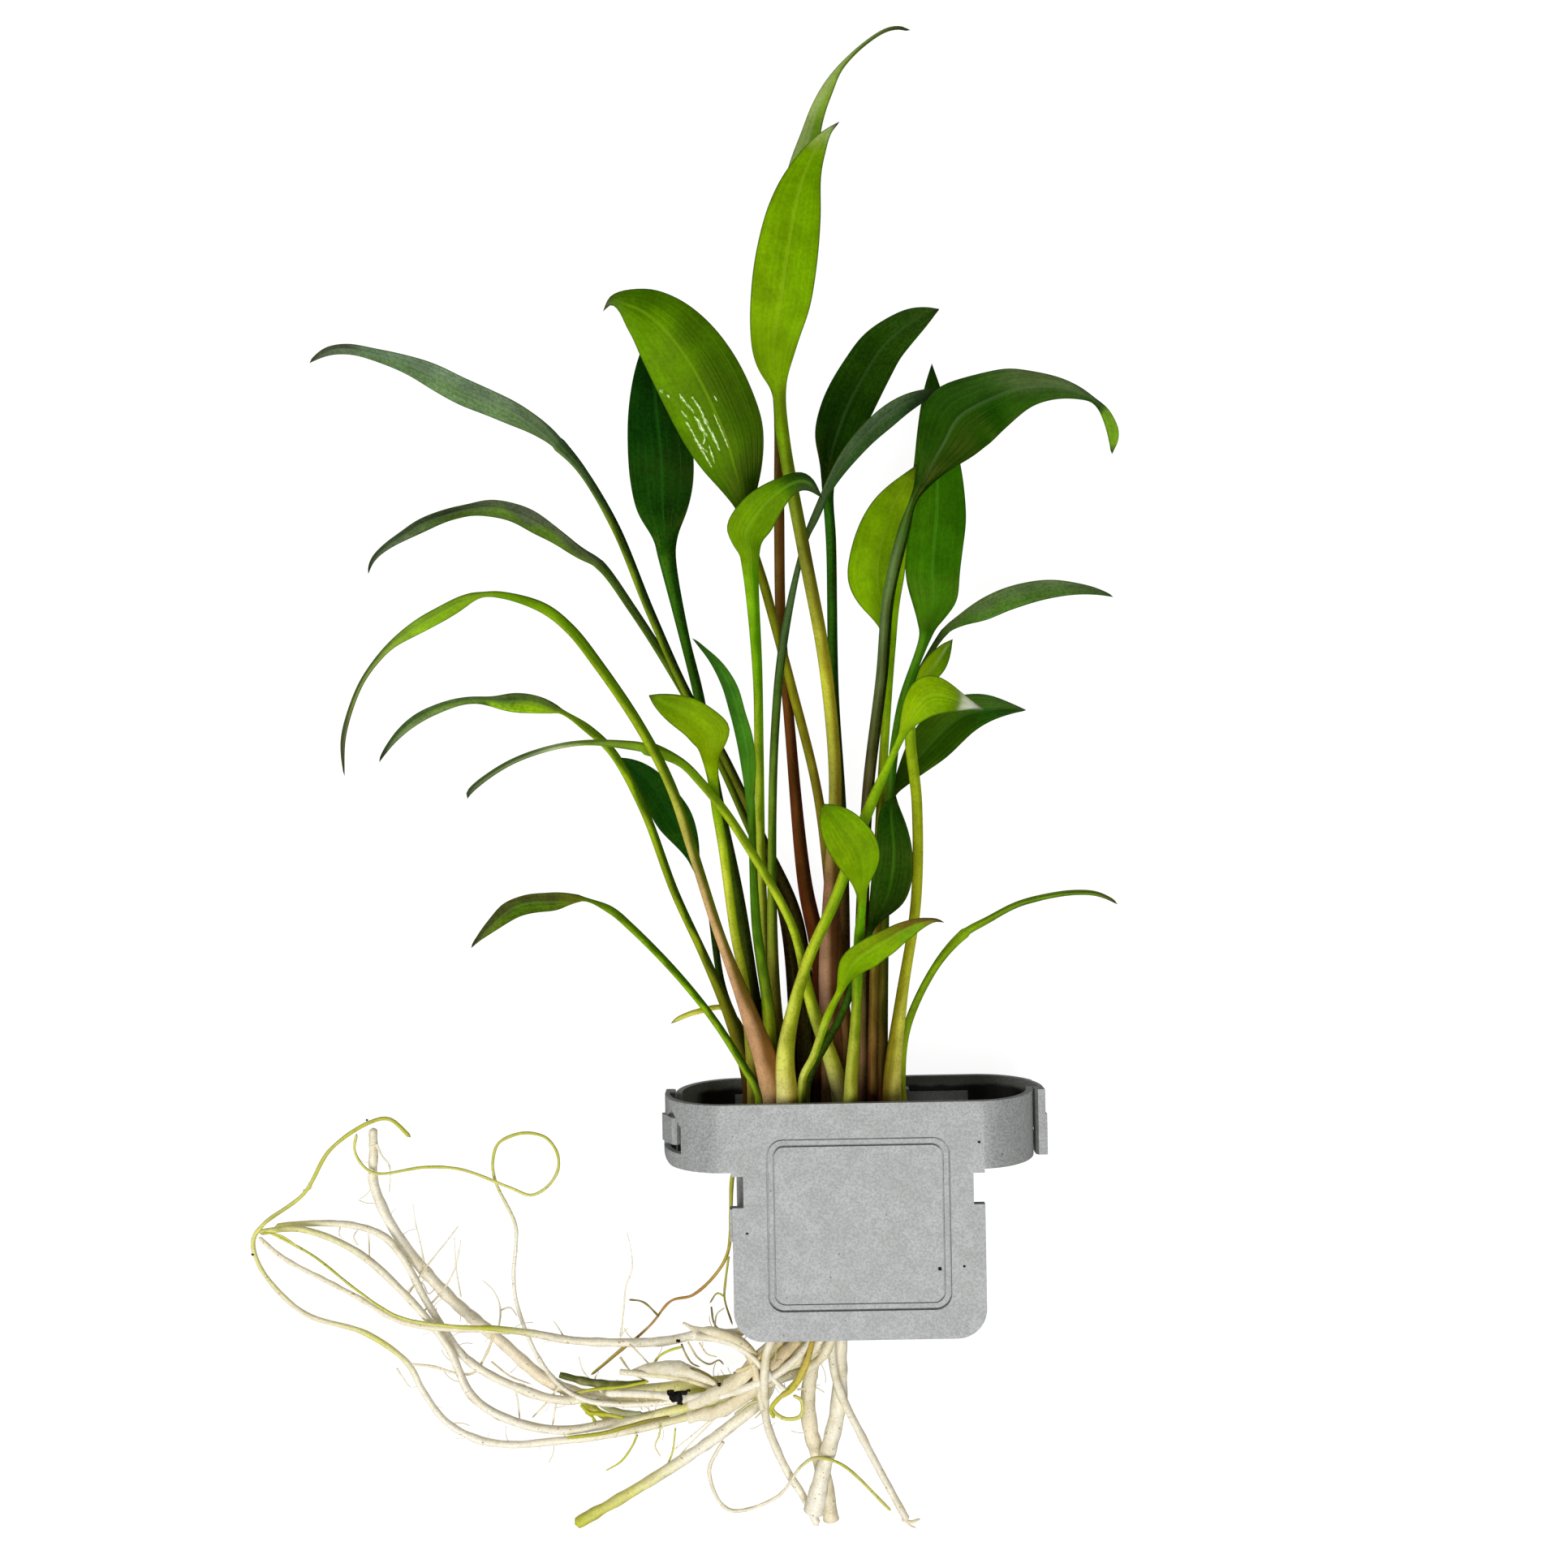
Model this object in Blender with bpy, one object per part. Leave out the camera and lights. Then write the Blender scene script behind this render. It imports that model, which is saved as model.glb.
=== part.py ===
"""A potted cryptocoryne, freed of its soil, lying on its back.

A water plant of about 28 leaves grows from one stock, which two clipped half shells of grey plastic hold.
The plant can't stand in its holder, because the roots come out beneath it, so it lies on the holder's back.
x runs along the rim, to the right as one looks at the front. y runs from the roots to the leaves. z is up.
The origin is the middle of the holder's flat back, which lies on the table at z = 0. All numbers are in mm.
"""
import math

import bmesh
import bpy
import numpy as np

MM = 0.001
GAP = 0.3                   # left between two pieces that touch

# The holder: two alike half shells, which meet at half its depth.
DEPTH = 24.0                # back face to front face
RIM_TOP = 21.9
RIM_UNDER = 9.4
RIM_WALL = 1.2
RIM_LONG_END = 36.8         # this end of a shell laps over the other shell's short end
RIM_SHORT_END = 34.4
LAP = 3.0                   # how far the long end reaches past the joint
PLATE_HALF = 23.4
PLATE_FOOT = -21.9
PLATE_THICK = 1.5
PLATE_CORNER = 5.5
SIDE_WALL = 0.9
NOTCH_WIDE = 2.1
NOTCH_TALL = 5.8
NOTCH_DEEP = 12.0
NOTCH_TOP = RIM_UNDER - 0.7
PANEL_HALF = (17.0, 16.0)   # the shallow square groove in the plate
PANEL_MIDDLE = -0.5
PANEL_CORNER = 3.0
GROOVE_WIDE = 1.5
GROOVE_DEEP = 0.35
WINDOW_TALL = 7.6           # the window in the long end, in which the other shell's tongue sits
WINDOW_MIDDLE = 16.4

# The stock, inside the holder. Leaves grow from its upper face, roots from its under face.
STOCK_TOP = 14.7
STOCK_FOOT = 4.0
STOCK_X = (-21.0, 12.0)
STOCK_Z = (2.4, 21.6)
STOCK_CORNER = 2.5

# Courses of leaves and roots are given as one sees them on the plane of the front face, from EYE straight
# above. true_place turns them into places, because what lies lower looks smaller and nearer the middle.
EYE = (-12.5, 81.0, 279.0)

# Each leaf: where its foot stands on the stock (x, z); width of the petiole at the foot and at the blade;
# how far the edges rise (+) or droop (-); the course of the petiole; then the blade, base to tip, with its
# width and its turn about the midrib in degrees (+ lifts the right-hand edge).
LEAVES = {
    "leaf_tall_front": (
        (-4, 11.5), (3, 2.4), 0.1,
        [(-4.5, 32.5, 11.5), (-5, 46, 13), (-4, 64, 15.5), (-3, 82, 17.5), (-4.5, 103, 20.5),
         (-8, 124, 24), (-11.5, 145, 28)],
        [(-12.2, 154, 29.5, 2.8, 0), (-13, 159.4, 30.5, 6.9, 0), (-12.6, 164.6, 31.5, 9.1, 0),
         (-11.6, 169.8, 32.5, 10.7, 0), (-10.4, 177.6, 33.5, 11.1, 0), (-8.8, 186.2, 34, 9.7, 0),
         (-7.4, 191.8, 33.5, 7.3, 0), (-6, 195.4, 33.5, 5.2, 0), (-4.2, 198.8, 32.5, 3.4, 0),
         (-2.2, 201.6, 31.5, 1.3, 0), (0, 203.4, 31, 0, 0)],
    ),
    "leaf_tall_back": (
        (-5.5, 7.5), (2.6, 2), -0.2,
        [(-6, 32.5, 7.5), (-6.5, 49, 8.5), (-9, 63, 9.5), (-11.5, 95.5, 11.5), (-12.5, 109, 12.5),
         (-12.5, 130, 15)],
        [(-12.2, 152.4, 17, 2.2, 15), (-12, 160.4, 17.5, 5.3, 16), (-10.8, 171, 18.5, 7.3, 17),
         (-9.6, 181.6, 19.5, 7.7, 18), (-8.2, 189.4, 20, 7.1, 19), (-7, 196, 20.5, 5.9, 20),
         (-5.6, 201.2, 21.5, 4.1, 21), (-4.2, 205.6, 22, 3.4, 22), (-2.2, 209.8, 22.5, 2.8, 24),
         (-0.2, 213, 22.5, 1.5, 25), (2.4, 215.8, 22.5, 0.9, 26), (5, 218, 22, 0.7, 27),
         (8.4, 220.2, 22, 0.7, 28), (11.2, 220.8, 21, 0.7, 29), (13.4, 220, 20, 0, 30)],
    ),
    "leaf_big_bright": (
        (-1.5, 9.5), (2.4, 1.8), -0.12,
        [(-2, 32.5, 9.5), (-3.5, 49, 10.8), (-4.5, 64, 12), (-6.5, 80.5, 13.5), (-11, 100, 15.7),
         (-15, 116, 19.5)],
        [(-18.8, 130.8, 27, 2.1, 0), (-19.4, 135, 28.5, 5.8, 1), (-20.6, 139.8, 30.5, 10.6, 2),
         (-22, 145, 32.5, 14, 3), (-24.4, 151, 34.5, 15.2, 4), (-27.4, 157.2, 36.5, 15, 5),
         (-30.8, 162.6, 38, 13.6, 5), (-34.4, 166.8, 39.5, 11.1, 6), (-38.2, 169.6, 39.5, 7.7, 7),
         (-40.2, 170.2, 39.5, 5.4, 8), (-42.8, 171.2, 38.5, 1.5, 9), (-44.4, 169, 38, 0, 10)],
    ),
    "leaf_dark_left": (
        (-17.5, 4.5), (2.2, 2), 0.1,
        [(-17, 28, 4.5), (-19, 41.5, 6.5), (-21.5, 61, 11), (-25, 80, 14.5), (-28, 98, 15),
         (-30.5, 109, 15)],
        [(-33.4, 123.8, 15, 3.5, 0), (-33.6, 127.2, 15, 4.8, 0), (-34, 131.6, 15.5, 9.4, 0),
         (-34, 137.2, 15.5, 12, 0), (-34.2, 143.6, 16, 12.4, 0), (-34.8, 150, 15.5, 10.9, 0),
         (-35.2, 156.4, 15, 8, 0), (-35.4, 161, 14, 4.9, 0), (-35.4, 166.2, 13, 0, 0)],
    ),
    "leaf_grey_arch_upper": (
        (-8.6, 6.2), (2.2, 1.7), 0.15,
        [(-9, 32.5, 6.2), (-10.5, 56, 6), (-16.5, 71, 6.5), (-23.5, 86.5, 8), (-30, 98, 10.5),
         (-36.5, 113, 14), (-43, 129.5, 18), (-49, 140, 21)],
        [(-52.8, 144.4, 22, 2.6, 50), (-55.8, 147.2, 22.5, 4, 51), (-60.6, 150.4, 23.5, 5.9, 52),
         (-65.4, 152.8, 23.5, 6.4, 53), (-70.8, 155.2, 23, 6.9, 54), (-76.2, 158, 22.5, 6.3, 55),
         (-81.2, 160.2, 21.5, 4.7, 57), (-86.4, 161.8, 21, 3.2, 58), (-91.2, 163, 20, 2.6, 59),
         (-94.8, 162.8, 19.5, 2.1, 60), (-97, 161.8, 18.5, 1.3, 61), (-98.8, 160.4, 18, 0, 62)],
    ),
    "leaf_grey_arch_lower": (
        (-10.5, 3.3), (2.2, 1.7), 0.15,
        [(-10.5, 32.5, 3.3), (-13, 58, 3.2), (-19.5, 74.5, 3.2), (-27, 91.5, 4), (-33.5, 103.5, 6),
         (-40, 114, 9)],
        [(-45.8, 122.2, 11, 2, 50), (-49.6, 124.6, 12, 3, 50), (-53.6, 127.8, 12.5, 4.4, 51),
         (-57.4, 130.4, 12.5, 5.3, 51), (-61.4, 132.2, 12, 5, 52), (-65.4, 133.2, 11.5, 4.5, 52),
         (-69.2, 133, 10.5, 3, 53), (-73, 132.2, 9.5, 3.2, 53), (-78, 130.6, 7.5, 3.4, 53),
         (-81.8, 128.4, 5, 2.5, 54), (-85.6, 126, 3, 1.5, 54), (-87.8, 123.8, 1.5, 0.9, 55),
         (-88.6, 121.2, 0.5, 0, 55)],
    ),
    "leaf_long_arch": (
        (-15.9, 19.5), (2.8, 1.8), 0.2,
        [(-15.5, 25, 19.5), (-19.5, 38.5, 24), (-25, 54, 30), (-29.5, 69, 36), (-33.5, 81.5, 40),
         (-39, 92.5, 43), (-46.5, 104, 45), (-51.5, 110.5, 46), (-56.5, 114.5, 46)],
        [(-64.2, 117, 46, 1.2, 55), (-68.6, 117, 45, 1.1, 55), (-71.4, 116, 44.5, 3, 55),
         (-74.8, 114.2, 44.5, 3.4, 55), (-78.2, 112.4, 43.5, 3.4, 55), (-81.8, 110.2, 42.5, 2.7, 55),
         (-84.6, 108.2, 41.5, 1.6, 55), (-87.4, 105.2, 40.5, 1.1, 55), (-90.2, 101.2, 39, 0.9, 55),
         (-92.4, 96, 37.5, 0.9, 55), (-93.8, 90.6, 36.5, 0.9, 55), (-93.6, 84, 35, 0, 55)],
    ),
    "leaf_twisted": (
        (-20, 12), (2.2, 1.6), 0.25,
        [(-19.5, 26, 12), (-23, 38, 13), (-27.5, 49, 15), (-33, 61.5, 18), (-38.5, 77, 21.5),
         (-44, 87.5, 24), (-48.5, 92, 25)],
        [(-53.6, 95.4, 25, 1.1, 30), (-55.8, 96.2, 25, 3, 33), (-59, 97, 25, 4.3, 35),
         (-62.8, 97.4, 24.5, 4.2, 38), (-65.8, 97.4, 24.5, 2.6, 41), (-68.4, 97.8, 24, 1.8, 44),
         (-71.8, 97.6, 23.5, 1.8, 46), (-75.6, 96.6, 22.5, 2.3, 49), (-79.4, 95, 21.5, 2.6, 52),
         (-82.6, 92.6, 20.5, 2.1, 55), (-85.2, 89.8, 20, 1.4, 57), (-87.2, 86.4, 19, 0, 60)],
    ),
    "leaf_edge_on": (
        (-2.5, 14.6), (2.2, 1.6), 0.2,
        [(-3, 23.5, 14.6), (-4.5, 29.5, 15.2), (-8, 40, 18), (-11.5, 55, 25.5), (-19.5, 70, 31.5),
         (-24, 77, 33.5), (-28, 82, 34), (-31.5, 85.5, 34)],
        [(-37.8, 88.2, 33, 2.6, 72), (-42.4, 89, 32.5, 2.3, 72), (-47.2, 89.4, 31.5, 1.7, 73),
         (-52, 89.2, 30.5, 1.7, 73), (-57.6, 88, 29.5, 1.8, 74), (-63, 86, 28, 1.8, 74),
         (-67.4, 83.4, 27, 1.8, 74), (-70.4, 81, 26.5, 1.9, 75), (-71, 79.4, 26, 0, 75)],
    ),
    "leaf_low_arch_left": (
        (-18.7, 19.5), (2.2, 1.4), 0.2,
        [(-18, 23.5, 19.5), (-20.5, 28.5, 20), (-26, 37.5, 22), (-33, 46.5, 26), (-41, 55, 30),
         (-45, 58.5, 31)],
        [(-50, 60.6, 32, 0.9, 45), (-53.2, 60.6, 32, 3.6, 45), (-56.6, 60.4, 31, 5.3, 45),
         (-60, 60.2, 30.5, 5.3, 45), (-62.8, 59.4, 30, 5, 45), (-65, 57.8, 29.5, 4.1, 45),
         (-67.2, 55.8, 29, 2.9, 45), (-69.2, 53.8, 28, 1.4, 45), (-70.8, 51.8, 27, 0, 45)],
    ),
    "leaf_small_light_left": (
        (-19, 15.5), (2.2, 1.7), 0.1,
        [(-19, 27.5, 15.5), (-20.5, 45, 21), (-22, 53.5, 24), (-24, 70, 28), (-25, 76.5, 29.5)],
        [(-25.6, 82.8, 32, 2.1, 0), (-26, 87.8, 35, 4.1, 0), (-25.4, 90.4, 36, 7.7, 0),
         (-27.2, 92.2, 37, 6.7, 0), (-29.4, 94, 37.5, 6.5, 0), (-31.8, 95.2, 38, 5.6, 0),
         (-33.8, 96.2, 38, 4.2, 0), (-35.8, 97.2, 37.5, 2.2, 0), (-37.2, 98, 37, 0, 0)],
    ),
    "leaf_narrow_dark": (
        (-15.5, 16), (2, 1.5), 0.2,
        [(-15.5, 26.5, 16), (-16, 39, 18), (-18, 55, 21)],
        [(-18.6, 74.8, 24, 1.5, 35), (-18.8, 79.2, 24.5, 2, 36), (-18.8, 85, 25, 3.5, 36),
         (-19.4, 90, 25, 4, 37), (-20.6, 94.6, 25.5, 3.7, 38), (-21.8, 99, 25.5, 3.6, 39),
         (-24.2, 103.4, 25, 2.4, 39), (-29, 108.4, 23, 0, 40)],
    ),
    "leaf_small_dark_left": (
        (-20, 8), (2, 1.4), 0.1,
        [(-19.5, 29, 8), (-24.5, 44, 8), (-27, 61.5, 8)],
        [(-29, 66, 8, 1.5, 0), (-29.6, 68.6, 8, 3.1, 0), (-31, 71.8, 8, 5.5, 0), (-32.8, 75, 8, 7.3, 0),
         (-34.8, 78.2, 7.5, 6.8, 0), (-37, 81.6, 7.5, 5.6, 0), (-39.2, 84, 7, 3.9, 0),
         (-41.2, 85.6, 6.5, 1.9, 0), (-43, 86.6, 6.5, 0, 0)],
    ),
    "leaf_curled_over": (
        (-15.5, 8), (2.2, 1.8), -0.1,
        [(-15.5, 26.5, 8), (-16.5, 49, 8.8), (-17, 68.5, 11.5), (-17, 85, 18), (-17, 101.5, 25.5)],
        [(-18, 121.4, 34.5, 3, 0), (-18.2, 125, 36, 4.2, 0), (-19, 127.2, 37.5, 7.1, 0),
         (-16.8, 130.8, 39, 7.3, 0), (-14.6, 133.4, 40.5, 6.1, 0), (-12.4, 135.2, 41, 4.7, 0),
         (-10.2, 136.6, 41.5, 3.6, 0), (-8.2, 137.2, 40.5, 3.4, 0), (-6.8, 136.8, 40, 2.7, 0),
         (-5.8, 135.6, 38.5, 1.5, 0), (-4.4, 133.8, 37, 0, 0)],
    ),
    "leaf_oblique": (
        (-14, 12), (2.2, 1.6), 0.2,
        [(-14, 26.5, 12), (-15, 43, 13), (-15, 64, 15), (-14, 90.5, 18), (-12, 108, 20)],
        [(-7.6, 126.4, 21.5, 1.1, -40), (-5.8, 130.4, 22, 1.7, -41), (-3.8, 135, 22.5, 2, -42),
         (-2, 138.2, 23.5, 2.9, -43), (0.8, 142.2, 25, 4, -44), (4.2, 146, 26, 4.7, -46),
         (8, 149.2, 26.5, 5, -47), (11.6, 151.4, 26, 4, -48), (15, 152.8, 25.5, 2.3, -49),
         (17.6, 153.6, 24.5, 0, -50)],
    ),
    "leaf_dark_upper_right": (
        (-2.5, 4.2), (2.2, 2), 0.2,
        [(-3, 32.5, 4.2), (-2, 53.5, 5.2), (-2, 76, 7), (-3, 98.5, 8), (-3, 125.5, 9)],
        [(-3.4, 135.2, 9.5, 2.3, 0), (-3, 140.4, 9.5, 4.1, 2), (-2, 144, 9.5, 8.2, 3),
         (-0.4, 148.4, 9.5, 9.8, 4), (1.6, 152.6, 8.5, 10.2, 6), (4.2, 157, 8, 9.7, 7),
         (7, 161.2, 6, 8.8, 9), (10, 164, 5, 7.6, 10), (13.2, 166.4, 3, 5.7, 12),
         (15.6, 167.6, 1.5, 3.2, 14), (17.8, 168.4, 0.5, 0, 15)],
    ),
    "leaf_arch_right": (
        (1.5, 13.5), (2.6, 2.2), -0.2,
        [(1, 26.5, 13.5), (1.5, 53.5, 14.5), (3, 79, 17), (6, 101, 23), (7.5, 115.5, 26.5),
         (10.5, 127.5, 30)],
        [(12.4, 133.2, 32, 1.4, 0), (14.6, 137.2, 33, 3.5, 1), (16.4, 140.6, 34.5, 7, 3),
         (18.6, 144.2, 35.5, 11.1, 4), (20.6, 148, 36.5, 13.7, 5), (24.4, 150.4, 37.5, 12.7, 7),
         (28.4, 152.2, 37.5, 10.5, 8), (32, 153.6, 38, 8.4, 9), (35.8, 154, 37.5, 6.1, 11),
         (40.2, 153.6, 37, 4.1, 12), (44.2, 152.2, 35.5, 2.1, 13), (46.6, 150.8, 34, 0.8, 15),
         (47.8, 149.4, 33.5, 2, 16), (49, 147, 31, 2.6, 17), (49.8, 144, 28.5, 2.6, 19),
         (49.2, 141, 26, 0, 20)],
    ),
    "leaf_light_behind": (
        (3.5, 17.5), (2.2, 1.8), -0.1,
        [(3, 26.5, 17.5), (4, 53.5, 17), (5.5, 78.5, 15.5), (7, 98, 15.5)],
        [(7.6, 107.6, 17, 2.5, 0), (7.2, 111, 18, 4.2, 0), (6, 114.8, 19, 8.1, 0),
         (5.2, 118.6, 19, 10.7, 0), (5.6, 122.4, 19.5, 10.7, 0), (6.8, 127.6, 19.5, 9.6, 0),
         (8.6, 132.2, 19, 7.5, 0), (10.6, 135.6, 18.5, 4.6, 0), (11.8, 137.6, 18, 2.3, 0),
         (13.2, 139.8, 17.5, 0, 0)],
    ),
    "leaf_dark_behind": (
        (5.5, 12), (2.2, 1.8), 0.1,
        [(4.5, 26, 12), (5.5, 53, 11), (7, 78.5, 11), (9.5, 95, 13)],
        [(14.2, 108.2, 15, 2.5, 0), (14.8, 111, 15.5, 4.8, 0), (15.8, 114.2, 16, 8.5, 0),
         (15.6, 119, 17, 10.2, 0), (16, 124.6, 17, 10.9, 0), (16.6, 130, 17, 11.1, 0),
         (16.8, 135, 17, 10.2, 0), (16.8, 139.8, 16.5, 8.8, 0), (16.6, 145.2, 16, 7.1, 0),
         (16.4, 150.2, 15.5, 5.1, 0), (16.2, 154.2, 14.5, 2.9, 0), (16.2, 158.4, 14, 0, 0)],
    ),
    "leaf_narrow_right": (
        (4.5, 7.5), (1.6, 1.1), 0.2,
        [(3.5, 26.5, 7.5), (5, 53, 7), (6.5, 78.5, 7), (10, 95, 8)],
        [(17.6, 108.6, 9.5, 1.5, -45), (20.6, 110.8, 10, 3, -46), (24.6, 112.8, 10.5, 5.7, -46),
         (28.8, 114.8, 11, 6.1, -47), (33.2, 116, 11, 5.8, -48), (37.8, 116.6, 10.5, 4.6, -48),
         (42.2, 116.4, 10, 3, -49), (45.8, 115.8, 9.5, 1.7, -49), (49, 114.6, 8.5, 0, -50)],
    ),
    "leaf_small_light_right": (
        (7, 18), (2.6, 2), 0.3,
        [(6.5, 26, 18), (8.5, 41, 18.5), (11.5, 59, 19), (12, 77, 20.5), (11, 90, 22.5)],
        [(12.2, 97.8, 25.5, 1.1, 0), (14.6, 101.2, 26.5, 3.9, 0), (16.4, 103.4, 26.5, 3.9, 0),
         (17.8, 105.6, 26, 2.4, 0), (19.2, 107.4, 26, 0, 0)],
    ),
    "leaf_whitish_tip": (
        (-12.4, 20.4), (2.6, 2), -0.15,
        [(-13, 23.5, 20.4), (-13, 32, 22.3), (-9, 47.5, 27.5), (-3.5, 59.5, 32), (3, 76, 36)],
        [(9.6, 90, 41, 1.5, 0), (10.6, 92.2, 41.5, 2.9, 2), (12.2, 94.8, 42.5, 5.3, 5),
         (13.8, 97, 43, 7.3, 7), (16.4, 97.4, 44, 6.8, 10), (18.8, 96.6, 43.5, 5.1, 12),
         (20.6, 95.8, 42.5, 3.3, 15), (22, 95.4, 42, 2, 18), (25, 94.2, 41, 0, 20)],
    ),
    "leaf_dark_right": (
        (2.5, 4.5), (2.2, 1.6), 0.25,
        [(1.5, 26.5, 4.5), (3.5, 53.5, 2.8), (5.5, 71, 1.6)],
        [(7.6, 78.8, 1, 1.3, 0), (9.6, 81.8, 1, 3.4, 1), (12, 85, 0.5, 6.3, 2), (14.8, 88.2, 0.5, 8.6, 4),
         (18, 91.4, 0.5, 9, 5), (21.2, 93.4, 0.5, 8, 6), (25, 94.4, 0.5, 5.9, 7),
         (28.2, 94.4, 0.5, 3.5, 9), (32.6, 94, 1, 0, 10)],
    ),
    "leaf_small_light_middle": (
        (-1, 20.5), (2.6, 1.9), 0.1,
        [(-1, 25, 20.5), (0, 36.5, 23.5), (0.5, 44.5, 25.5), (1, 53, 29)],
        [(1.6, 59, 34, 1.6, 0), (1.4, 62.6, 37, 3, 0), (1.4, 65.6, 39, 6.7, 0), (0.4, 69, 40.5, 8.5, 0),
         (-1.4, 71.8, 41.5, 8, 0), (-3.2, 74.4, 41.5, 6.2, 0), (-4.4, 76, 41, 3.7, 0),
         (-5.4, 77.4, 41, 0, 0)],
    ),
    "leaf_small_dark_middle": (
        (-9.5, 16.5), (1.8, 1.5), 0.15,
        [(-9.5, 24, 16.5), (-8, 28.5, 17.5), (-2.5, 38.5, 21), (1.5, 49, 22.5)],
        [(3, 53.6, 23, 1, 0), (4.2, 56.6, 23, 3.2, 0), (6.2, 59.8, 23.5, 6.6, 0), (7.2, 64, 23.5, 7.6, 0),
         (7.6, 68.2, 24, 6.9, 0), (7.4, 72.6, 24, 5.6, 0), (7.2, 76.6, 23.5, 3.5, 0),
         (8.2, 78.6, 23.5, 0, 0)],
    ),
    "leaf_brown_edge": (
        (-10, 20.5), (1.8, 1.5), 0.25,
        [(-10, 26.5, 20.5), (-8, 30.5, 22.5), (-5, 38.5, 25.5)],
        [(-2.8, 42.8, 28, 1.4, -15), (-1.8, 45.4, 29, 3, -17), (0, 48.2, 30.5, 5.8, -19),
         (3.2, 50.4, 32, 5.9, -21), (6.6, 52.4, 33, 5, -22), (9.8, 54.2, 34, 3.8, -24),
         (12.8, 55.2, 34, 2.2, -26), (14.6, 55.6, 33.5, 0.8, -28), (16.8, 55, 33.5, 0, -30)],
    ),
    "leaf_low_arch_right": (
        (9, 13.5), (2.2, 1.5), 0.2,
        [(8, 26, 13.5), (9.5, 36, 13.5), (15, 47, 13)],
        [(20.4, 53, 12, 3.1, -68), (24.8, 55.4, 12, 3.6, -69), (30.2, 58.2, 12, 3.4, -69),
         (35.6, 59.6, 11.5, 3.1, -70), (41, 60.2, 11, 2.3, -71), (45.2, 59.8, 10.5, 1.6, -71),
         (48.8, 57.8, 10, 0, -72)],
    ),
    "leaf_stub": (
        (-20.5, 9.8), (1.6, 1), 0,
        [(-20, 31, 9.8), (-21.5, 37, 10.2), (-24.5, 40, 10.5)],
        [(-29, 39.4, 10.5, 1.1, 0), (-31.2, 38.8, 10, 1, 0), (-33, 38, 9.5, 0.9, 0),
         (-34.2, 37.2, 9.5, 0, 0)],
    ),
}

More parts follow.
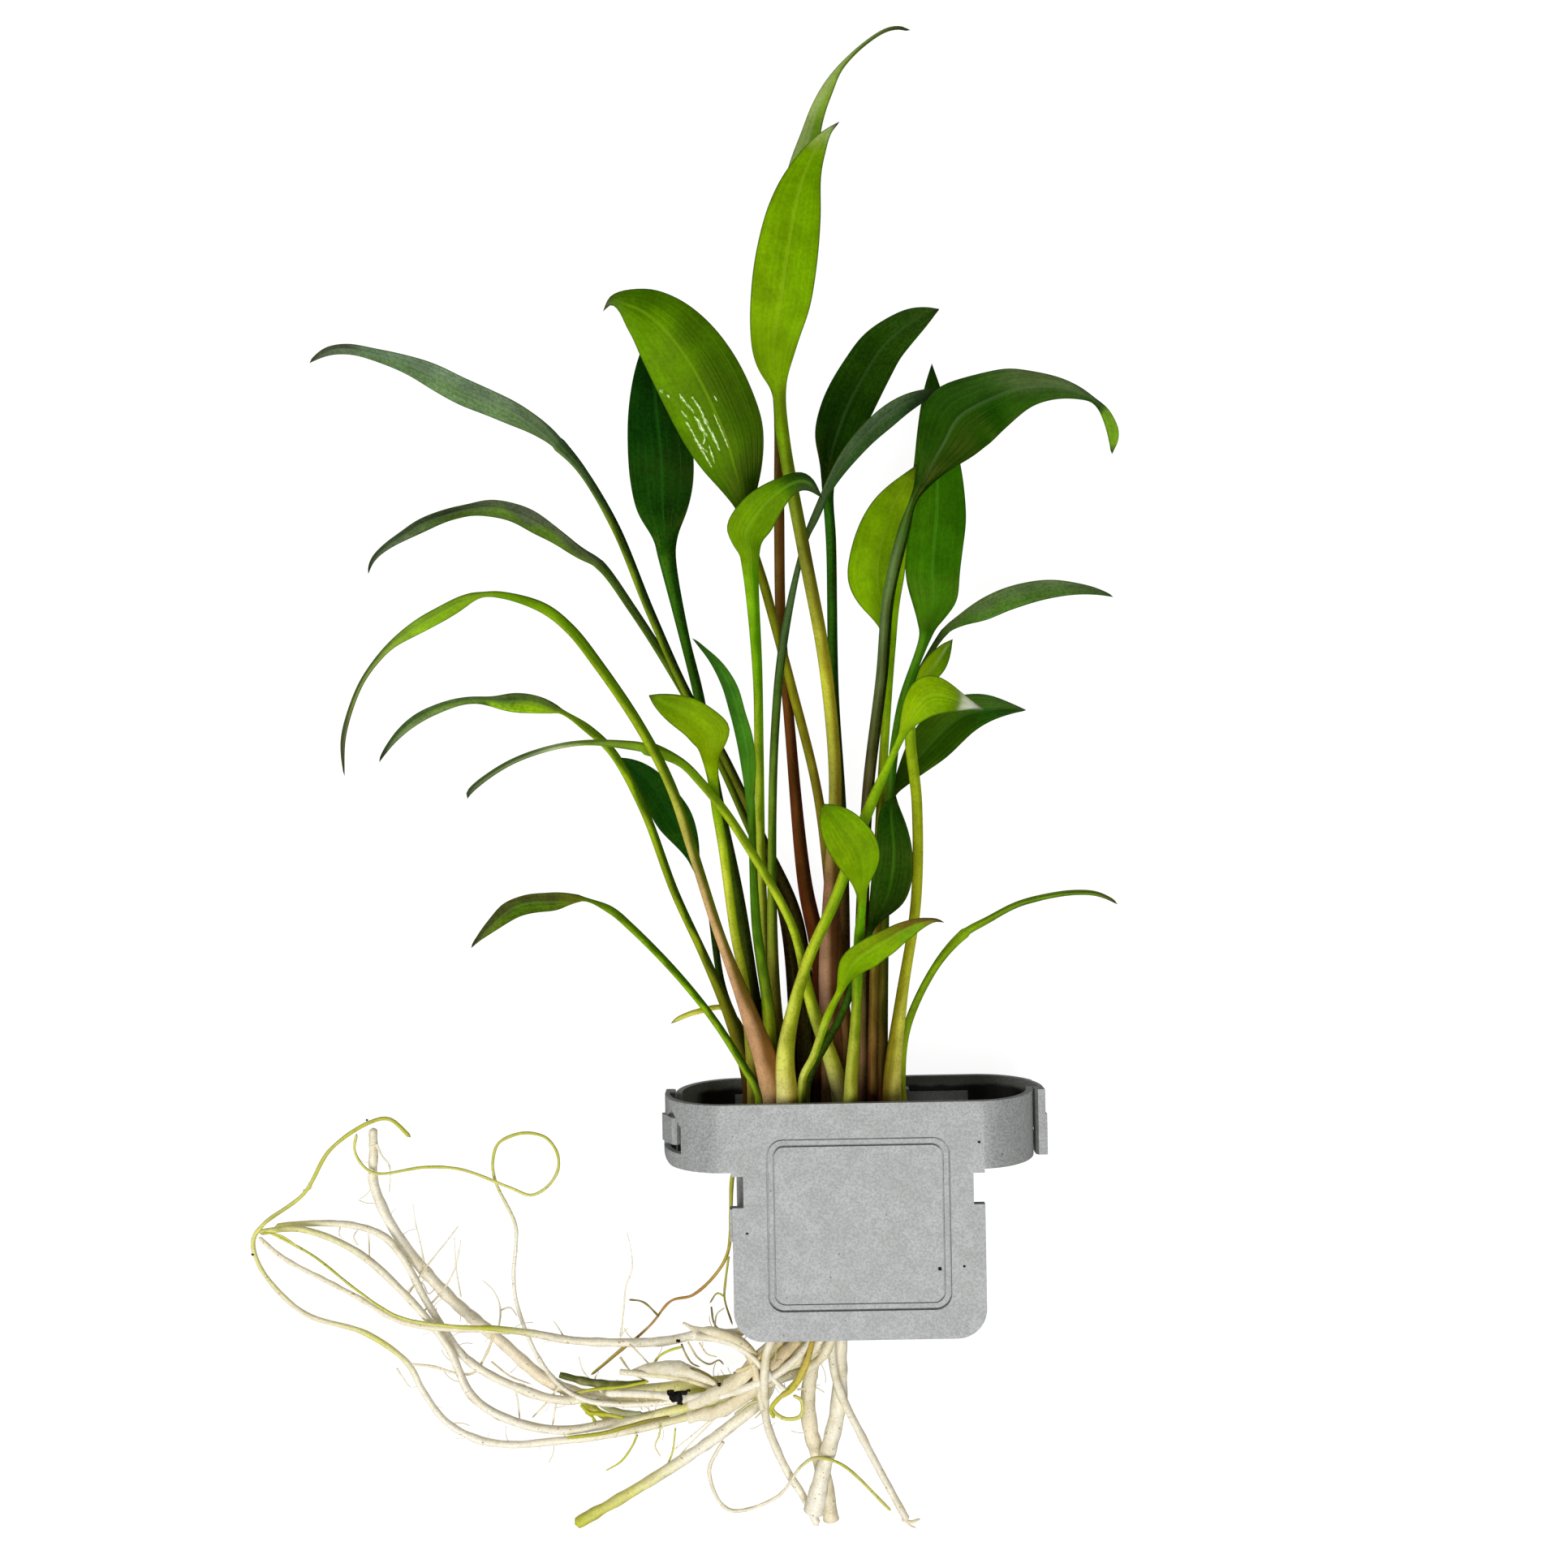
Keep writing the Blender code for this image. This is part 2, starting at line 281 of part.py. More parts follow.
# Each root: its diameter at the stock and at its end, where it leaves the stock (x, y, z), then its course.
ROOTS = {
    "root_outer_loop": (
        (2.6, 1.1), (-11, 3.7, 4),
        [(-9, -14, 4), (-11.5, -24, 4.6), (-18.5, -30.5, 5.3), (-29, -34.5, 1.5), (-47, -38.5, 1.3),
         (-56.5, -39.5, 1.2), (-65, -40, 1.2), (-71, -39, 1.2), (-77, -35.5, 1.2), (-81, -30, 1.2),
         (-84, -24.5, 1.2), (-91.5, -19, 1.1), (-102, -15.5, 1.1), (-107, -11.5, 1.1), (-111, -6, 1),
         (-112, -1.5, 1), (-110, 1.5, 1), (-102.5, 7, 1), (-97.5, 15, 1), (-90, 20, 1),
         (-86.5, 20.5, 1), (-82.5, 17, 0.8)],
    ),
    "root_second": (
        (2.4, 1.2), (-12, 3.7, 10.6),
        [(-11.5, -14, 10.6), (-14, -23.5, 10.2), (-20.5, -29.5, 8), (-32, -33.5, 4.2), (-47, -36.5, 3.9),
         (-56, -37.5, 3.8), (-65, -35.5, 4), (-72, -31, 4.3), (-76.5, -21.5, 5.6),
         (-84.5, -11.5, 5.8), (-93.5, -3.5, 5.8), (-103.5, 0.5, 5.8), (-111, 0, 5.8)],
    ),
    "root_third": (
        (2.4, 1.2), (-7, 3.7, 12),
        [(-6, -14, 12.2), (-8.5, -23, 12.8), (-17, -27.5, 13.6), (-27.5, -29, 7), (-38, -30, 4),
         (-47, -31, 3.7), (-55, -32, 3.7), (-62.5, -30, 3.6), (-73, -24, 3.5), (-79.5, -14.5, 3.4),
         (-84.5, -5, 3.4), (-88, -1, 3.4), (-93.5, 1, 3.4), (-100.5, 1.5, 3.4), (-108, 1, 3.4)],
    ),
    "root_fourth": (
        (2.6, 1.4), (-14.5, 3.7, 7.4),
        [(-13, -15.5, 7.4), (-14.5, -22, 6.8), (-19.5, -27, 4.8), (-30.5, -30.5, 1.8),
         (-42.5, -31.5, 1.4), (-51.5, -31, 1.2), (-58.5, -28, 1.2), (-67, -20.5, 1.2),
         (-76.5, -12, 1.1), (-85, -1.5, 1), (-89.5, 8.5, 1), (-89.5, 14, 1.5), (-89.5, 19, 3.4)],
    ),
    "root_round_loop": (
        (2.2, 0.9), (-4, 3.7, 14.5),
        [(-4.5, -15.5, 14.5), (-7, -24.5, 14), (-15.5, -29, 10.8), (-22, -30.6, 10.6), (-30.5, -32, 7),
         (-42.5, -33, 6.4), (-51, -32, 6.3), (-56, -29, 5.2), (-60, -23.5, 3.8), (-63.5, -14, 2),
         (-64, -8.5, 1), (-63.5, -3.5, 0.9), (-63.5, 0.5, 0.9), (-67, 8.5, 0.9), (-67.5, 12, 0.9),
         (-66.5, 15.5, 0.9), (-64, 17, 0.9), (-61, 17.5, 0.9), (-57.5, 16.5, 1), (-55.5, 13.5, 1.2),
         (-55.5, 10.5, 1.6), (-57.5, 7.5, 2), (-60.5, 6, 2.4), (-64.5, 7.5, 2.7), (-73.5, 11, 1.4),
         (-80, 11.5, 1.6), (-89, 10.5, 3), (-91.5, 12, 3), (-93, 15, 2.9), (-92.5, 18, 2.7)],
    ),
    "root_upper": (
        (2.2, 1.0), (-18, 3.7, 13),
        [(-19.5, -14, 12.6), (-22.5, -20, 11), (-28.5, -20, 7), (-37.5, -21.5, 3), (-53, -21, 4),
         (-61, -19.5, 6.4), (-68, -18.5, 6.4), (-75.5, -18, 6.8), (-85.5, -16, 8), (-93, -11, 8),
         (-101, -4.5, 8.2), (-109, 0, 8.2)],
    ),
    "root_low_left": (
        (2.6, 2.2), (-17.5, 3.7, 5),
        [(-16.5, -15.5, 4.2), (-16.5, -24, 2.6), (-17.5, -31, 1.6), (-24, -37, 1.6),
         (-33.5, -43.5, 1.5), (-43.5, -49.5, 1.4), (-53.5, -55, 1.2)],
    ),
    "root_down_left": (
        (1.8, 1.5), (-16.5, 3.7, 17),
        [(-14.5, -15.5, 17), (-17.5, -24, 16.8), (-18, -28.5, 16), (-18, -32, 13), (-17.5, -37.5, 6),
         (-14, -46, 1.2), (-11.5, -50, 1.1), (-8.5, -56, 1)],
    ),
    "root_down_middle": (
        (2.4, 1.9), (-7, 3.7, 7),
        [(-7.5, -14, 7.4), (-8.5, -23, 7.2), (-10, -32, 4), (-9.5, -39, 2), (-8, -44, 1.4),
         (-6, -55.5, 1.2)],
    ),
    "root_down_thick": (
        (2.4, 2.2), (-1, 3.7, 6.2),
        [(-3, -15.5, 6.2), (-4, -23, 6), (-4, -27.5, 5.2), (-4.5, -34.5, 3.4), (-7.5, -46, 4.2),
         (-9.5, -54, 3.8)],
    ),
    "root_down_right": (
        (2.0, 1.4), (-3, 3.7, 9.8),
        [(-5, -15.5, 9.6), (-5.5, -23, 9.2), (-4.5, -30, 7.5), (0, -40, 3), (2.5, -45, 1.5),
         (8, -55.5, 1)],
    ),
    "root_thin_loop": (
        (0.9, 0.8), (-27, -50.9, 1.6),
        [(-27, -42, 1.2), (-28.5, -45.5, 0.8), (-26.5, -51.5, 0.8), (-24, -53, 0.8),
         (-16, -50.5, 1.4), (-11.5, -45, 4.6), (-9, -43.5, 5.6), (-4.5, -44.5, 6.4), (5, -53.5, 1)],
    ),
    "root_through_notch": (
        (1.0, 0.7), (-21.4, 5.6, 3),
        [(-22, 12, 3), (-23.2, 9, 3), (-24.3, -5, 2.6), (-26.5, -9, 2.4), (-31, -13, 1.8),
         (-35, -14, 1.2), (-39, -18.5, 0.6), (-50, -27.5, 0.6)],
    ),
}

SIDES = 6                   # corners of a leaf's or root's cross-section
BLADE_THICK = 0.5
ROOT_STEP = 7.0             # length of one piece of a root


def clear_scene():
    for obj in list(bpy.data.objects):
        bpy.data.objects.remove(obj, do_unlink=True)


def material(name, rgb, roughness):
    made = bpy.data.materials.new(name)
    made.use_nodes = True
    shader = made.node_tree.nodes["Principled BSDF"]
    shader.inputs["Base Color"].default_value = (*rgb, 1.0)
    shader.inputs["Roughness"].default_value = roughness
    return made


def add_object(name, points, faces, mat):
    mesh = bpy.data.meshes.new(name)
    mesh.from_pydata([tuple(float(c) * MM for c in p) for p in points], [], faces)
    mesh.materials.append(mat)
    obj = bpy.data.objects.new(name, mesh)
    bpy.context.scene.collection.objects.link(obj)
    return obj


def true_place(seen):
    x, y, z = seen
    k = (EYE[2] - z) / (EYE[2] - DEPTH)
    return EYE[0] + (x - EYE[0]) * k, EYE[1] + (y - EYE[1]) * k, z


def spline(rows, counts):
    """A smooth line through the rows, with counts[i] steps in its i-th piece. Later columns ride along."""
    rows = np.array(rows, float)
    ends = np.vstack([2 * rows[0] - rows[1], rows, 2 * rows[-1] - rows[-2]])
    out = []
    for i, count in enumerate(counts):
        p0, p1, p2, p3 = ends[i:i + 4]
        a = math.sqrt(np.linalg.norm(p1[:3] - p0[:3])) + 1e-9
        b = math.sqrt(np.linalg.norm(p2[:3] - p1[:3])) + 1e-9
        c = math.sqrt(np.linalg.norm(p3[:3] - p2[:3])) + 1e-9
        m1 = (p2 - p1) + b * ((p1 - p0) / a - (p2 - p0) / (a + b))
        m2 = (p2 - p1) + b * ((p3 - p2) / c - (p3 - p1) / (b + c))
        for t in np.arange(count) / count:
            out.append((2 * t**3 - 3 * t**2 + 1) * p1 + (t**3 - 2 * t**2 + t) * m1
                       + (3 * t**2 - 2 * t**3) * p2 + (t**3 - t**2) * m2)
    out.append(rows[-1])
    return np.array(out)


def frames(line, first=None):
    """Direction, side and upward direction at each point of the line."""
    ahead = np.gradient(line[:, :3], axis=0)
    if first is not None:
        ahead[0] = first
    ahead /= np.linalg.norm(ahead, axis=1)[:, None]
    side = np.cross(ahead, (0.0, 0.0, 1.0))
    side /= np.linalg.norm(side, axis=1)[:, None]
    return ahead, side, np.cross(side, ahead)


def loft(name, rings, tip, mat):
    """One closed body over the rings, flat at the first and running out to the tip."""
    n = len(rings[0])
    points = [p for ring in rings for p in ring] + [tip]
    faces = [tuple(range(n))]
    for k in range(len(rings) - 1):
        for i in range(n):
            j = (i + 1) % n
            a, b = k * n + i, k * n + j
            faces.append((b, a, a + n, b + n))
    top = (len(rings) - 1) * n
    for i in range(n):
        faces.append((top + (i + 1) % n, top + i, len(points) - 1))
    obj = add_object(name, points, faces, mat)
    bm = bmesh.new()
    bm.from_mesh(obj.data)
    bmesh.ops.triangulate(bm, faces=bm.faces)
    bmesh.ops.recalc_face_normals(bm, faces=bm.faces)
    bm.to_mesh(obj.data)
    bm.free()
    for face in obj.data.polygons:
        face.use_smooth = True
    return obj


def leaf(name, mat):
    """Petiole and blade grown as one: a six-cornered stalk that flattens into a folded blade."""
    foot, (stout, neck), fold, stem, blade = LEAVES[name]
    stalk = [(foot[0], STOCK_TOP + GAP, foot[1])] + [true_place(p) for p in stem]
    leafy = [(*true_place(row[:3]), row[3], row[4]) for row in blade]
    turn = leafy[0][4]
    rows = []
    for i, p in enumerate(stalk):
        t = i / len(stalk)
        rows.append((*p, stout + (neck - stout) * min(1.0, 3 * t), turn * max(0.0, 2 * t - 1), 0.0))
    for i, row in enumerate(leafy):
        rows.append((*row, min(1.0, i / 3)))
    line = np.array(rows)
    ahead, side, up = frames(line, (0.0, 1.0, 0.0))
    rings = []
    for i in range(len(line) - 1):
        wide, turned, leafiness = line[i, 3], math.radians(line[i, 4]), line[i, 5]
        thick = (1 - leafiness) * min(wide, neck) + leafiness * BLADE_THICK if leafiness else wide
        thick = min(thick, wide)
        across = math.cos(turned) * side[i] + math.sin(turned) * up[i]
        out = math.cos(turned) * up[i] - math.sin(turned) * side[i]
        ring = []
        for u, v in ((0.5, -0.25), (0.5, 0.25), (0.0, 0.5), (-0.5, 0.25), (-0.5, -0.25), (0.0, -0.5)):
            lift = fold * leafiness * abs(u) * wide
            ring.append(line[i, :3] + u * wide * across + (v * thick + lift) * out)
        rings.append(np.array(ring))
    return loft(name, rings, line[-1, :3], mat)


def root(name, mat):
    (stout, fine), foot, seen = ROOTS[name]
    rows = [foot] + [true_place(p) for p in seen]
    counts = []
    for a, b in zip(rows, rows[1:]):
        counts.append(max(1, round(math.dist(a, b) / ROOT_STEP)))
    line = spline(rows, counts)
    ahead, side, up = frames(line, (0.0, -1.0, 0.0) if foot[1] == 3.7 else None)
    rings = []
    for i in range(len(line) - 1):
        t = i / (len(line) - 1)
        radius = (stout + (fine - stout) * t) / 2
        ring = []
        for k in range(SIDES):
            angle = 2 * math.pi * (k + 0.5) / SIDES
            ring.append(line[i, :3] + radius * (math.cos(angle) * side[i] + math.sin(angle) * up[i]))
        rings.append(np.array(ring))
    return loft(name, rings, line[-1, :3], mat)


def prism(name, outline, low, high, axis, mat=None):
    """The outline drawn on a plane, pulled from low to high along the axis that it leaves out."""
    points = []
    for level in (low, high):
        for u, v in outline:
            points.append({"y": (u, level, v), "z": (u, v, level), "x": (level, u, v)}[axis])
    n = len(outline)
    faces = [tuple(range(n)), tuple(range(n, 2 * n))]
    faces += [(i, (i + 1) % n, n + (i + 1) % n, n + i) for i in range(n)]
    obj = add_object(name, points, faces, mat or PLASTIC)
    bm = bmesh.new()
    bm.from_mesh(obj.data)
    bmesh.ops.recalc_face_normals(bm, faces=bm.faces)
    bm.to_mesh(obj.data)
    bm.free()
    return obj


def join(target, tool, operation):
    mod = target.modifiers.new(operation, "BOOLEAN")
    mod.operation = operation
    mod.solver = "EXACT"
    mod.object = tool
    bpy.context.view_layer.update()
    graph = bpy.context.evaluated_depsgraph_get()
    mesh = bpy.data.meshes.new_from_object(target.evaluated_get(graph))
    target.modifiers.clear()
    target.data = mesh
    bpy.data.objects.remove(tool, do_unlink=True)


def arc(cx, cy, radius, start, end, steps):
    turns = np.radians(np.linspace(start, end, steps + 1))
    return [(cx + radius * math.cos(t), cy + radius * math.sin(t)) for t in turns]


def half_stadium(inset, lap):
    """Outline of the front half of the rim, seen along y. The left end is long and laps over the back half."""
    radius = DEPTH / 2 - inset
    middle = DEPTH / 2
    left = -RIM_LONG_END + DEPTH / 2
    right = RIM_SHORT_END - DEPTH / 2
    line = arc(right, middle, radius, 0, 90, 6) + arc(left, middle, radius, 90, 180, 6)
    return [(line[0][0], middle + GAP / 2)] + line[1:-1] + [(line[-1][0], middle - lap)]


def rounded_plate(half, top, foot, corner, steps=5):
    return ([(-half, top)] + arc(-half + corner, foot + corner, corner, 180, 270, steps)
            + arc(half - corner, foot + corner, corner, 270, 360, steps) + [(half, top)])


def rounded_square(half, middle, corner):
    w, h = half
    out = []
    for sx, sy, start in ((1, 1, 0), (-1, 1, 90), (-1, -1, 180), (1, -1, 270)):
        out += arc(sx * (w - corner), middle + sy * (h - corner), corner, start, start + 90, 3)
    return out


def half_shell(name):
    """One half of the holder, as the front one lies: its face is at z = DEPTH."""
    joint = DEPTH / 2 + GAP / 2
    outer = half_stadium(0.0, LAP)
    inner = half_stadium(RIM_WALL, LAP)
    band = prism(name, outer + inner[::-1], RIM_UNDER, RIM_TOP, "y")
    # The rim's floor beside the neck, left and right.
    floor = prism("floor", half_stadium(0.5, -GAP / 2), RIM_UNDER, RIM_UNDER + RIM_WALL, "y")
    room = PLATE_HALF - SIDE_WALL
    neck = [(-room, 0), (room, 0), (room, DEPTH + 1), (-room, DEPTH + 1)]
    join(floor, prism("neck", neck, RIM_UNDER - 1, RIM_UNDER + 3, "y"), "DIFFERENCE")
    join(band, floor, "UNION")
    plate = rounded_plate(PLATE_HALF, RIM_TOP - 3, PLATE_FOOT, PLATE_CORNER)
    join(band, prism("plate", plate, DEPTH - PLATE_THICK, DEPTH, "z"), "UNION")
    # The side walls go back from the plate to the joint. Their lower ends follow the rounded corners.
    outline = rounded_plate(PLATE_HALF, RIM_UNDER + 0.5, PLATE_FOOT, PLATE_CORNER)
    walls = prism("walls", outline, joint, DEPTH - 0.4, "z")
    hollow = [(-room, RIM_TOP), (-room, PLATE_FOOT + 2.2), (-room + 2, PLATE_FOOT - 2),
              (room - 2, PLATE_FOOT - 2), (room, PLATE_FOOT + 2.2), (room, RIM_TOP)]
    join(walls, prism("hollow", hollow, joint - 1, DEPTH, "z"), "DIFFERENCE")
    join(band, walls, "UNION")
    for side in (-1, 1):
        a, b = sorted((side * (PLATE_HALF + 1), side * (PLATE_HALF - NOTCH_WIDE)))
        notch = [(a, NOTCH_TOP - NOTCH_TALL), (b, NOTCH_TOP - NOTCH_TALL), (b, NOTCH_TOP), (a, NOTCH_TOP)]
        join(band, prism("notch", notch, DEPTH - NOTCH_DEEP, DEPTH + 1, "z"), "DIFFERENCE")
    # A small tab stands out of the left side wall.
    a, b = -PLATE_HALF - 0.5, -PLATE_HALF + 0.4
    tab = [(a, -3.6), (b, -3.6), (b, 2.4), (a, 2.4)]
    join(band, prism("tab", tab, DEPTH - 3.0, DEPTH - 1.0, "z"), "UNION")
    # The square groove is a shallow sunk panel less its raised middle.
    panel = rounded_square(PANEL_HALF, PANEL_MIDDLE, PANEL_CORNER)
    groove = prism("groove", panel, DEPTH - GROOVE_DEEP, DEPTH + 1, "z")
    middle = (PANEL_HALF[0] - GROOVE_WIDE, PANEL_HALF[1] - GROOVE_WIDE)
    middle = rounded_square(middle, PANEL_MIDDLE, PANEL_CORNER - 1.2)
    join(groove, prism("middle", middle, DEPTH - 2, DEPTH + 2, "z"), "DIFFERENCE")
    join(band, groove, "DIFFERENCE")
    # The window in the long end, cut square to the wall where the end curves back.
    window = prism("window", [(-RIM_LONG_END - 1, DEPTH / 2 + 1.2), (-RIM_LONG_END + 4, DEPTH / 2 + 1.2),
                              (-RIM_LONG_END + 4, DEPTH / 2 + 6.2), (-RIM_LONG_END - 1, DEPTH / 2 + 6.2)],
                   WINDOW_MIDDLE - WINDOW_TALL / 2, WINDOW_MIDDLE + WINDOW_TALL / 2, "y")
    join(band, window, "DIFFERENCE")
    # The tongue on the short end, which springs into the other shell's window.
    x = RIM_SHORT_END
    tongue = [(x - 1.0, joint), (x - 0.2, joint), (x - 0.2, joint - 5.0), (x + 1.4, joint - 5.0),
              (x - 1.0, joint - 6.0)]
    join(band, prism("tongue", tongue, WINDOW_MIDDLE - 2.4, WINDOW_MIDDLE + 2.4, "y"), "UNION")
    return band


clear_scene()
PLASTIC = material("holder_plastic", (0.42, 0.43, 0.43), 0.55)
STOCK = material("stock_brown", (0.25, 0.17, 0.09), 0.7)
LEAF = material("leaf_green", (0.09, 0.22, 0.015), 0.4)
ROOT = material("root_cream", (0.8, 0.74, 0.55), 0.5)

front = half_shell("holder_front")
back = half_shell("holder_back")
# The back shell is the front one turned half round about y.
for v in back.data.vertices:
    v.co.x, v.co.z = -v.co.x, DEPTH * MM - v.co.z

(left, right), (low, high) = STOCK_X, STOCK_Z
stock_outline = []
for x, z in ((right - STOCK_CORNER, low), (right, low + STOCK_CORNER), (right, high - STOCK_CORNER),
             (right - STOCK_CORNER, high), (left + STOCK_CORNER, high), (left, high - STOCK_CORNER),
             (left, low + STOCK_CORNER), (left + STOCK_CORNER, low)):
    stock_outline.append((x, z))
prism("stock", stock_outline, STOCK_FOOT, STOCK_TOP, "y", STOCK)

for leaf_name in LEAVES:
    leaf(leaf_name, LEAF)
for root_name in ROOTS:
    root(root_name, ROOT)

for obj in bpy.context.scene.objects:
    print(obj.name, len(obj.data.polygons))
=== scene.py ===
# %% [markdown]
# # A potted cryptocoryne, lying on its back
# This lesson dresses a small water plant. Twenty-eight leaves and a spray of pale roots grow from one
# stock, which a grey clip-together holder grips. The imported solids give every piece its place and
# reach. Here each one gets its surface: veined blades, stalks in two colours with painted light and
# shade, threadlike side roots and speckled moulded plastic. Lengths in the tables are millimetres.

# %% Load the frame
import math

import bmesh
import bpy
import numpy as np
from mathutils import Matrix, Vector, noise


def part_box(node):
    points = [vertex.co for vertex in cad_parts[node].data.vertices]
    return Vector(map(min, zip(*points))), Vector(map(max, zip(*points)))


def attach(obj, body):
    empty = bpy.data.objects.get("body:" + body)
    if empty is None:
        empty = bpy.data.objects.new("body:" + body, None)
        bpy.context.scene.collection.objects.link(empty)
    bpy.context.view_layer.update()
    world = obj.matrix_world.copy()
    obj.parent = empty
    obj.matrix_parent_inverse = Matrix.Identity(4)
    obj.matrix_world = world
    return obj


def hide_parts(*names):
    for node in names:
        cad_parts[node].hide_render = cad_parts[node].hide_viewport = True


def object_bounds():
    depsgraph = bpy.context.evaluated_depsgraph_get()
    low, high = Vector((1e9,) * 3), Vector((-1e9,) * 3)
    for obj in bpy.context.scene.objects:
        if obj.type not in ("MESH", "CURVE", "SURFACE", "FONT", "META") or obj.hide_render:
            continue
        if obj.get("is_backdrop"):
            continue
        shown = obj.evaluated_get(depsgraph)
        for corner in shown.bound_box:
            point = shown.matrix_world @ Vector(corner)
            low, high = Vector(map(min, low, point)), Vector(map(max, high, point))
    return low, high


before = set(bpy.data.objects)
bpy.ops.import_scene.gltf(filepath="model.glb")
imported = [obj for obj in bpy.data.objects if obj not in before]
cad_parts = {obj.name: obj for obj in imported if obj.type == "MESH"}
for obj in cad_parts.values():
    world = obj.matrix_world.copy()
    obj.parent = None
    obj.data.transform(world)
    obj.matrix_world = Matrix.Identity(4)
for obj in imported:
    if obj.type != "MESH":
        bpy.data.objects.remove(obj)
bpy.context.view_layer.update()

# %% [markdown]
# ## Camera, table and light
# The plant was photographed straight from above, at about 28 cm. A camera that looks down its own
# -Z axis already looks at the table, so it only needs a place, a degree of turn and its field of
# view. The light is one broad soft box overhead, a weaker one from the left that draws a bright
# line down each stalk, and a pale sky that fills the shadows.

# %% Camera
MM = 0.001
scene = bpy.context.scene
EYE = (-12.46, 81.15, 279.0)
lens = bpy.data.cameras.new("camera")
lens.sensor_width = 36.0
lens.angle = math.radians(59.2)
camera = bpy.data.objects.new("camera", lens)
camera.location = [c * MM for c in EYE]
camera.rotation_euler = (0.0, 0.0, math.radians(-1.0))
scene.collection.objects.link(camera)
scene.camera = camera
lens.clip_start = 0.005
scene.view_settings.view_transform = "Standard"
print("camera at", EYE, "mm, field of view 59.2 degrees")

# %% Sky and soft boxes
sky = bpy.data.worlds.new("sky")
sky.use_nodes = True
sky.node_tree.nodes["Background"].inputs["Color"].default_value = (1.0, 0.99, 0.97, 1.0)
sky.node_tree.nodes["Background"].inputs["Strength"].default_value = 0.16
sky.cycles_visibility.glossy = False
scene.world = sky


def soft_box(name, place, aim, size, power):
    lamp = bpy.data.lights.new(name, "AREA")
    lamp.shape = "SQUARE"
    lamp.size = size
    lamp.energy = power
    box = bpy.data.objects.new(name, lamp)
    box.location = place
    box.rotation_euler = (Vector(aim) - Vector(place)).to_track_quat("-Z", "Y").to_euler()
    scene.collection.objects.link(box)
    return box


soft_box("soft_box_above", (0.04, -0.26, 0.80), (-0.02, 0.04, 0.0), 0.56, 6.7)
soft_box("soft_box_left", (-0.62, 0.12, 0.45), (-0.02, 0.06, 0.0), 0.24, 2.0)

# %% Table
bm = bmesh.new()
bmesh.ops.create_grid(bm, x_segments=8, y_segments=8, size=1.6)
table_mesh = bpy.data.meshes.new("table")
bm.to_mesh(table_mesh)
bm.free()
table = bpy.data.objects.new("table", table_mesh)
table_mesh.transform(Matrix.Translation((0.0, 0.08, -0.0004)))
scene.collection.objects.link(table)
table.visible_glossy = False
table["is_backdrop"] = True

# %% [markdown]
# ## Finishes
# A finish is a Principled material. What several finishes share is a node group, built once: a
# group for the lines of a leaf, which reads how far a point lies across and along the blade, and a
# group for mottling, which reads the place on the object. The groups put out masks and heights
# only, so each finish still shows its own colours and gloss.

# %% Node helpers
def wire(tree, out, into):
    tree.links.new(out, into)


def math_node(tree, operation, a, b=None, clamp=False):
    node = tree.nodes.new("ShaderNodeMath")
    node.operation = operation
    node.use_clamp = clamp
    for socket, value in zip(node.inputs, (a, b)):
        if value is None:
            continue
        if isinstance(value, (int, float)):
            socket.default_value = value
        else:
            wire(tree, value, socket)
    return node.outputs[0]


def map_range(tree, value, low, high, to_low=0.0, to_high=1.0):
    node = tree.nodes.new("ShaderNodeMapRange")
    node.interpolation_type = "SMOOTHSTEP"
    wire(tree, value, node.inputs["Value"])
    for name, number in (("From Min", low), ("From Max", high), ("To Min", to_low), ("To Max", to_high)):
        node.inputs[name].default_value = number
    return node.outputs["Result"]


def mix_colour(tree, factor, a, b, blend="MIX"):
    node = tree.nodes.new("ShaderNodeMix")
    node.data_type = "RGBA"
    node.blend_type = blend
    for socket, value in ((node.inputs[0], factor), (node.inputs[6], a), (node.inputs[7], b)):
        if isinstance(value, (int, float)):
            socket.default_value = value
        elif isinstance(value, tuple):
            socket.default_value = (*value, 1.0)
        else:
            wire(tree, value, socket)
    return node.outputs[2]


def attribute(tree, name):
    node = tree.nodes.new("ShaderNodeAttribute")
    node.attribute_name = name
    return node


def linear(rgb):
    """Screen colour in 0 to 255 as the linear light that nodes work in."""
    c = np.array(rgb, float) / 255.0
    return tuple(float(v) for v in np.where(c <= 0.04045, c / 12.92, ((c + 0.055) / 1.055) ** 2.4))


def new_group(name, inputs, outputs):
    group = bpy.data.node_groups.new(name, "ShaderNodeTree")
    for label, value in inputs:
        socket = group.interface.new_socket(label, in_out="INPUT", socket_type="NodeSocketFloat")
        socket.default_value = value
    for label in outputs:
        group.interface.new_socket(label, in_out="OUTPUT", socket_type="NodeSocketFloat")
    return group, group.nodes.new("NodeGroupInput"), group.nodes.new("NodeGroupOutput")


def place_group(tree, group, **values):
    node = tree.nodes.new("ShaderNodeGroup")
    node.node_tree = group
    for label, value in values.items():
        socket = node.inputs[label.replace("_", " ")]
        if isinstance(value, (int, float)):
            socket.default_value = value
        else:
            wire(tree, value, socket)
    return node


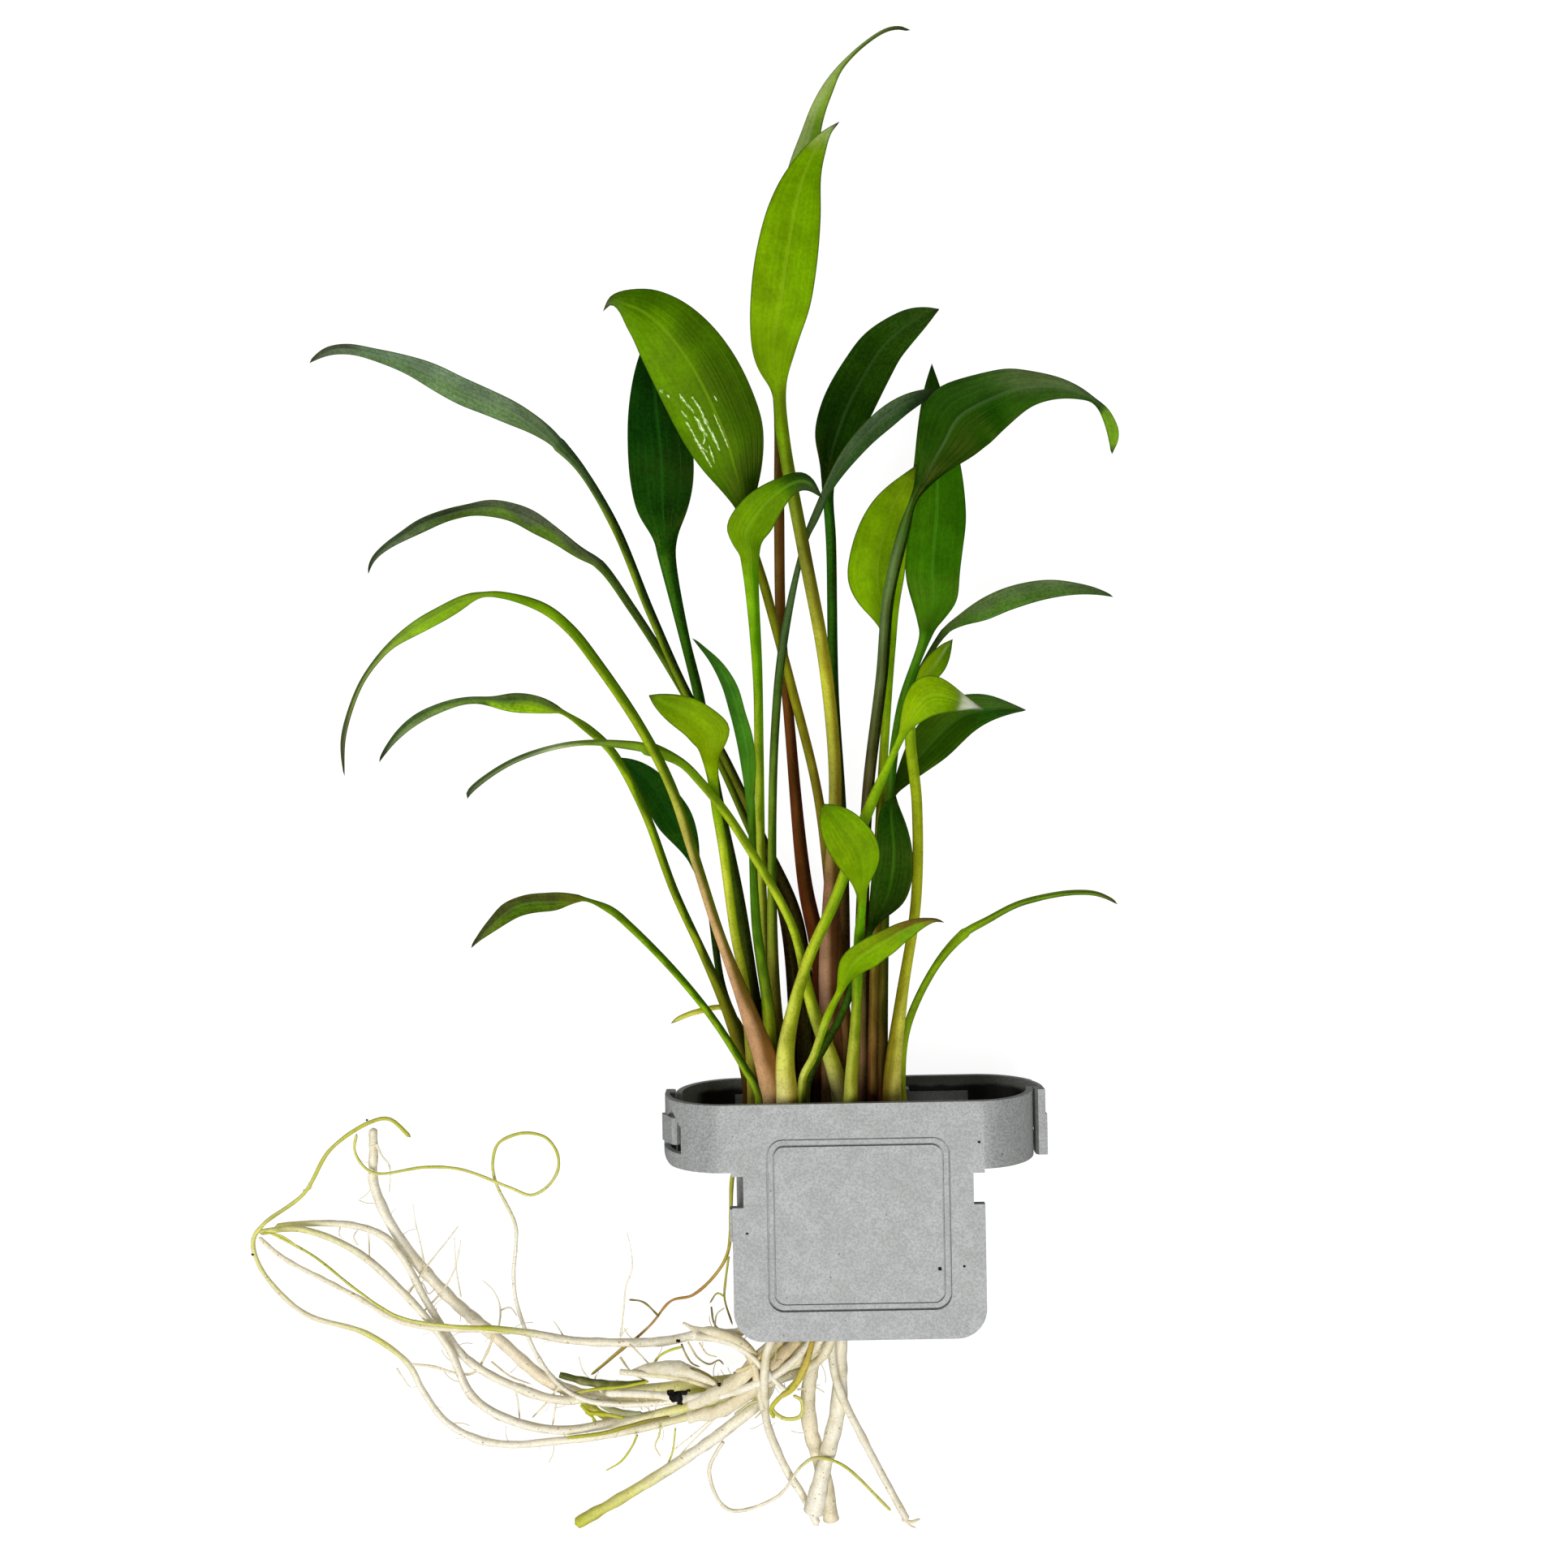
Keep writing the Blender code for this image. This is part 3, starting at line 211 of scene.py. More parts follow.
# %% Group: the lines of a leaf
LEAF_LINES, come, go = new_group(
    "leaf_lines",
    [("Across", 0.0), ("Along", 0.0), ("Width", 1.0), ("Seed", 0.0)],
    ["Midrib", "Veins", "Streaks", "Edge"],
)
tree = LEAF_LINES
reach = math_node(tree, "ABSOLUTE", come.outputs["Across"])
half = math_node(tree, "MULTIPLY", come.outputs["Width"], 0.5)
off_rib = math_node(tree, "MULTIPLY", reach, half)
wire(tree, map_range(tree, off_rib, 0.1, 0.42, 1.0, 0.0), go.inputs["Midrib"])
inset = math_node(tree, "SUBTRACT", half, off_rib)
wire(tree, map_range(tree, inset, 0.0, 0.38, 1.0, 0.0), go.inputs["Edge"])
bunch = tree.nodes.new("ShaderNodeCombineXYZ")
wire(tree, math_node(tree, "MULTIPLY", come.outputs["Across"], 2.4), bunch.inputs[0])
wire(tree, math_node(tree, "MULTIPLY", come.outputs["Along"], 0.012), bunch.inputs[1])
wire(tree, come.outputs["Seed"], bunch.inputs[2])
lines = tree.nodes.new("ShaderNodeTexNoise")
lines.inputs["Scale"].default_value = 3.2
lines.inputs["Detail"].default_value = 2.0
wire(tree, bunch.outputs[0], lines.inputs["Vector"])
wire(tree, lines.outputs["Fac"], go.inputs["Streaks"])
wave = math_node(tree, "SINE", math_node(tree, "MULTIPLY", reach, 33.0))
wobble = math_node(tree, "MULTIPLY", math_node(tree, "SUBTRACT", lines.outputs["Fac"], 0.5), 1.6)
wire(tree, map_range(tree, math_node(tree, "ADD", wave, wobble), 0.55, 1.15), go.inputs["Veins"])

# %% Group: mottling by place
MOTTLE, come, go = new_group("mottle", [("Fine", 900.0), ("Broad", 150.0)], ["Fine", "Broad"])
tree = MOTTLE
spot = tree.nodes.new("ShaderNodeTexCoord")
for label, detail in (("Fine", 3.0), ("Broad", 2.0)):
    cloud = tree.nodes.new("ShaderNodeTexNoise")
    cloud.inputs["Detail"].default_value = detail
    wire(tree, spot.outputs["Object"], cloud.inputs["Vector"])
    wire(tree, come.outputs[label], cloud.inputs["Scale"])
    wire(tree, cloud.outputs["Fac"], go.inputs[label])
print("node groups:", [g.name for g in bpy.data.node_groups])


# %% Leaf finishes
def new_material(name):
    made = bpy.data.materials.new(name)
    made.use_nodes = True
    tree = made.node_tree
    shader = tree.nodes["Principled BSDF"]
    return made, tree, shader


def leaf_finish(name, vein_gain, edge_shade, speckle, rough, streak=0.5, shine=0.15, coat=0.0, rib_gain=0.3):
    """Tint and rib colours come from the piece's own attributes; vein_gain lightens or darkens the side veins."""
    made, tree, shader = new_material(name)
    tint = attribute(tree, "tint").outputs["Color"]
    rib = attribute(tree, "rib").outputs["Color"]
    lay = attribute(tree, "lay")
    parts = tree.nodes.new("ShaderNodeSeparateXYZ")
    wire(tree, lay.outputs["Vector"], parts.inputs[0])
    leafy = attribute(tree, "leafy").outputs["Fac"]
    lines = place_group(tree, LEAF_LINES, Across=parts.outputs[0], Along=parts.outputs[1], Width=parts.outputs[2],
                        Seed=attribute(tree, "seed").outputs["Fac"])
    patch = place_group(tree, MOTTLE, Fine=1700.0, Broad=210.0)
    gain = map_range(tree, lines.outputs["Streaks"], 0.25, 0.75, 1.0 - 0.45 * streak, 1.0 + 0.45 * streak)
    cloud = map_range(tree, patch.outputs["Broad"], 0.3, 0.7, 0.86, 1.14)
    grain = map_range(tree, patch.outputs["Fine"], 0.3, 0.7, 1.0 - speckle, 1.0 + speckle)
    on_stalk = math_node(tree, "SUBTRACT", 1.0, leafy)
    rust = math_node(tree, "MULTIPLY", map_range(tree, patch.outputs["Fine"], 0.5, 0.62), on_stalk)
    level = math_node(tree, "MULTIPLY", math_node(tree, "MULTIPLY", gain, cloud), grain)
    veins = math_node(tree, "MULTIPLY", lines.outputs["Veins"], leafy)
    level = math_node(tree, "MULTIPLY", level, math_node(tree, "ADD", math_node(tree, "MULTIPLY", veins, vein_gain), 1.0))
    shade = tree.nodes.new("ShaderNodeCombineColor")
    for k in range(3):
        wire(tree, level, shade.inputs[k])
    colour = mix_colour(tree, 1.0, tint, shade.outputs[0], "MULTIPLY")
    # Stalks are finely freckled with brown.
    colour = mix_colour(tree, math_node(tree, "MULTIPLY", rust, 0.3), colour, linear((70, 44, 12)))
    on_rib = math_node(tree, "MULTIPLY", lines.outputs["Midrib"], leafy)
    colour = mix_colour(tree, math_node(tree, "MULTIPLY", on_rib, rib_gain), colour, rib)
    rim = math_node(tree, "MULTIPLY", lines.outputs["Edge"], leafy)
    colour = mix_colour(tree, math_node(tree, "MULTIPLY", rim, edge_shade), colour, linear((40, 62, 14)))
    wire(tree, colour, shader.inputs["Base Color"])
    shader.inputs["Specular IOR Level"].default_value = shine
    shader.inputs["Specular Tint"].default_value = (0.85, 1.0, 0.12, 1.0)
    shader.inputs["Coat Weight"].default_value = coat
    shader.inputs["Coat Roughness"].default_value = 0.12
    gloss = math_node(tree, "MULTIPLY", on_stalk, -0.18)
    gloss = math_node(tree, "ADD", gloss, map_range(tree, patch.outputs["Broad"], 0.3, 0.7, rough - 0.06, rough + 0.08))
    wire(tree, gloss, shader.inputs["Roughness"])
    height = math_node(tree, "ADD", math_node(tree, "MULTIPLY", lines.outputs["Veins"], 0.5), lines.outputs["Streaks"])
    bump = tree.nodes.new("ShaderNodeBump")
    bump.inputs["Strength"].default_value = 0.35
    bump.inputs["Distance"].default_value = 0.0003
    wire(tree, height, bump.inputs["Height"])
    wire(tree, bump.outputs["Normal"], shader.inputs["Normal"])
    return made


YOUNG = leaf_finish("young_leaf", 0.10, 0.7, 0.10, 0.45, streak=0.16, shine=0.13, rib_gain=0.3)
GROWN = leaf_finish("grown_leaf", 0.12, 0.55, 0.12, 0.42, streak=0.22, shine=0.13)
SHADY = leaf_finish("dark_leaf", 0.16, 0.35, 0.24, 0.42, streak=0.3, shine=0.11)
# This finish goes to leaves whose tints carry a painted grey sheen.
GREY_SHEEN = leaf_finish("greyed_leaf", 0.12, 0.5, 0.22, 0.5, streak=0.4, shine=0.13)
print("leaf finishes:", YOUNG.name, GROWN.name, SHADY.name, GREY_SHEEN.name)

# %% [markdown]
# ## The course of every leaf
# The tables below are the plant's own shape. Each leaf has a foot on the stock, the course of its
# petiole, and the course, width and turn of its blade. Places in the courses are given as seen
# against the plane of the holder's front face, because that is how a plant is read off a picture.

# %% Leaf courses
# Each leaf: where its foot stands on the stock (x, z); width of the petiole at the foot and at the blade;
# how far the edges rise (+) or droop (-); the course of the petiole; then the blade, base to tip, with its
# width and its turn about the midrib in degrees (+ lifts the right-hand edge).
LEAVES = {
    "leaf_tall_front": (
        (-4, 11.5), (3, 2.4), 0.1,
        [(-4.5, 32.5, 11.5), (-5, 46, 13), (-4, 64, 15.5), (-3, 82, 17.5), (-4.5, 103, 20.5),
         (-8, 124, 24), (-11.5, 145, 28)],
        [(-12.2, 154, 29.5, 2.8, 0), (-13, 159.4, 30.5, 6.9, 0), (-12.6, 164.6, 31.5, 9.1, 0),
         (-11.6, 169.8, 32.5, 10.7, 0), (-10.4, 177.6, 33.5, 11.1, 0), (-8.8, 186.2, 34, 9.7, 0),
         (-7.4, 191.8, 33.5, 7.3, 0), (-6, 195.4, 33.5, 5.2, 0), (-4.2, 198.8, 32.5, 3.4, 0),
         (-2.2, 201.6, 31.5, 1.3, 0), (0, 203.4, 31, 0, 0)],
    ),
    "leaf_tall_back": (
        (-5.5, 7.5), (2.6, 2), -0.2,
        [(-6, 32.5, 7.5), (-6.5, 49, 8.5), (-9, 63, 9.5), (-11.5, 95.5, 11.5), (-12.5, 109, 12.5),
         (-12.5, 130, 15)],
        [(-12.2, 152.4, 17, 2.2, 15), (-12, 160.4, 17.5, 5.3, 16), (-10.8, 171, 18.5, 7.3, 17),
         (-9.6, 181.6, 19.5, 7.7, 18), (-8.2, 189.4, 20, 7.1, 19), (-7, 196, 20.5, 5.9, 20),
         (-5.6, 201.2, 21.5, 4.1, 21), (-4.2, 205.6, 22, 3.4, 22), (-2.2, 209.8, 22.5, 2.8, 24),
         (-0.2, 213, 22.5, 1.5, 25), (2.4, 215.8, 22.5, 0.9, 26), (5, 218, 22, 0.7, 27),
         (8.4, 220.2, 22, 0.7, 28), (11.2, 220.8, 21, 0.7, 29), (13.4, 220, 20, 0, 30)],
    ),
    "leaf_big_bright": (
        (-1.5, 9.5), (2.4, 1.8), -0.12,
        [(-2, 32.5, 9.5), (-3.5, 49, 10.8), (-4.5, 64, 12), (-6.5, 80.5, 13.5), (-11, 100, 15.7),
         (-15, 116, 19.5)],
        [(-18.8, 130.8, 27, 2.1, 0), (-19.4, 135, 28.5, 5.8, 1), (-20.6, 139.8, 30.5, 10.6, 2),
         (-22, 145, 32.5, 14, 3), (-24.4, 151, 34.5, 15.2, 4), (-27.4, 157.2, 36.5, 15, 5),
         (-30.8, 162.6, 38, 13.6, 5), (-34.4, 166.8, 39.5, 11.1, 6), (-38.2, 169.6, 39.5, 7.7, 7),
         (-40.2, 170.2, 39.5, 5.4, 8), (-42.8, 171.2, 38.5, 1.5, 9), (-44.4, 169, 38, 0, 10)],
    ),
    "leaf_dark_left": (
        (-17.5, 4.5), (2.2, 2), 0.1,
        [(-17, 28, 4.5), (-19, 41.5, 6.5), (-21.5, 61, 11), (-25, 80, 14.5), (-28, 98, 15),
         (-30.5, 109, 15)],
        [(-33.4, 123.8, 15, 3.5, 0), (-33.6, 127.2, 15, 4.8, 0), (-34, 131.6, 15.5, 9.4, 0),
         (-34, 137.2, 15.5, 12, 0), (-34.2, 143.6, 16, 12.4, 0), (-34.8, 150, 15.5, 10.9, 0),
         (-35.2, 156.4, 15, 8, 0), (-35.4, 161, 14, 4.9, 0), (-35.4, 166.2, 13, 0, 0)],
    ),
    "leaf_grey_arch_upper": (
        (-8.6, 6.2), (2.2, 1.7), 0.15,
        [(-9, 32.5, 6.2), (-10.5, 56, 6), (-16.5, 71, 6.5), (-23.5, 86.5, 8), (-30, 98, 10.5),
         (-36.5, 113, 14), (-43, 129.5, 18), (-49, 140, 21)],
        [(-52.8, 144.4, 22, 2.6, 50), (-55.8, 147.2, 22.5, 4, 51), (-60.6, 150.4, 23.5, 5.9, 52),
         (-65.4, 152.8, 23.5, 6.4, 53), (-70.8, 155.2, 23, 6.9, 54), (-76.2, 158, 22.5, 6.3, 55),
         (-81.2, 160.2, 21.5, 4.7, 57), (-86.4, 161.8, 21, 3.2, 58), (-91.2, 163, 20, 2.6, 59),
         (-94.8, 162.8, 19.5, 2.1, 60), (-97, 161.8, 18.5, 1.3, 61), (-98.8, 160.4, 18, 0, 62)],
    ),
    "leaf_grey_arch_lower": (
        (-10.5, 3.3), (2.2, 1.7), 0.15,
        [(-10.5, 32.5, 3.3), (-13, 58, 3.2), (-19.5, 74.5, 3.2), (-27, 91.5, 4), (-33.5, 103.5, 6),
         (-40, 114, 9)],
        [(-45.8, 122.2, 11, 2, 50), (-49.6, 124.6, 12, 3, 50), (-53.6, 127.8, 12.5, 4.4, 51),
         (-57.4, 130.4, 12.5, 5.3, 51), (-61.4, 132.2, 12, 5, 52), (-65.4, 133.2, 11.5, 4.5, 52),
         (-69.2, 133, 10.5, 3, 53), (-73, 132.2, 9.5, 3.2, 53), (-78, 130.6, 7.5, 3.4, 53),
         (-81.8, 128.4, 5, 2.5, 54), (-85.6, 126, 3, 1.5, 54), (-87.8, 123.8, 1.5, 0.9, 55),
         (-88.6, 121.2, 0.5, 0, 55)],
    ),
    "leaf_long_arch": (
        (-15.9, 19.5), (2.8, 1.8), 0.2,
        [(-15.5, 25, 19.5), (-19.5, 38.5, 24), (-25, 54, 30), (-29.5, 69, 36), (-33.5, 81.5, 40),
         (-39, 92.5, 43), (-46.5, 104, 45), (-51.5, 110.5, 46), (-56.5, 114.5, 46)],
        [(-64.2, 117, 46, 1.2, 55), (-68.6, 117, 45, 1.1, 55), (-71.4, 116, 44.5, 3, 55),
         (-74.8, 114.2, 44.5, 3.4, 55), (-78.2, 112.4, 43.5, 3.4, 55), (-81.8, 110.2, 42.5, 2.7, 55),
         (-84.6, 108.2, 41.5, 1.6, 55), (-87.4, 105.2, 40.5, 1.1, 55), (-90.2, 101.2, 39, 0.9, 55),
         (-92.4, 96, 37.5, 0.9, 55), (-93.8, 90.6, 36.5, 0.9, 55), (-93.6, 84, 35, 0, 55)],
    ),
    "leaf_twisted": (
        (-20, 12), (2.2, 1.6), 0.25,
        [(-19.5, 26, 12), (-23, 38, 13), (-27.5, 49, 15), (-33, 61.5, 18), (-38.5, 77, 21.5),
         (-44, 87.5, 24), (-48.5, 92, 25)],
        [(-53.6, 95.4, 25, 1.1, 30), (-55.8, 96.2, 25, 3, 33), (-59, 97, 25, 4.3, 35),
         (-62.8, 97.4, 24.5, 4.2, 38), (-65.8, 97.4, 24.5, 2.6, 41), (-68.4, 97.8, 24, 1.8, 44),
         (-71.8, 97.6, 23.5, 1.8, 46), (-75.6, 96.6, 22.5, 2.3, 49), (-79.4, 95, 21.5, 2.6, 52),
         (-82.6, 92.6, 20.5, 2.1, 55), (-85.2, 89.8, 20, 1.4, 57), (-87.2, 86.4, 19, 0, 60)],
    ),
    "leaf_edge_on": (
        (-2.5, 14.6), (2.2, 1.6), 0.2,
        [(-3, 23.5, 14.6), (-4.5, 29.5, 15.2), (-8, 40, 18), (-11.5, 55, 25.5), (-19.5, 70, 31.5),
         (-24, 77, 33.5), (-28, 82, 34), (-31.5, 85.5, 34)],
        [(-37.8, 88.2, 33, 2.6, 72), (-42.4, 89, 32.5, 2.3, 72), (-47.2, 89.4, 31.5, 1.7, 73),
         (-52, 89.2, 30.5, 1.7, 73), (-57.6, 88, 29.5, 1.8, 74), (-63, 86, 28, 1.8, 74),
         (-67.4, 83.4, 27, 1.8, 74), (-70.4, 81, 26.5, 1.9, 75), (-71, 79.4, 26, 0, 75)],
    ),
    "leaf_low_arch_left": (
        (-18.7, 19.5), (2.2, 1.4), 0.2,
        [(-18, 23.5, 19.5), (-20.5, 28.5, 20), (-26, 37.5, 22), (-33, 46.5, 26), (-41, 55, 30),
         (-45, 58.5, 31)],
        [(-50, 60.6, 32, 0.9, 45), (-53.2, 60.6, 32, 3.6, 45), (-56.6, 60.4, 31, 5.3, 45),
         (-60, 60.2, 30.5, 5.3, 45), (-62.8, 59.4, 30, 5, 45), (-65, 57.8, 29.5, 4.1, 45),
         (-67.2, 55.8, 29, 2.9, 45), (-69.2, 53.8, 28, 1.4, 45), (-70.8, 51.8, 27, 0, 45)],
    ),
    "leaf_small_light_left": (
        (-19, 15.5), (2.2, 1.7), 0.1,
        [(-19, 27.5, 15.5), (-20.5, 45, 21), (-22, 53.5, 24), (-24, 70, 28), (-25, 76.5, 29.5)],
        [(-25.6, 82.8, 32, 2.1, 0), (-26, 87.8, 35, 4.1, 0), (-25.4, 90.4, 36, 7.7, 0),
         (-27.2, 92.2, 37, 6.7, 0), (-29.4, 94, 37.5, 6.5, 0), (-31.8, 95.2, 38, 5.6, 0),
         (-33.8, 96.2, 38, 4.2, 0), (-35.8, 97.2, 37.5, 2.2, 0), (-37.2, 98, 37, 0, 0)],
    ),
    "leaf_narrow_dark": (
        (-15.5, 16), (2, 1.5), 0.2,
        [(-15.5, 26.5, 16), (-16, 39, 18), (-18, 55, 21)],
        [(-18.6, 74.8, 24, 1.5, 35), (-18.8, 79.2, 24.5, 2, 36), (-18.8, 85, 25, 3.5, 36),
         (-19.4, 90, 25, 4, 37), (-20.6, 94.6, 25.5, 3.7, 38), (-21.8, 99, 25.5, 3.6, 39),
         (-24.2, 103.4, 25, 2.4, 39), (-29, 108.4, 23, 0, 40)],
    ),
    "leaf_small_dark_left": (
        (-20, 8), (2, 1.4), 0.1,
        [(-19.5, 29, 8), (-24.5, 44, 8), (-27, 61.5, 8)],
        [(-29, 66, 8, 1.5, 0), (-29.6, 68.6, 8, 3.1, 0), (-31, 71.8, 8, 5.5, 0), (-32.8, 75, 8, 7.3, 0),
         (-34.8, 78.2, 7.5, 6.8, 0), (-37, 81.6, 7.5, 5.6, 0), (-39.2, 84, 7, 3.9, 0),
         (-41.2, 85.6, 6.5, 1.9, 0), (-43, 86.6, 6.5, 0, 0)],
    ),
    "leaf_curled_over": (
        (-15.5, 8), (2.2, 1.8), -0.1,
        [(-15.5, 26.5, 8), (-16.5, 49, 8.8), (-17, 68.5, 11.5), (-17, 85, 18), (-17, 101.5, 25.5)],
        [(-18, 121.4, 34.5, 3, 0), (-18.2, 125, 36, 4.2, 0), (-19, 127.2, 37.5, 7.1, 0),
         (-16.8, 130.8, 39, 7.3, 0), (-14.6, 133.4, 40.5, 6.1, 0), (-12.4, 135.2, 41, 4.7, 0),
         (-10.2, 136.6, 41.5, 3.6, 0), (-8.2, 137.2, 40.5, 3.4, 0), (-6.8, 136.8, 40, 2.7, 0),
         (-5.8, 135.6, 38.5, 1.5, 0), (-4.4, 133.8, 37, 0, 0)],
    ),
    "leaf_oblique": (
        (-14, 12), (2.2, 1.6), 0.2,
        [(-14, 26.5, 12), (-15, 43, 13), (-15, 64, 15), (-14, 90.5, 18), (-12, 108, 20)],
        [(-7.6, 126.4, 21.5, 1.1, -40), (-5.8, 130.4, 22, 1.7, -41), (-3.8, 135, 22.5, 2, -42),
         (-2, 138.2, 23.5, 2.9, -43), (0.8, 142.2, 25, 4, -44), (4.2, 146, 26, 4.7, -46),
         (8, 149.2, 26.5, 5, -47), (11.6, 151.4, 26, 4, -48), (15, 152.8, 25.5, 2.3, -49),
         (17.6, 153.6, 24.5, 0, -50)],
    ),
    "leaf_dark_upper_right": (
        (-2.5, 4.2), (2.2, 2), 0.2,
        [(-3, 32.5, 4.2), (-2, 53.5, 5.2), (-2, 76, 7), (-3, 98.5, 8), (-3, 125.5, 9)],
        [(-3.4, 135.2, 9.5, 2.3, 0), (-3, 140.4, 9.5, 4.1, 2), (-2, 144, 9.5, 8.2, 3),
         (-0.4, 148.4, 9.5, 9.8, 4), (1.6, 152.6, 8.5, 10.2, 6), (4.2, 157, 8, 9.7, 7),
         (7, 161.2, 6, 8.8, 9), (10, 164, 5, 7.6, 10), (13.2, 166.4, 3, 5.7, 12),
         (15.6, 167.6, 1.5, 3.2, 14), (17.8, 168.4, 0.5, 0, 15)],
    ),
    "leaf_arch_right": (
        (1.5, 13.5), (2.6, 2.2), -0.2,
        [(1, 26.5, 13.5), (1.5, 53.5, 14.5), (3, 79, 17), (6, 101, 23), (7.5, 115.5, 26.5),
         (10.5, 127.5, 30)],
        [(12.4, 133.2, 32, 1.4, 0), (14.6, 137.2, 33, 3.5, 1), (16.4, 140.6, 34.5, 7, 3),
         (18.6, 144.2, 35.5, 11.1, 4), (20.6, 148, 36.5, 13.7, 5), (24.4, 150.4, 37.5, 12.7, 7),
         (28.4, 152.2, 37.5, 10.5, 8), (32, 153.6, 38, 8.4, 9), (35.8, 154, 37.5, 6.1, 11),
         (40.2, 153.6, 37, 4.1, 12), (44.2, 152.2, 35.5, 2.1, 13), (46.6, 150.8, 34, 0.8, 15),
         (47.8, 149.4, 33.5, 2, 16), (49, 147, 31, 2.6, 17), (49.8, 144, 28.5, 2.6, 19),
         (49.2, 141, 26, 0, 20)],
    ),
    "leaf_light_behind": (
        (3.5, 17.5), (2.2, 1.8), -0.1,
        [(3, 26.5, 17.5), (4, 53.5, 17), (5.5, 78.5, 15.5), (7, 98, 15.5)],
        [(7.6, 107.6, 17, 2.5, 0), (7.2, 111, 18, 4.2, 0), (6, 114.8, 19, 8.1, 0),
         (5.2, 118.6, 19, 10.7, 0), (5.6, 122.4, 19.5, 10.7, 0), (6.8, 127.6, 19.5, 9.6, 0),
         (8.6, 132.2, 19, 7.5, 0), (10.6, 135.6, 18.5, 4.6, 0), (11.8, 137.6, 18, 2.3, 0),
         (13.2, 139.8, 17.5, 0, 0)],
    ),
    "leaf_dark_behind": (
        (5.5, 12), (2.2, 1.8), 0.1,
        [(4.5, 26, 12), (5.5, 53, 11), (7, 78.5, 11), (9.5, 95, 13)],
        [(14.2, 108.2, 15, 2.5, 0), (14.8, 111, 15.5, 4.8, 0), (15.8, 114.2, 16, 8.5, 0),
         (15.6, 119, 17, 10.2, 0), (16, 124.6, 17, 10.9, 0), (16.6, 130, 17, 11.1, 0),
         (16.8, 135, 17, 10.2, 0), (16.8, 139.8, 16.5, 8.8, 0), (16.6, 145.2, 16, 7.1, 0),
         (16.4, 150.2, 15.5, 5.1, 0), (16.2, 154.2, 14.5, 2.9, 0), (16.2, 158.4, 14, 0, 0)],
    ),
    "leaf_narrow_right": (
        (4.5, 7.5), (1.6, 1.1), 0.2,
        [(3.5, 26.5, 7.5), (5, 53, 7), (6.5, 78.5, 7), (10, 95, 8)],
        [(17.6, 108.6, 9.5, 1.5, -45), (20.6, 110.8, 10, 3, -46), (24.6, 112.8, 10.5, 5.7, -46),
         (28.8, 114.8, 11, 6.1, -47), (33.2, 116, 11, 5.8, -48), (37.8, 116.6, 10.5, 4.6, -48),
         (42.2, 116.4, 10, 3, -49), (45.8, 115.8, 9.5, 1.7, -49), (49, 114.6, 8.5, 0, -50)],
    ),
    "leaf_small_light_right": (
        (7, 18), (2.6, 2), 0.3,
        [(6.5, 26, 18), (8.5, 41, 18.5), (11.5, 59, 19), (12, 77, 20.5), (11, 90, 22.5)],
        [(12.2, 97.8, 25.5, 1.1, 0), (14.6, 101.2, 26.5, 3.9, 0), (16.4, 103.4, 26.5, 3.9, 0),
         (17.8, 105.6, 26, 2.4, 0), (19.2, 107.4, 26, 0, 0)],
    ),
    "leaf_whitish_tip": (
        (-12.4, 20.4), (2.6, 2), -0.15,
        [(-13, 23.5, 20.4), (-13, 32, 22.3), (-9, 47.5, 27.5), (-3.5, 59.5, 32), (3, 76, 36)],
        [(9.6, 90, 41, 1.5, 0), (10.6, 92.2, 41.5, 2.9, 2), (12.2, 94.8, 42.5, 5.3, 5),
         (13.8, 97, 43, 7.3, 7), (16.4, 97.4, 44, 6.8, 10), (18.8, 96.6, 43.5, 5.1, 12),
         (20.6, 95.8, 42.5, 3.3, 15), (22, 95.4, 42, 2, 18), (25, 94.2, 41, 0, 20)],
    ),
    "leaf_dark_right": (
        (2.5, 4.5), (2.2, 1.6), 0.25,
        [(1.5, 26.5, 4.5), (3.5, 53.5, 2.8), (5.5, 71, 1.6)],
        [(7.6, 78.8, 1, 1.3, 0), (9.6, 81.8, 1, 3.4, 1), (12, 85, 0.5, 6.3, 2), (14.8, 88.2, 0.5, 8.6, 4),
         (18, 91.4, 0.5, 9, 5), (21.2, 93.4, 0.5, 8, 6), (25, 94.4, 0.5, 5.9, 7),
         (28.2, 94.4, 0.5, 3.5, 9), (32.6, 94, 1, 0, 10)],
    ),
    "leaf_small_light_middle": (
        (-1, 20.5), (2.6, 1.9), 0.1,
        [(-1, 25, 20.5), (0, 36.5, 23.5), (0.5, 44.5, 25.5), (1, 53, 29)],
        [(1.6, 59, 34, 1.6, 0), (1.4, 62.6, 37, 3, 0), (1.4, 65.6, 39, 6.7, 0), (0.4, 69, 40.5, 8.5, 0),
         (-1.4, 71.8, 41.5, 8, 0), (-3.2, 74.4, 41.5, 6.2, 0), (-4.4, 76, 41, 3.7, 0),
         (-5.4, 77.4, 41, 0, 0)],
    ),
    "leaf_small_dark_middle": (
        (-9.5, 16.5), (1.8, 1.5), 0.15,
        [(-9.5, 24, 16.5), (-8, 28.5, 17.5), (-2.5, 38.5, 21), (1.5, 49, 22.5)],
        [(3, 53.6, 23, 1, 0), (4.2, 56.6, 23, 3.2, 0), (6.2, 59.8, 23.5, 6.6, 0), (7.2, 64, 23.5, 7.6, 0),
         (7.6, 68.2, 24, 6.9, 0), (7.4, 72.6, 24, 5.6, 0), (7.2, 76.6, 23.5, 3.5, 0),
         (8.2, 78.6, 23.5, 0, 0)],
    ),
    "leaf_brown_edge": (
        (-10, 20.5), (1.8, 1.5), 0.25,
        [(-10, 26.5, 20.5), (-8, 30.5, 22.5), (-5, 38.5, 25.5)],
        [(-2.8, 42.8, 28, 1.4, -15), (-1.8, 45.4, 29, 3, -17), (0, 48.2, 30.5, 5.8, -19),
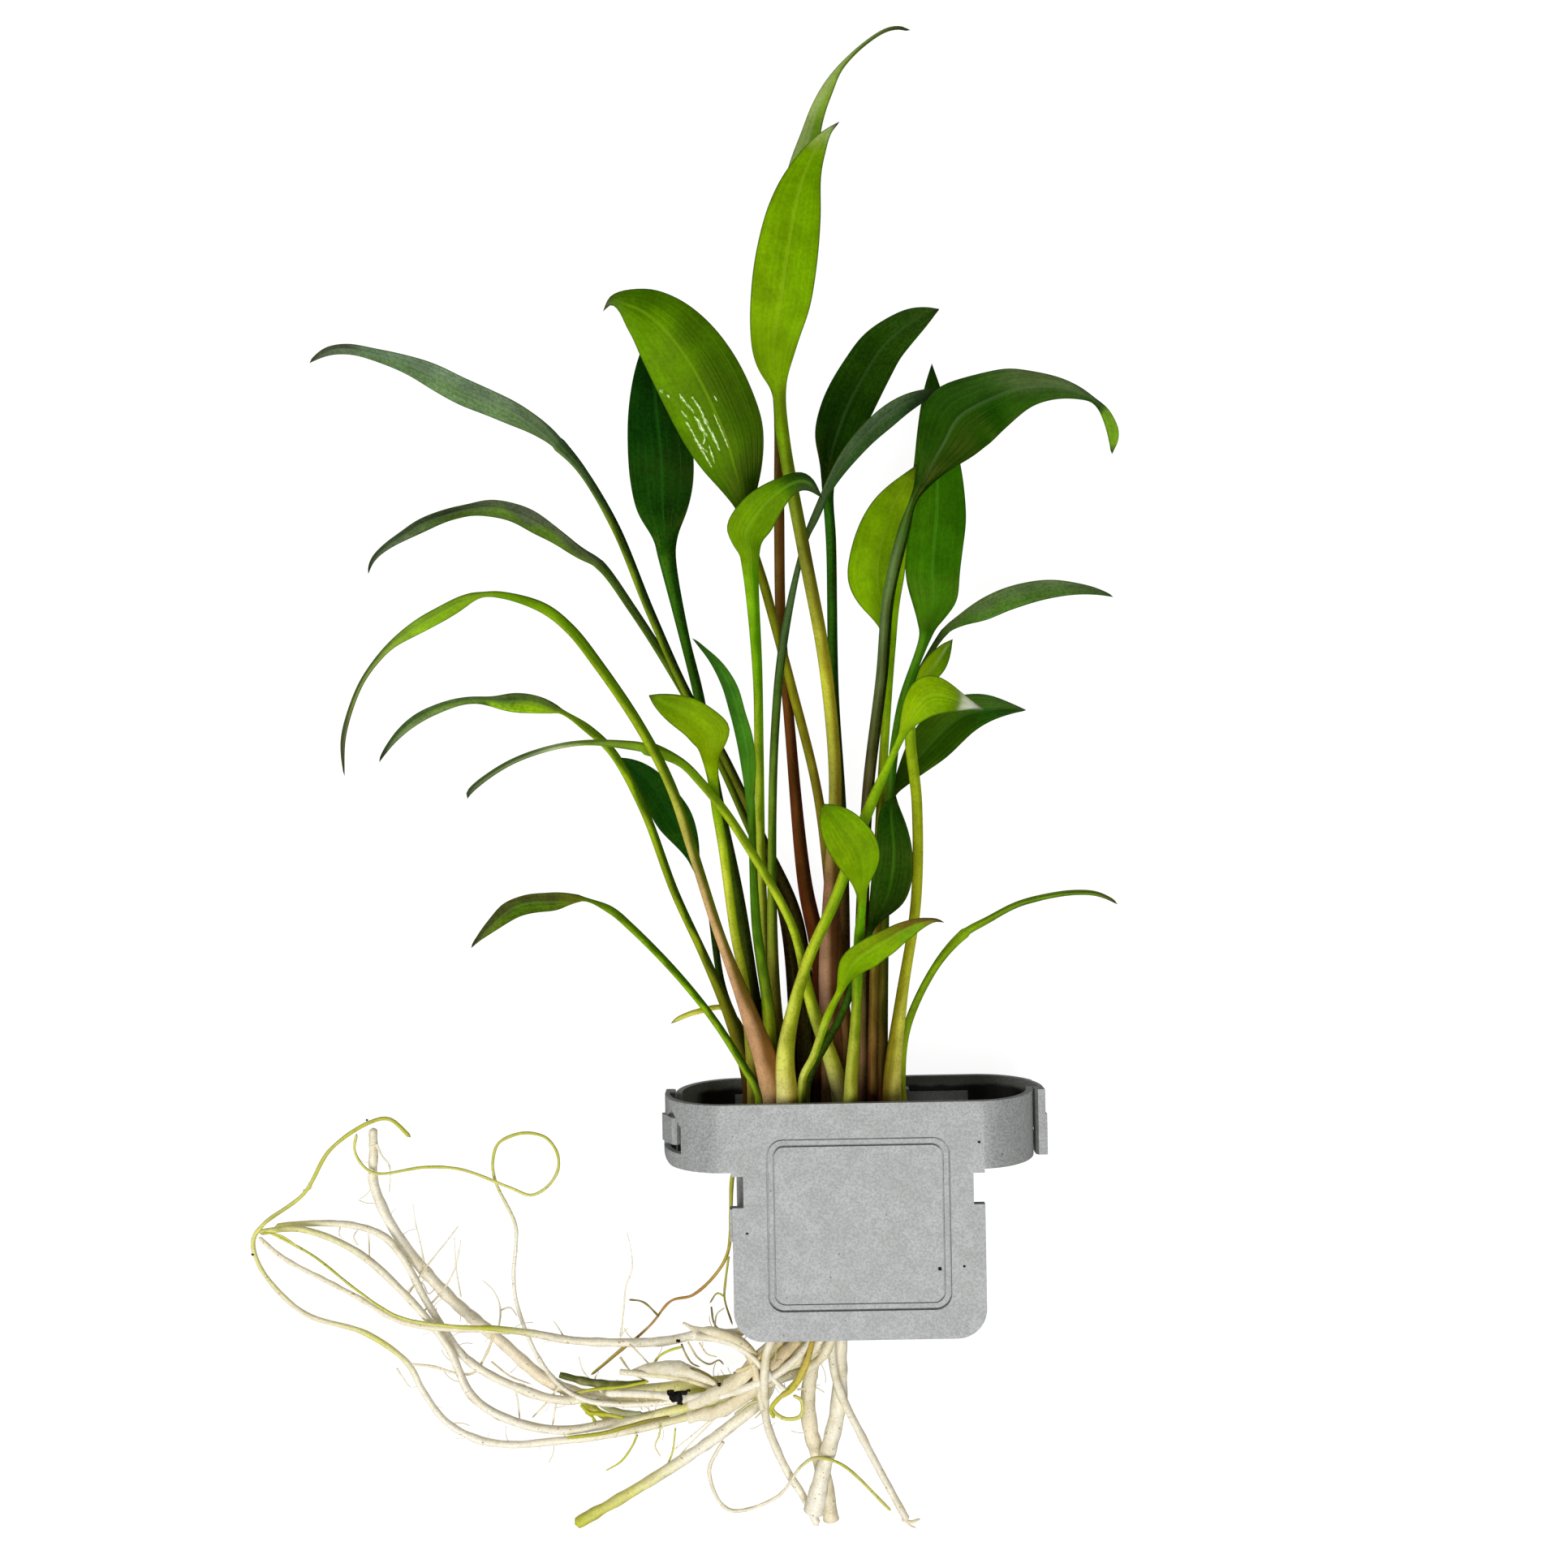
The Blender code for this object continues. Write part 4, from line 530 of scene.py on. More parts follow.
         (3.2, 50.4, 32, 5.9, -21), (6.6, 52.4, 33, 5, -22), (9.8, 54.2, 34, 3.8, -24),
         (12.8, 55.2, 34, 2.2, -26), (14.6, 55.6, 33.5, 0.8, -28), (16.8, 55, 33.5, 0, -30)],
    ),
    "leaf_low_arch_right": (
        (9, 13.5), (2.2, 1.5), 0.2,
        [(8, 26, 13.5), (9.5, 36, 13.5), (15, 47, 13)],
        [(20.4, 53, 12, 2, -68), (24.8, 55.4, 12, 2.7, -69), (30.2, 58.2, 12, 3, -69),
         (35.6, 59.6, 11.5, 2.9, -70), (41, 60.2, 11, 2.3, -71), (45.2, 59.8, 10.5, 1.6, -71),
         (48.8, 57.8, 10, 0, -72)],
    ),
    "leaf_stub": (
        (-20.5, 9.8), (1.6, 1), 0,
        [(-20, 31, 9.8), (-21.5, 37, 10.2), (-24.5, 40, 10.5)],
        [(-29, 39.4, 10.5, 1.1, 0), (-31.2, 38.8, 10, 1, 0), (-33, 38, 9.5, 0.9, 0),
         (-34.2, 37.2, 9.5, 0, 0)],
    ),
}

# %% [markdown]
# ## What each leaf looks like
# Old leaves of this plant are long and dark, young ones short and bright; the grey-green on many older
# blades is painted sheen, a reflection put into their colours. Most stalks are yellow-green above and
# brown to maroon below, with a lit left side and a dark right side painted in, so every row gives two
# colours, for the left and the right half. Rows are (share of the way, left, right).
# The share runs from the foot to the blade for the stalk, and from base to tip for the blade. On a
# leaf that bows to the left, its right half is the upper one.

# %% Leaf colours
PALE = (160, 186, 112)
LIME = (122, 164, 8)
GRASS = (94, 150, 0)
GREEN = (62, 126, 2)
MOSS = (46, 104, 10)
DEEP = (28, 84, 8)
DARK = (14, 58, 8)
NIGHT = (8, 34, 8)
GREY = (98, 120, 88)
SLATE = (68, 86, 60)
STRAW = (176, 182, 72)
OLIVE = (116, 126, 26)
CREAM = (214, 206, 158)
BROWN = (118, 80, 44)
RUST = (124, 66, 40)
MAROON = (88, 36, 22)
PINK = (176, 134, 102)
SOOT = (46, 46, 36)

# Each leaf: finish, colour of its midrib, waviness of its margin, stalk rows, blade rows.
LOOKS = {
    "leaf_tall_front": (YOUNG, (150, 178, 34), 0.25,
        [(0, (150, 128, 84), (84, 56, 30)), (0.12, (146, 100, 66), (96, 56, 28)),
         (0.28, (178, 134, 108), (104, 62, 34)), (0.42, (166, 120, 84), (92, 58, 26)),
         (0.55, (180, 176, 66), (130, 116, 30)), (0.7, (196, 196, 60), (136, 128, 24)),
         (0.86, (120, 124, 40), (72, 72, 12)), (1, LIME, (96, 124, 8))],
        [(0, (113, 151, 4), (113, 151, 4)), (0.3, (112, 152, 2), (106, 148, 1)),
         (0.7, (106, 149, 0), (98, 142, 0)), (0.76, (110, 150, 3), (104, 146, 3)),
         (0.81, (150, 175, 68), (120, 155, 32)), (0.86, (160, 183, 96), (146, 176, 83)),
         (0.94, (160, 185, 105), (132, 159, 85)), (0.96, (112, 108, 108), (96, 92, 92)),
         (1, (96, 88, 96), (80, 76, 80))]),
    "leaf_tall_back": (YOUNG, (150, 180, 96), 0.15,
        [(0, (84, 40, 20), (40, 16, 8)), (0.3, (104, 46, 20), (58, 20, 8)), (0.5, (96, 40, 18), (52, 18, 8)),
         (0.7, (104, 54, 20), (66, 30, 12)), (1, (92, 66, 22), (84, 54, 20))],
        [(0, (110, 90, 30), (80, 60, 20)), (0.15, OLIVE, OLIVE), (0.3, (120, 146, 66), (66, 110, 10)),
         (0.45, (146, 166, 92), (96, 132, 30)), (0.6, (146, 166, 92), (134, 160, 60)),
         (0.75, (140, 160, 84), (120, 146, 50)), (0.84, (116, 130, 74), (110, 128, 64)),
         (0.9, (92, 100, 62), (92, 100, 62)), (0.97, (88, 92, 62), (84, 84, 60)), (1, SOOT, SOOT)]),
    "leaf_big_bright": (GROWN, (128, 168, 22), 0.3,
        [(0, (70, 44, 22), (38, 20, 10)), (0.2, (128, 82, 54), (74, 40, 18)), (0.4, (146, 104, 66), (90, 54, 20)),
         (0.58, (134, 120, 34), (110, 84, 20)), (0.8, (142, 142, 24), (104, 100, 12)),
         (1, (104, 112, 10), (78, 80, 8))],
        [(0, (40, 75, 1), (22, 46, 1)), (0.2, (66, 104, 0), (36, 66, 0)), (0.5, (86, 129, 0), (56, 92, 0)),
         (0.8, (83, 125, 0), (63, 102, 0)), (0.9, (70, 103, 15), (54, 85, 12)), (0.95, (88, 99, 65), (72, 87, 54)),
         (1, (63, 54, 35), (41, 41, 29))]),
    "leaf_dark_left": (SHADY, (34, 96, 22), 0.2,
        [(0, (48, 30, 14), (22, 14, 6)), (0.3, (54, 52, 20), (20, 22, 6)), (0.5, (56, 84, 18), (24, 44, 6)),
         (0.8, (44, 94, 12), (16, 54, 6)), (1, (40, 96, 10), (18, 60, 6))],
        [(0, (24, 76, 6), (14, 55, 4)), (0.2, (17, 66, 6), (10, 48, 4)), (0.5, (11, 56, 6), (9, 46, 5)),
         (0.85, (11, 48, 6), (8, 40, 5)), (1, (9, 32, 5), (9, 32, 5))]),
    "leaf_grey_arch_upper": (GREY_SHEEN, (110, 130, 98), 0.25,
        [(0, (26, 16, 8), (12, 6, 3)), (0.28, (36, 20, 10), (16, 8, 3)), (0.4, (96, 92, 24), (30, 34, 8)),
         (0.6, (124, 146, 20), (12, 42, 4)), (0.88, (112, 140, 28), (12, 40, 8)),
         (1, (98, 126, 60), (46, 72, 40))],
        [(0, (88, 114, 60), (64, 88, 54)), (0.25, (92, 118, 74), (94, 114, 84)), (0.5, (88, 116, 72), (98, 120, 90)),
         (0.68, (84, 110, 70), (86, 108, 80)), (0.72, (96, 116, 82), (72, 78, 60)), (0.9, (90, 104, 78), (74, 80, 62)),
         (1, (74, 76, 58), SOOT)]),
    "leaf_grey_arch_lower": (GREY_SHEEN, (92, 112, 66), 0.45,
        [(0, (24, 15, 7), (10, 5, 2)), (0.3, (34, 20, 8), (14, 8, 3)), (0.42, (92, 104, 20), (26, 36, 6)),
         (0.7, (110, 140, 16), (18, 50, 4)), (1, (92, 126, 28), (46, 70, 24))],
        [(0, (84, 111, 27), (57, 71, 41)), (0.25, (78, 109, 27), (78, 87, 64)),
         (0.45, (74, 101, 36), (67, 78, 52)), (0.6, (60, 85, 22), (48, 60, 36)),
         (0.8, (90, 105, 74), (65, 80, 54)), (0.94, (72, 81, 58), (56, 63, 46)), (1, (30, 28, 24), (24, 22, 20))]),
    "leaf_long_arch": (YOUNG, (158, 186, 60), 0.12,
        [(0, (204, 192, 138), (178, 162, 104)), (0.05, (196, 176, 118), (128, 96, 50)),
         (0.12, (178, 138, 96), (112, 68, 30)), (0.24, (196, 150, 108), (100, 72, 26)),
         (0.36, (198, 160, 108), (88, 88, 20)), (0.46, (178, 164, 76), (66, 84, 8)),
         (0.6, (146, 166, 24), (54, 84, 2)), (0.85, (132, 162, 16), (76, 116, 4)),
         (1, (124, 158, 14), (100, 142, 8))],
        [(0, (124, 160, 20), (96, 130, 14)), (0.14, (128, 168, 20), (112, 148, 24)), (0.4, (132, 174, 26), (124, 162, 40)),
         (0.55, (134, 170, 48), (112, 138, 52)), (0.65, (122, 146, 70), (96, 116, 60)), (0.85, (112, 120, 78), (92, 100, 66)),
         (0.97, (104, 104, 76), (84, 84, 62)), (1, (40, 36, 28), SOOT)]),
    "leaf_twisted": (GREY_SHEEN, (100, 140, 50), 0.35,
        [(0, (60, 42, 20), (30, 20, 8)), (0.14, (78, 54, 20), (36, 26, 8)), (0.3, (118, 116, 22), (54, 60, 8)),
         (0.5, (134, 150, 20), (34, 62, 4)), (0.8, (140, 166, 20), (60, 96, 4)),
         (1, (130, 162, 24), (92, 126, 16))],
        [(0, (124, 156, 14), (64, 84, 30)), (0.15, (126, 164, 12), (60, 81, 32)),
         (0.36, (118, 158, 22), (66, 88, 40)), (0.42, (70, 98, 31), (60, 76, 38)),
         (0.6, (108, 134, 59), (76, 102, 49)), (0.85, (116, 137, 86), (72, 97, 55)),
         (0.96, (64, 76, 47), (50, 62, 39)), (1, (46, 46, 36), (46, 46, 36))]),
    "leaf_edge_on": (YOUNG, (150, 170, 60), 0.1,
        [(0, (186, 184, 84), (140, 140, 40)), (0.07, (172, 164, 96), (120, 104, 44)),
         (0.16, (188, 182, 112), (132, 120, 54)), (0.26, (196, 200, 90), (140, 144, 30)),
         (0.4, (184, 200, 50), (112, 132, 10)), (0.7, (164, 184, 30), (92, 124, 6)),
         (1, (130, 160, 20), (96, 134, 14))],
        [(0, (118, 152, 26), (110, 144, 26)), (0.3, (116, 150, 26), (120, 150, 50)), (0.44, (168, 186, 128), (176, 190, 140)),
         (0.52, (122, 140, 92), (110, 128, 84)), (0.8, (98, 116, 74), (96, 112, 74)), (0.95, (90, 96, 70), (84, 88, 66)),
         (1, SOOT, SOOT)]),
    "leaf_low_arch_left": (GREY_SHEEN, (98, 130, 60), 0.25,
        [(0, (120, 130, 40), (50, 60, 10)), (0.25, (124, 152, 24), (34, 60, 4)),
         (0.6, (130, 168, 16), (46, 92, 2)), (1, (122, 156, 16), (80, 116, 8))],
        [(0, (104, 115, 10), (84, 90, 15)), (0.2, (74, 102, 12), (66, 73, 26)), (0.5, (64, 96, 12), (70, 75, 29)),
         (0.8, (92, 114, 24), (66, 73, 34)), (0.94, (92, 99, 47), (60, 64, 34)), (1, (46, 39, 25), (46, 39, 25))]),
    "leaf_small_light_left": (YOUNG, (116, 164, 24), 0.2,
        [(0, (126, 110, 40), (84, 70, 20)), (0.2, (150, 144, 48), (104, 100, 20)),
         (0.4, (190, 196, 66), (132, 146, 20)), (0.7, (198, 204, 64), (136, 156, 16)),
         (0.9, (150, 178, 24), (116, 152, 8)), (1, (126, 164, 10), (110, 152, 6))],
        [(0, (127, 158, 2), (114, 146, 1)), (0.25, (123, 154, 1), (110, 142, 1)),
         (0.6, (110, 144, 1), (108, 144, 4)), (0.85, (98, 133, 2), (102, 137, 8)), (1, (59, 76, 10), (53, 63, 10))]),
    "leaf_narrow_dark": (GROWN, (84, 140, 44), 0.15,
        [(0, (120, 108, 40), (70, 54, 16)), (0.25, (132, 126, 30), (84, 74, 12)),
         (0.5, (164, 172, 34), (104, 114, 8)), (0.75, (110, 140, 20), (60, 84, 6)),
         (1, (84, 136, 16), (50, 98, 6))],
        [(0, (74, 132, 22), (60, 116, 16)), (0.35, (50, 108, 20), (62, 120, 20)), (0.7, (44, 100, 20), (58, 114, 22)),
         (1, (26, 70, 12), (26, 70, 12))]),
    "leaf_small_dark_left": (SHADY, (20, 70, 20), 0.1,
        [(0, (56, 38, 16), (30, 20, 8)), (0.4, (50, 40, 14), (28, 22, 8)), (0.8, (24, 62, 10), (10, 40, 6)),
         (1, (16, 58, 8), (8, 44, 6))],
        [(0, (14, 69, 7), (12, 60, 6)), (0.6, (10, 58, 6), (11, 60, 7)), (1, (15, 56, 11), (15, 56, 11))]),
    "leaf_curled_over": (YOUNG, (116, 168, 30), 0.25,
        [(0, (110, 92, 36), (60, 44, 14)), (0.25, (150, 142, 60), (84, 70, 22)),
         (0.45, (170, 176, 60), (104, 112, 16)), (0.7, (176, 190, 50), (96, 128, 6)),
         (0.9, (152, 178, 30), (84, 132, 4)), (1, (120, 168, 14), (72, 130, 2))],
        [(0, (104, 144, 4), (78, 121, 1)), (0.25, (97, 135, 2), (88, 126, 1)), (0.5, (75, 115, 3), (85, 123, 3)),
         (0.58, (40, 75, 4), (55, 93, 4)), (0.75, (32, 65, 16), (57, 79, 38)), (0.9, (38, 60, 23), (59, 81, 43)),
         (1, (34, 49, 22), (42, 53, 28))]),
    "leaf_oblique": (GREY_SHEEN, (86, 108, 76), 0.12,
        [(0, (100, 76, 30), (58, 36, 12)), (0.25, (112, 84, 28), (70, 46, 10)),
         (0.42, (126, 124, 40), (64, 64, 12)), (0.6, (112, 140, 30), (44, 78, 6)),
         (0.85, (74, 106, 34), (30, 66, 12)), (1, (64, 92, 50), (38, 68, 28))],
        [(0, (56, 79, 42), (34, 64, 22)), (0.3, (71, 93, 57), (41, 74, 29)), (0.6, (73, 95, 63), (50, 79, 39)),
         (0.85, (55, 79, 45), (41, 69, 35)), (1, (40, 56, 32), (40, 56, 32))]),
    "leaf_dark_upper_right": (SHADY, (76, 110, 62), 0.25,
        [(0, (50, 26, 14), (24, 12, 6)), (0.2, (124, 84, 56), (64, 34, 18)), (0.45, (112, 84, 46), (50, 32, 14)),
         (0.62, (90, 96, 34), (30, 42, 8)), (0.78, (40, 92, 16), (10, 46, 4)), (1, (34, 94, 14), (12, 54, 4))],
        [(0, (16, 44, 4), (16, 46, 4)), (0.25, (17, 48, 4), (24, 60, 4)), (0.6, (36, 73, 7), (44, 81, 7)),
         (0.85, (52, 87, 20), (52, 87, 14)), (1, (52, 76, 26), (39, 60, 18))]),
    # Over this leaf's hump the blade rows are grey-green: painted sheen.
    "leaf_arch_right": (GROWN, (92, 114, 72), 0.3,
        [(0, (50, 28, 16), (24, 12, 6)), (0.2, (118, 78, 62), (40, 20, 12)), (0.4, (96, 64, 48), (34, 20, 10)),
         (0.6, (84, 92, 50), (20, 34, 8)), (0.8, (92, 116, 66), (12, 38, 4)), (0.94, (80, 108, 58), (10, 42, 2)),
         (1, (62, 100, 36), (14, 50, 2))],
        [(0, (23, 64, 6), (10, 41, 1)), (0.22, (21, 60, 2), (11, 46, 0)), (0.38, (43, 78, 19), (18, 65, 1)),
         (0.5, (84, 105, 54), (38, 78, 11)), (0.62, (89, 109, 62), (54, 87, 31)),
         (0.72, (65, 90, 40), (43, 78, 24)), (0.79, (39, 71, 22), (32, 65, 17)),
         (0.82, (121, 169, 38), (111, 161, 26)), (0.95, (126, 173, 30), (110, 151, 26)),
         (1, (44, 44, 22), (36, 36, 20))]),
    "leaf_light_behind": (YOUNG, (126, 168, 30), 0.2,
        [(0, (90, 50, 28), (40, 20, 10)), (0.3, (116, 74, 40), (60, 34, 14)),
         (0.55, (126, 116, 36), (88, 80, 14)), (0.8, (142, 160, 26), (104, 136, 10)),
         (1, (122, 160, 6), (108, 152, 2))],
        [(0, (112, 157, 3), (110, 155, 2)), (0.3, (117, 159, 2), (114, 157, 3)),
         (0.6, (110, 151, 3), (117, 155, 6)), (0.85, (106, 139, 8), (117, 145, 10)), (1, (59, 78, 7), (59, 78, 7))]),
    "leaf_dark_behind": (GROWN, (72, 138, 34), 0.2,
        [(0, (70, 40, 22), (28, 16, 8)), (0.25, (128, 80, 44), (50, 24, 10)), (0.45, (92, 90, 24), (40, 54, 6)),
         (0.8, (74, 130, 20), (30, 88, 4)), (1, (84, 146, 24), (46, 112, 8))],
        [(0, (63, 114, 8), (47, 99, 4)), (0.25, (53, 108, 2), (42, 96, 1)), (0.6, (57, 106, 3), (42, 92, 2)),
         (0.85, (42, 86, 5), (33, 75, 4)), (1, (22, 50, 6), (20, 47, 5))]),
    "leaf_narrow_right": (GREY_SHEEN, (78, 108, 58), 0.1,
        [(0, OLIVE, BROWN), (0.5, (52, 76, 24), (34, 52, 14)), (1, (40, 66, 28), (28, 50, 16))],
        [(0, (62, 87, 36), (62, 106, 24)), (0.3, (83, 105, 55), (73, 114, 36)),
         (0.7, (82, 104, 59), (71, 104, 42)), (1, (48, 64, 34), (48, 64, 34))]),
    "leaf_small_light_right": (YOUNG, (168, 200, 116), 0.1,
        [(0, (54, 34, 16), (120, 104, 50)), (0.1, (86, 58, 24), (164, 150, 70)),
         (0.25, (120, 108, 24), (190, 184, 80)), (0.45, (132, 128, 16), (176, 180, 44)),
         (0.7, (146, 154, 20), (158, 170, 24)), (1, (138, 168, 20), (110, 146, 6))],
        [(0, (126, 160, 6), (108, 146, 4)), (0.5, (118, 152, 6), (88, 130, 4)), (1, (80, 108, 12), (66, 96, 10))]),
    "leaf_whitish_tip": (YOUNG, (126, 168, 30), 0.2,
        [(0, (206, 194, 138), (190, 178, 116)), (0.08, (210, 200, 140), (168, 146, 76)),
         (0.18, (206, 196, 124), (150, 128, 50)), (0.35, (204, 204, 96), (140, 140, 30)),
         (0.6, (184, 196, 50), (120, 146, 14)), (0.85, (152, 180, 24), (104, 148, 6)),
         (1, (132, 170, 10), (104, 150, 4))],
        [(0, (136, 165, 2), (116, 153, 2)), (0.3, (128, 162, 3), (116, 154, 3)),
         (0.55, (115, 151, 5), (106, 145, 3)), (0.7, (104, 137, 8), (97, 131, 7)),
         (0.78, (198, 205, 169), (208, 213, 182)), (0.9, (177, 184, 162), (197, 204, 184)),
         (1, (80, 70, 56), (90, 80, 60))]),
    "leaf_dark_right": (GROWN, (60, 110, 40), 0.2,
        [(0, (60, 34, 18), (28, 14, 6)), (0.3, (116, 70, 44), (44, 22, 10)), (0.6, (60, 60, 20), (26, 34, 6)),
         (1, (40, 80, 10), (24, 60, 4))],
        [(0, (28, 60, 1), (28, 60, 1)), (0.3, (35, 70, 1), (36, 73, 1)), (0.6, (43, 80, 4), (40, 76, 3)),
         (0.8, (52, 89, 29), (35, 86, 15)), (1, (49, 76, 29), (39, 68, 21))]),
    "leaf_small_light_middle": (YOUNG, (52, 84, 10), 0.2,
        [(0, (120, 120, 50), (80, 76, 24)), (0.3, (166, 170, 64), (112, 116, 20)),
         (0.6, (150, 170, 34), (96, 128, 6)), (0.85, (112, 158, 10), (76, 128, 2)),
         (1, (104, 156, 6), (84, 142, 2))],
        [(0, (107, 145, 2), (102, 140, 2)), (0.4, (109, 143, 2), (102, 140, 1)),
         (0.75, (100, 136, 2), (94, 132, 2)), (1, (75, 108, 5), (71, 104, 5))]),
    "leaf_small_dark_middle": (SHADY, (64, 124, 14), 0.15,
        [(0, (196, 190, 120), (150, 144, 70)), (0.22, (190, 186, 100), (110, 110, 36)),
         (0.35, (64, 84, 20), (26, 40, 6)), (0.7, (40, 70, 12), (18, 40, 4)), (1, (36, 96, 8), (20, 70, 4))],
        [(0, (27, 65, 4), (18, 53, 3)), (0.4, (21, 60, 3), (20, 57, 3)), (0.8, (24, 62, 5), (17, 52, 4)),
         (1, (19, 48, 5), (14, 37, 3))]),
    "leaf_brown_edge": (YOUNG, (126, 170, 34), 0.2,
        [(0, (90, 86, 26), (40, 36, 10)), (0.2, (110, 122, 24), (54, 62, 8)),
         (0.42, (204, 206, 96), (130, 144, 24)), (0.8, (190, 200, 70), (120, 148, 10)),
         (1, (140, 168, 16), (104, 146, 6))],
        [(0, (112, 147, 2), (100, 138, 2)), (0.3, (114, 147, 5), (104, 141, 2)),
         (0.5, (110, 130, 10), (110, 146, 5)), (0.62, (112, 91, 27), (98, 144, 14)),
         (0.72, (98, 77, 29), (110, 145, 17)), (0.84, (100, 72, 33), (112, 119, 27)),
         (0.93, (116, 78, 47), (120, 84, 47)), (1, (84, 52, 32), (84, 52, 32))]),
    "leaf_low_arch_right": (YOUNG, (140, 176, 40), 0.1,
        [(0, (30, 34, 10), (120, 120, 40)), (0.2, (46, 62, 8), (156, 168, 30)),
         (0.5, (90, 126, 10), (140, 166, 20)), (1, (128, 164, 20), (90, 124, 8))],
        [(0, (122, 158, 16), (78, 117, 10)), (0.4, (123, 161, 23), (86, 125, 14)),
         (0.75, (114, 147, 30), (93, 124, 22)), (0.92, (116, 128, 55), (101, 107, 47)),
         (1, (93, 81, 45), (93, 81, 45))]),
    "leaf_stub": (YOUNG, (190, 196, 90), 0.05,
        [(0, (190, 186, 110), OLIVE), (0.6, (176, 180, 64), (150, 150, 40)), (1, (186, 190, 74), (160, 158, 40))],
        [(0, (192, 196, 84), (170, 168, 50)), (0.7, (196, 196, 90), (176, 170, 60)), (1, (150, 130, 60), (150, 130, 60))]),
}
print("colours for", len(LOOKS), "leaves")

# %% [markdown]
# ## Growing a leaf
# A petiole and its blade are one growth: a round stalk that widens and flattens. So one loft makes
# both. A smooth line runs through the table's points, and an oval ring stands on it every 0.8 mm.
# Along the stalk the ring is nearly round. In the blade it is a thin lens with a groove over the
# midrib, a ridge under it, and margins that wave a little. The rings also carry the colours, and
# how far each point lies across and along, which the finishes use for veins.

# %% Lines and frames
STOCK_TOP = 14.7
GAP = 0.3
DEPTH = 24.0
SIGHT = (-12.5, 81.0, 279.0)
BLADE_THICK = 0.5


def true_place(seen):
    """A place seen against the plane of the holder's front face, set at its real height."""
    x, y, z = seen
    k = (SIGHT[2] - z) / (SIGHT[2] - DEPTH)
    return SIGHT[0] + (x - SIGHT[0]) * k, SIGHT[1] + (y - SIGHT[1]) * k, z


def spline(rows, step):
    """A smooth line through the rows, with a point about every step. Later columns ride along."""
    rows = np.array(rows, float)
    ends = np.vstack([2 * rows[0] - rows[1], rows, 2 * rows[-1] - rows[-2]])
    out = []
    for i in range(len(rows) - 1):
        p0, p1, p2, p3 = ends[i:i + 4]
        a = math.sqrt(np.linalg.norm(p1[:3] - p0[:3])) + 1e-9
        b = math.sqrt(np.linalg.norm(p2[:3] - p1[:3])) + 1e-9
        c = math.sqrt(np.linalg.norm(p3[:3] - p2[:3])) + 1e-9
        m1 = (p2 - p1) + b * ((p1 - p0) / a - (p2 - p0) / (a + b))
        m2 = (p2 - p1) + b * ((p3 - p2) / c - (p3 - p1) / (b + c))
        count = max(2, round(b * b / step))
        t = (np.arange(count) / count)[:, None]
        out.append((2 * t**3 - 3 * t**2 + 1) * p1 + (t**3 - 2 * t**2 + t) * m1
                   + (3 * t**2 - 2 * t**3) * p2 + (t**3 - t**2) * m2)
    out.append(rows[-1:])
    return np.vstack(out)


def frames(line, first=None):
    ahead = np.gradient(line[:, :3], axis=0)
    if first is not None:
        ahead[0] = first
    ahead /= np.linalg.norm(ahead, axis=1)[:, None]
    side = np.cross(ahead, (0.0, 0.0, 1.0))
    side /= np.linalg.norm(side, axis=1)[:, None]
    return ahead, side, np.cross(side, ahead)


def evened(rows, reach):
    """Each row averaged with its neighbours, so that wide rings do not cross where a line bends."""
    weights = np.hanning(2 * reach + 3)[1:-1]
    padded = np.pad(rows, ((reach, reach), (0, 0)), mode="edge")
    total = sum(w * padded[i:i + len(rows)] for i, w in enumerate(weights))
    return total / weights.sum()


def smooth(value, low, high):
    t = np.clip((value - low) / (high - low), 0.0, 1.0)
    return t * t * (3 - 2 * t)


def between(stops, share):
    """The left and right colours of a list of rows at each share."""
    at = np.array([row[0] for row in stops], float)
    out = []
    for half in (1, 2):
        colours = np.array([linear(row[half]) for row in stops])
        out.append(np.stack([np.interp(share, at, colours[:, k]) for k in range(3)], axis=-1))
    return out


# %% One closed skin over rings
def skin(name, rings, tip, finish, colours=None, **values):
    """rings is stations x points x 3 in mm. The first ring is closed flat, the last runs out to the tip."""
    count, n, _ = rings.shape
    points = np.vstack([rings.reshape(-1, 3), [tip]]) * MM
    faces = [tuple(range(n))]
    for k in range(count - 1):
        for i in range(n):
            j = (i + 1) % n
            faces.append((k * n + j, k * n + i, (k + 1) * n + i, (k + 1) * n + j))
    last = (count - 1) * n
    for i in range(n):
        faces.append((last + (i + 1) % n, last + i, count * n))
    mesh = bpy.data.meshes.new(name)
    mesh.from_pydata(points.tolist(), [], faces)
    for label, array in (colours or {}).items():
        layer = mesh.attributes.new(label, "FLOAT_COLOR", "POINT")
        flat = np.vstack([array.reshape(-1, 3), array.reshape(-1, 3)[-1:]])
        layer.data.foreach_set("color", np.hstack([flat, np.ones((len(flat), 1))]).ravel().astype(np.float32))
    for label, array in values.items():
        array = np.asarray(array, float)
        if array.ndim == 3:
            layer = mesh.attributes.new(label, "FLOAT_VECTOR", "POINT")
            flat = np.vstack([array.reshape(-1, 3), array.reshape(-1, 3)[-1:]])
            layer.data.foreach_set("vector", flat.ravel().astype(np.float32))
        else:
            layer = mesh.attributes.new(label, "FLOAT", "POINT")
            flat = np.append(array.ravel(), array.ravel()[-1])
            layer.data.foreach_set("value", flat.astype(np.float32))
    bm = bmesh.new()
    bm.from_mesh(mesh)
    bmesh.ops.triangulate(bm, faces=[f for f in bm.faces if len(f.verts) > 4])
    bmesh.ops.recalc_face_normals(bm, faces=bm.faces)
    bm.to_mesh(mesh)
    bm.free()
    mesh.polygons.foreach_set("use_smooth", [True] * len(mesh.polygons))
    mesh.materials.append(finish)
    obj = bpy.data.objects.new(name, mesh)
    scene.collection.objects.link(obj)
    return obj


# %% The leaf
AROUND = 30

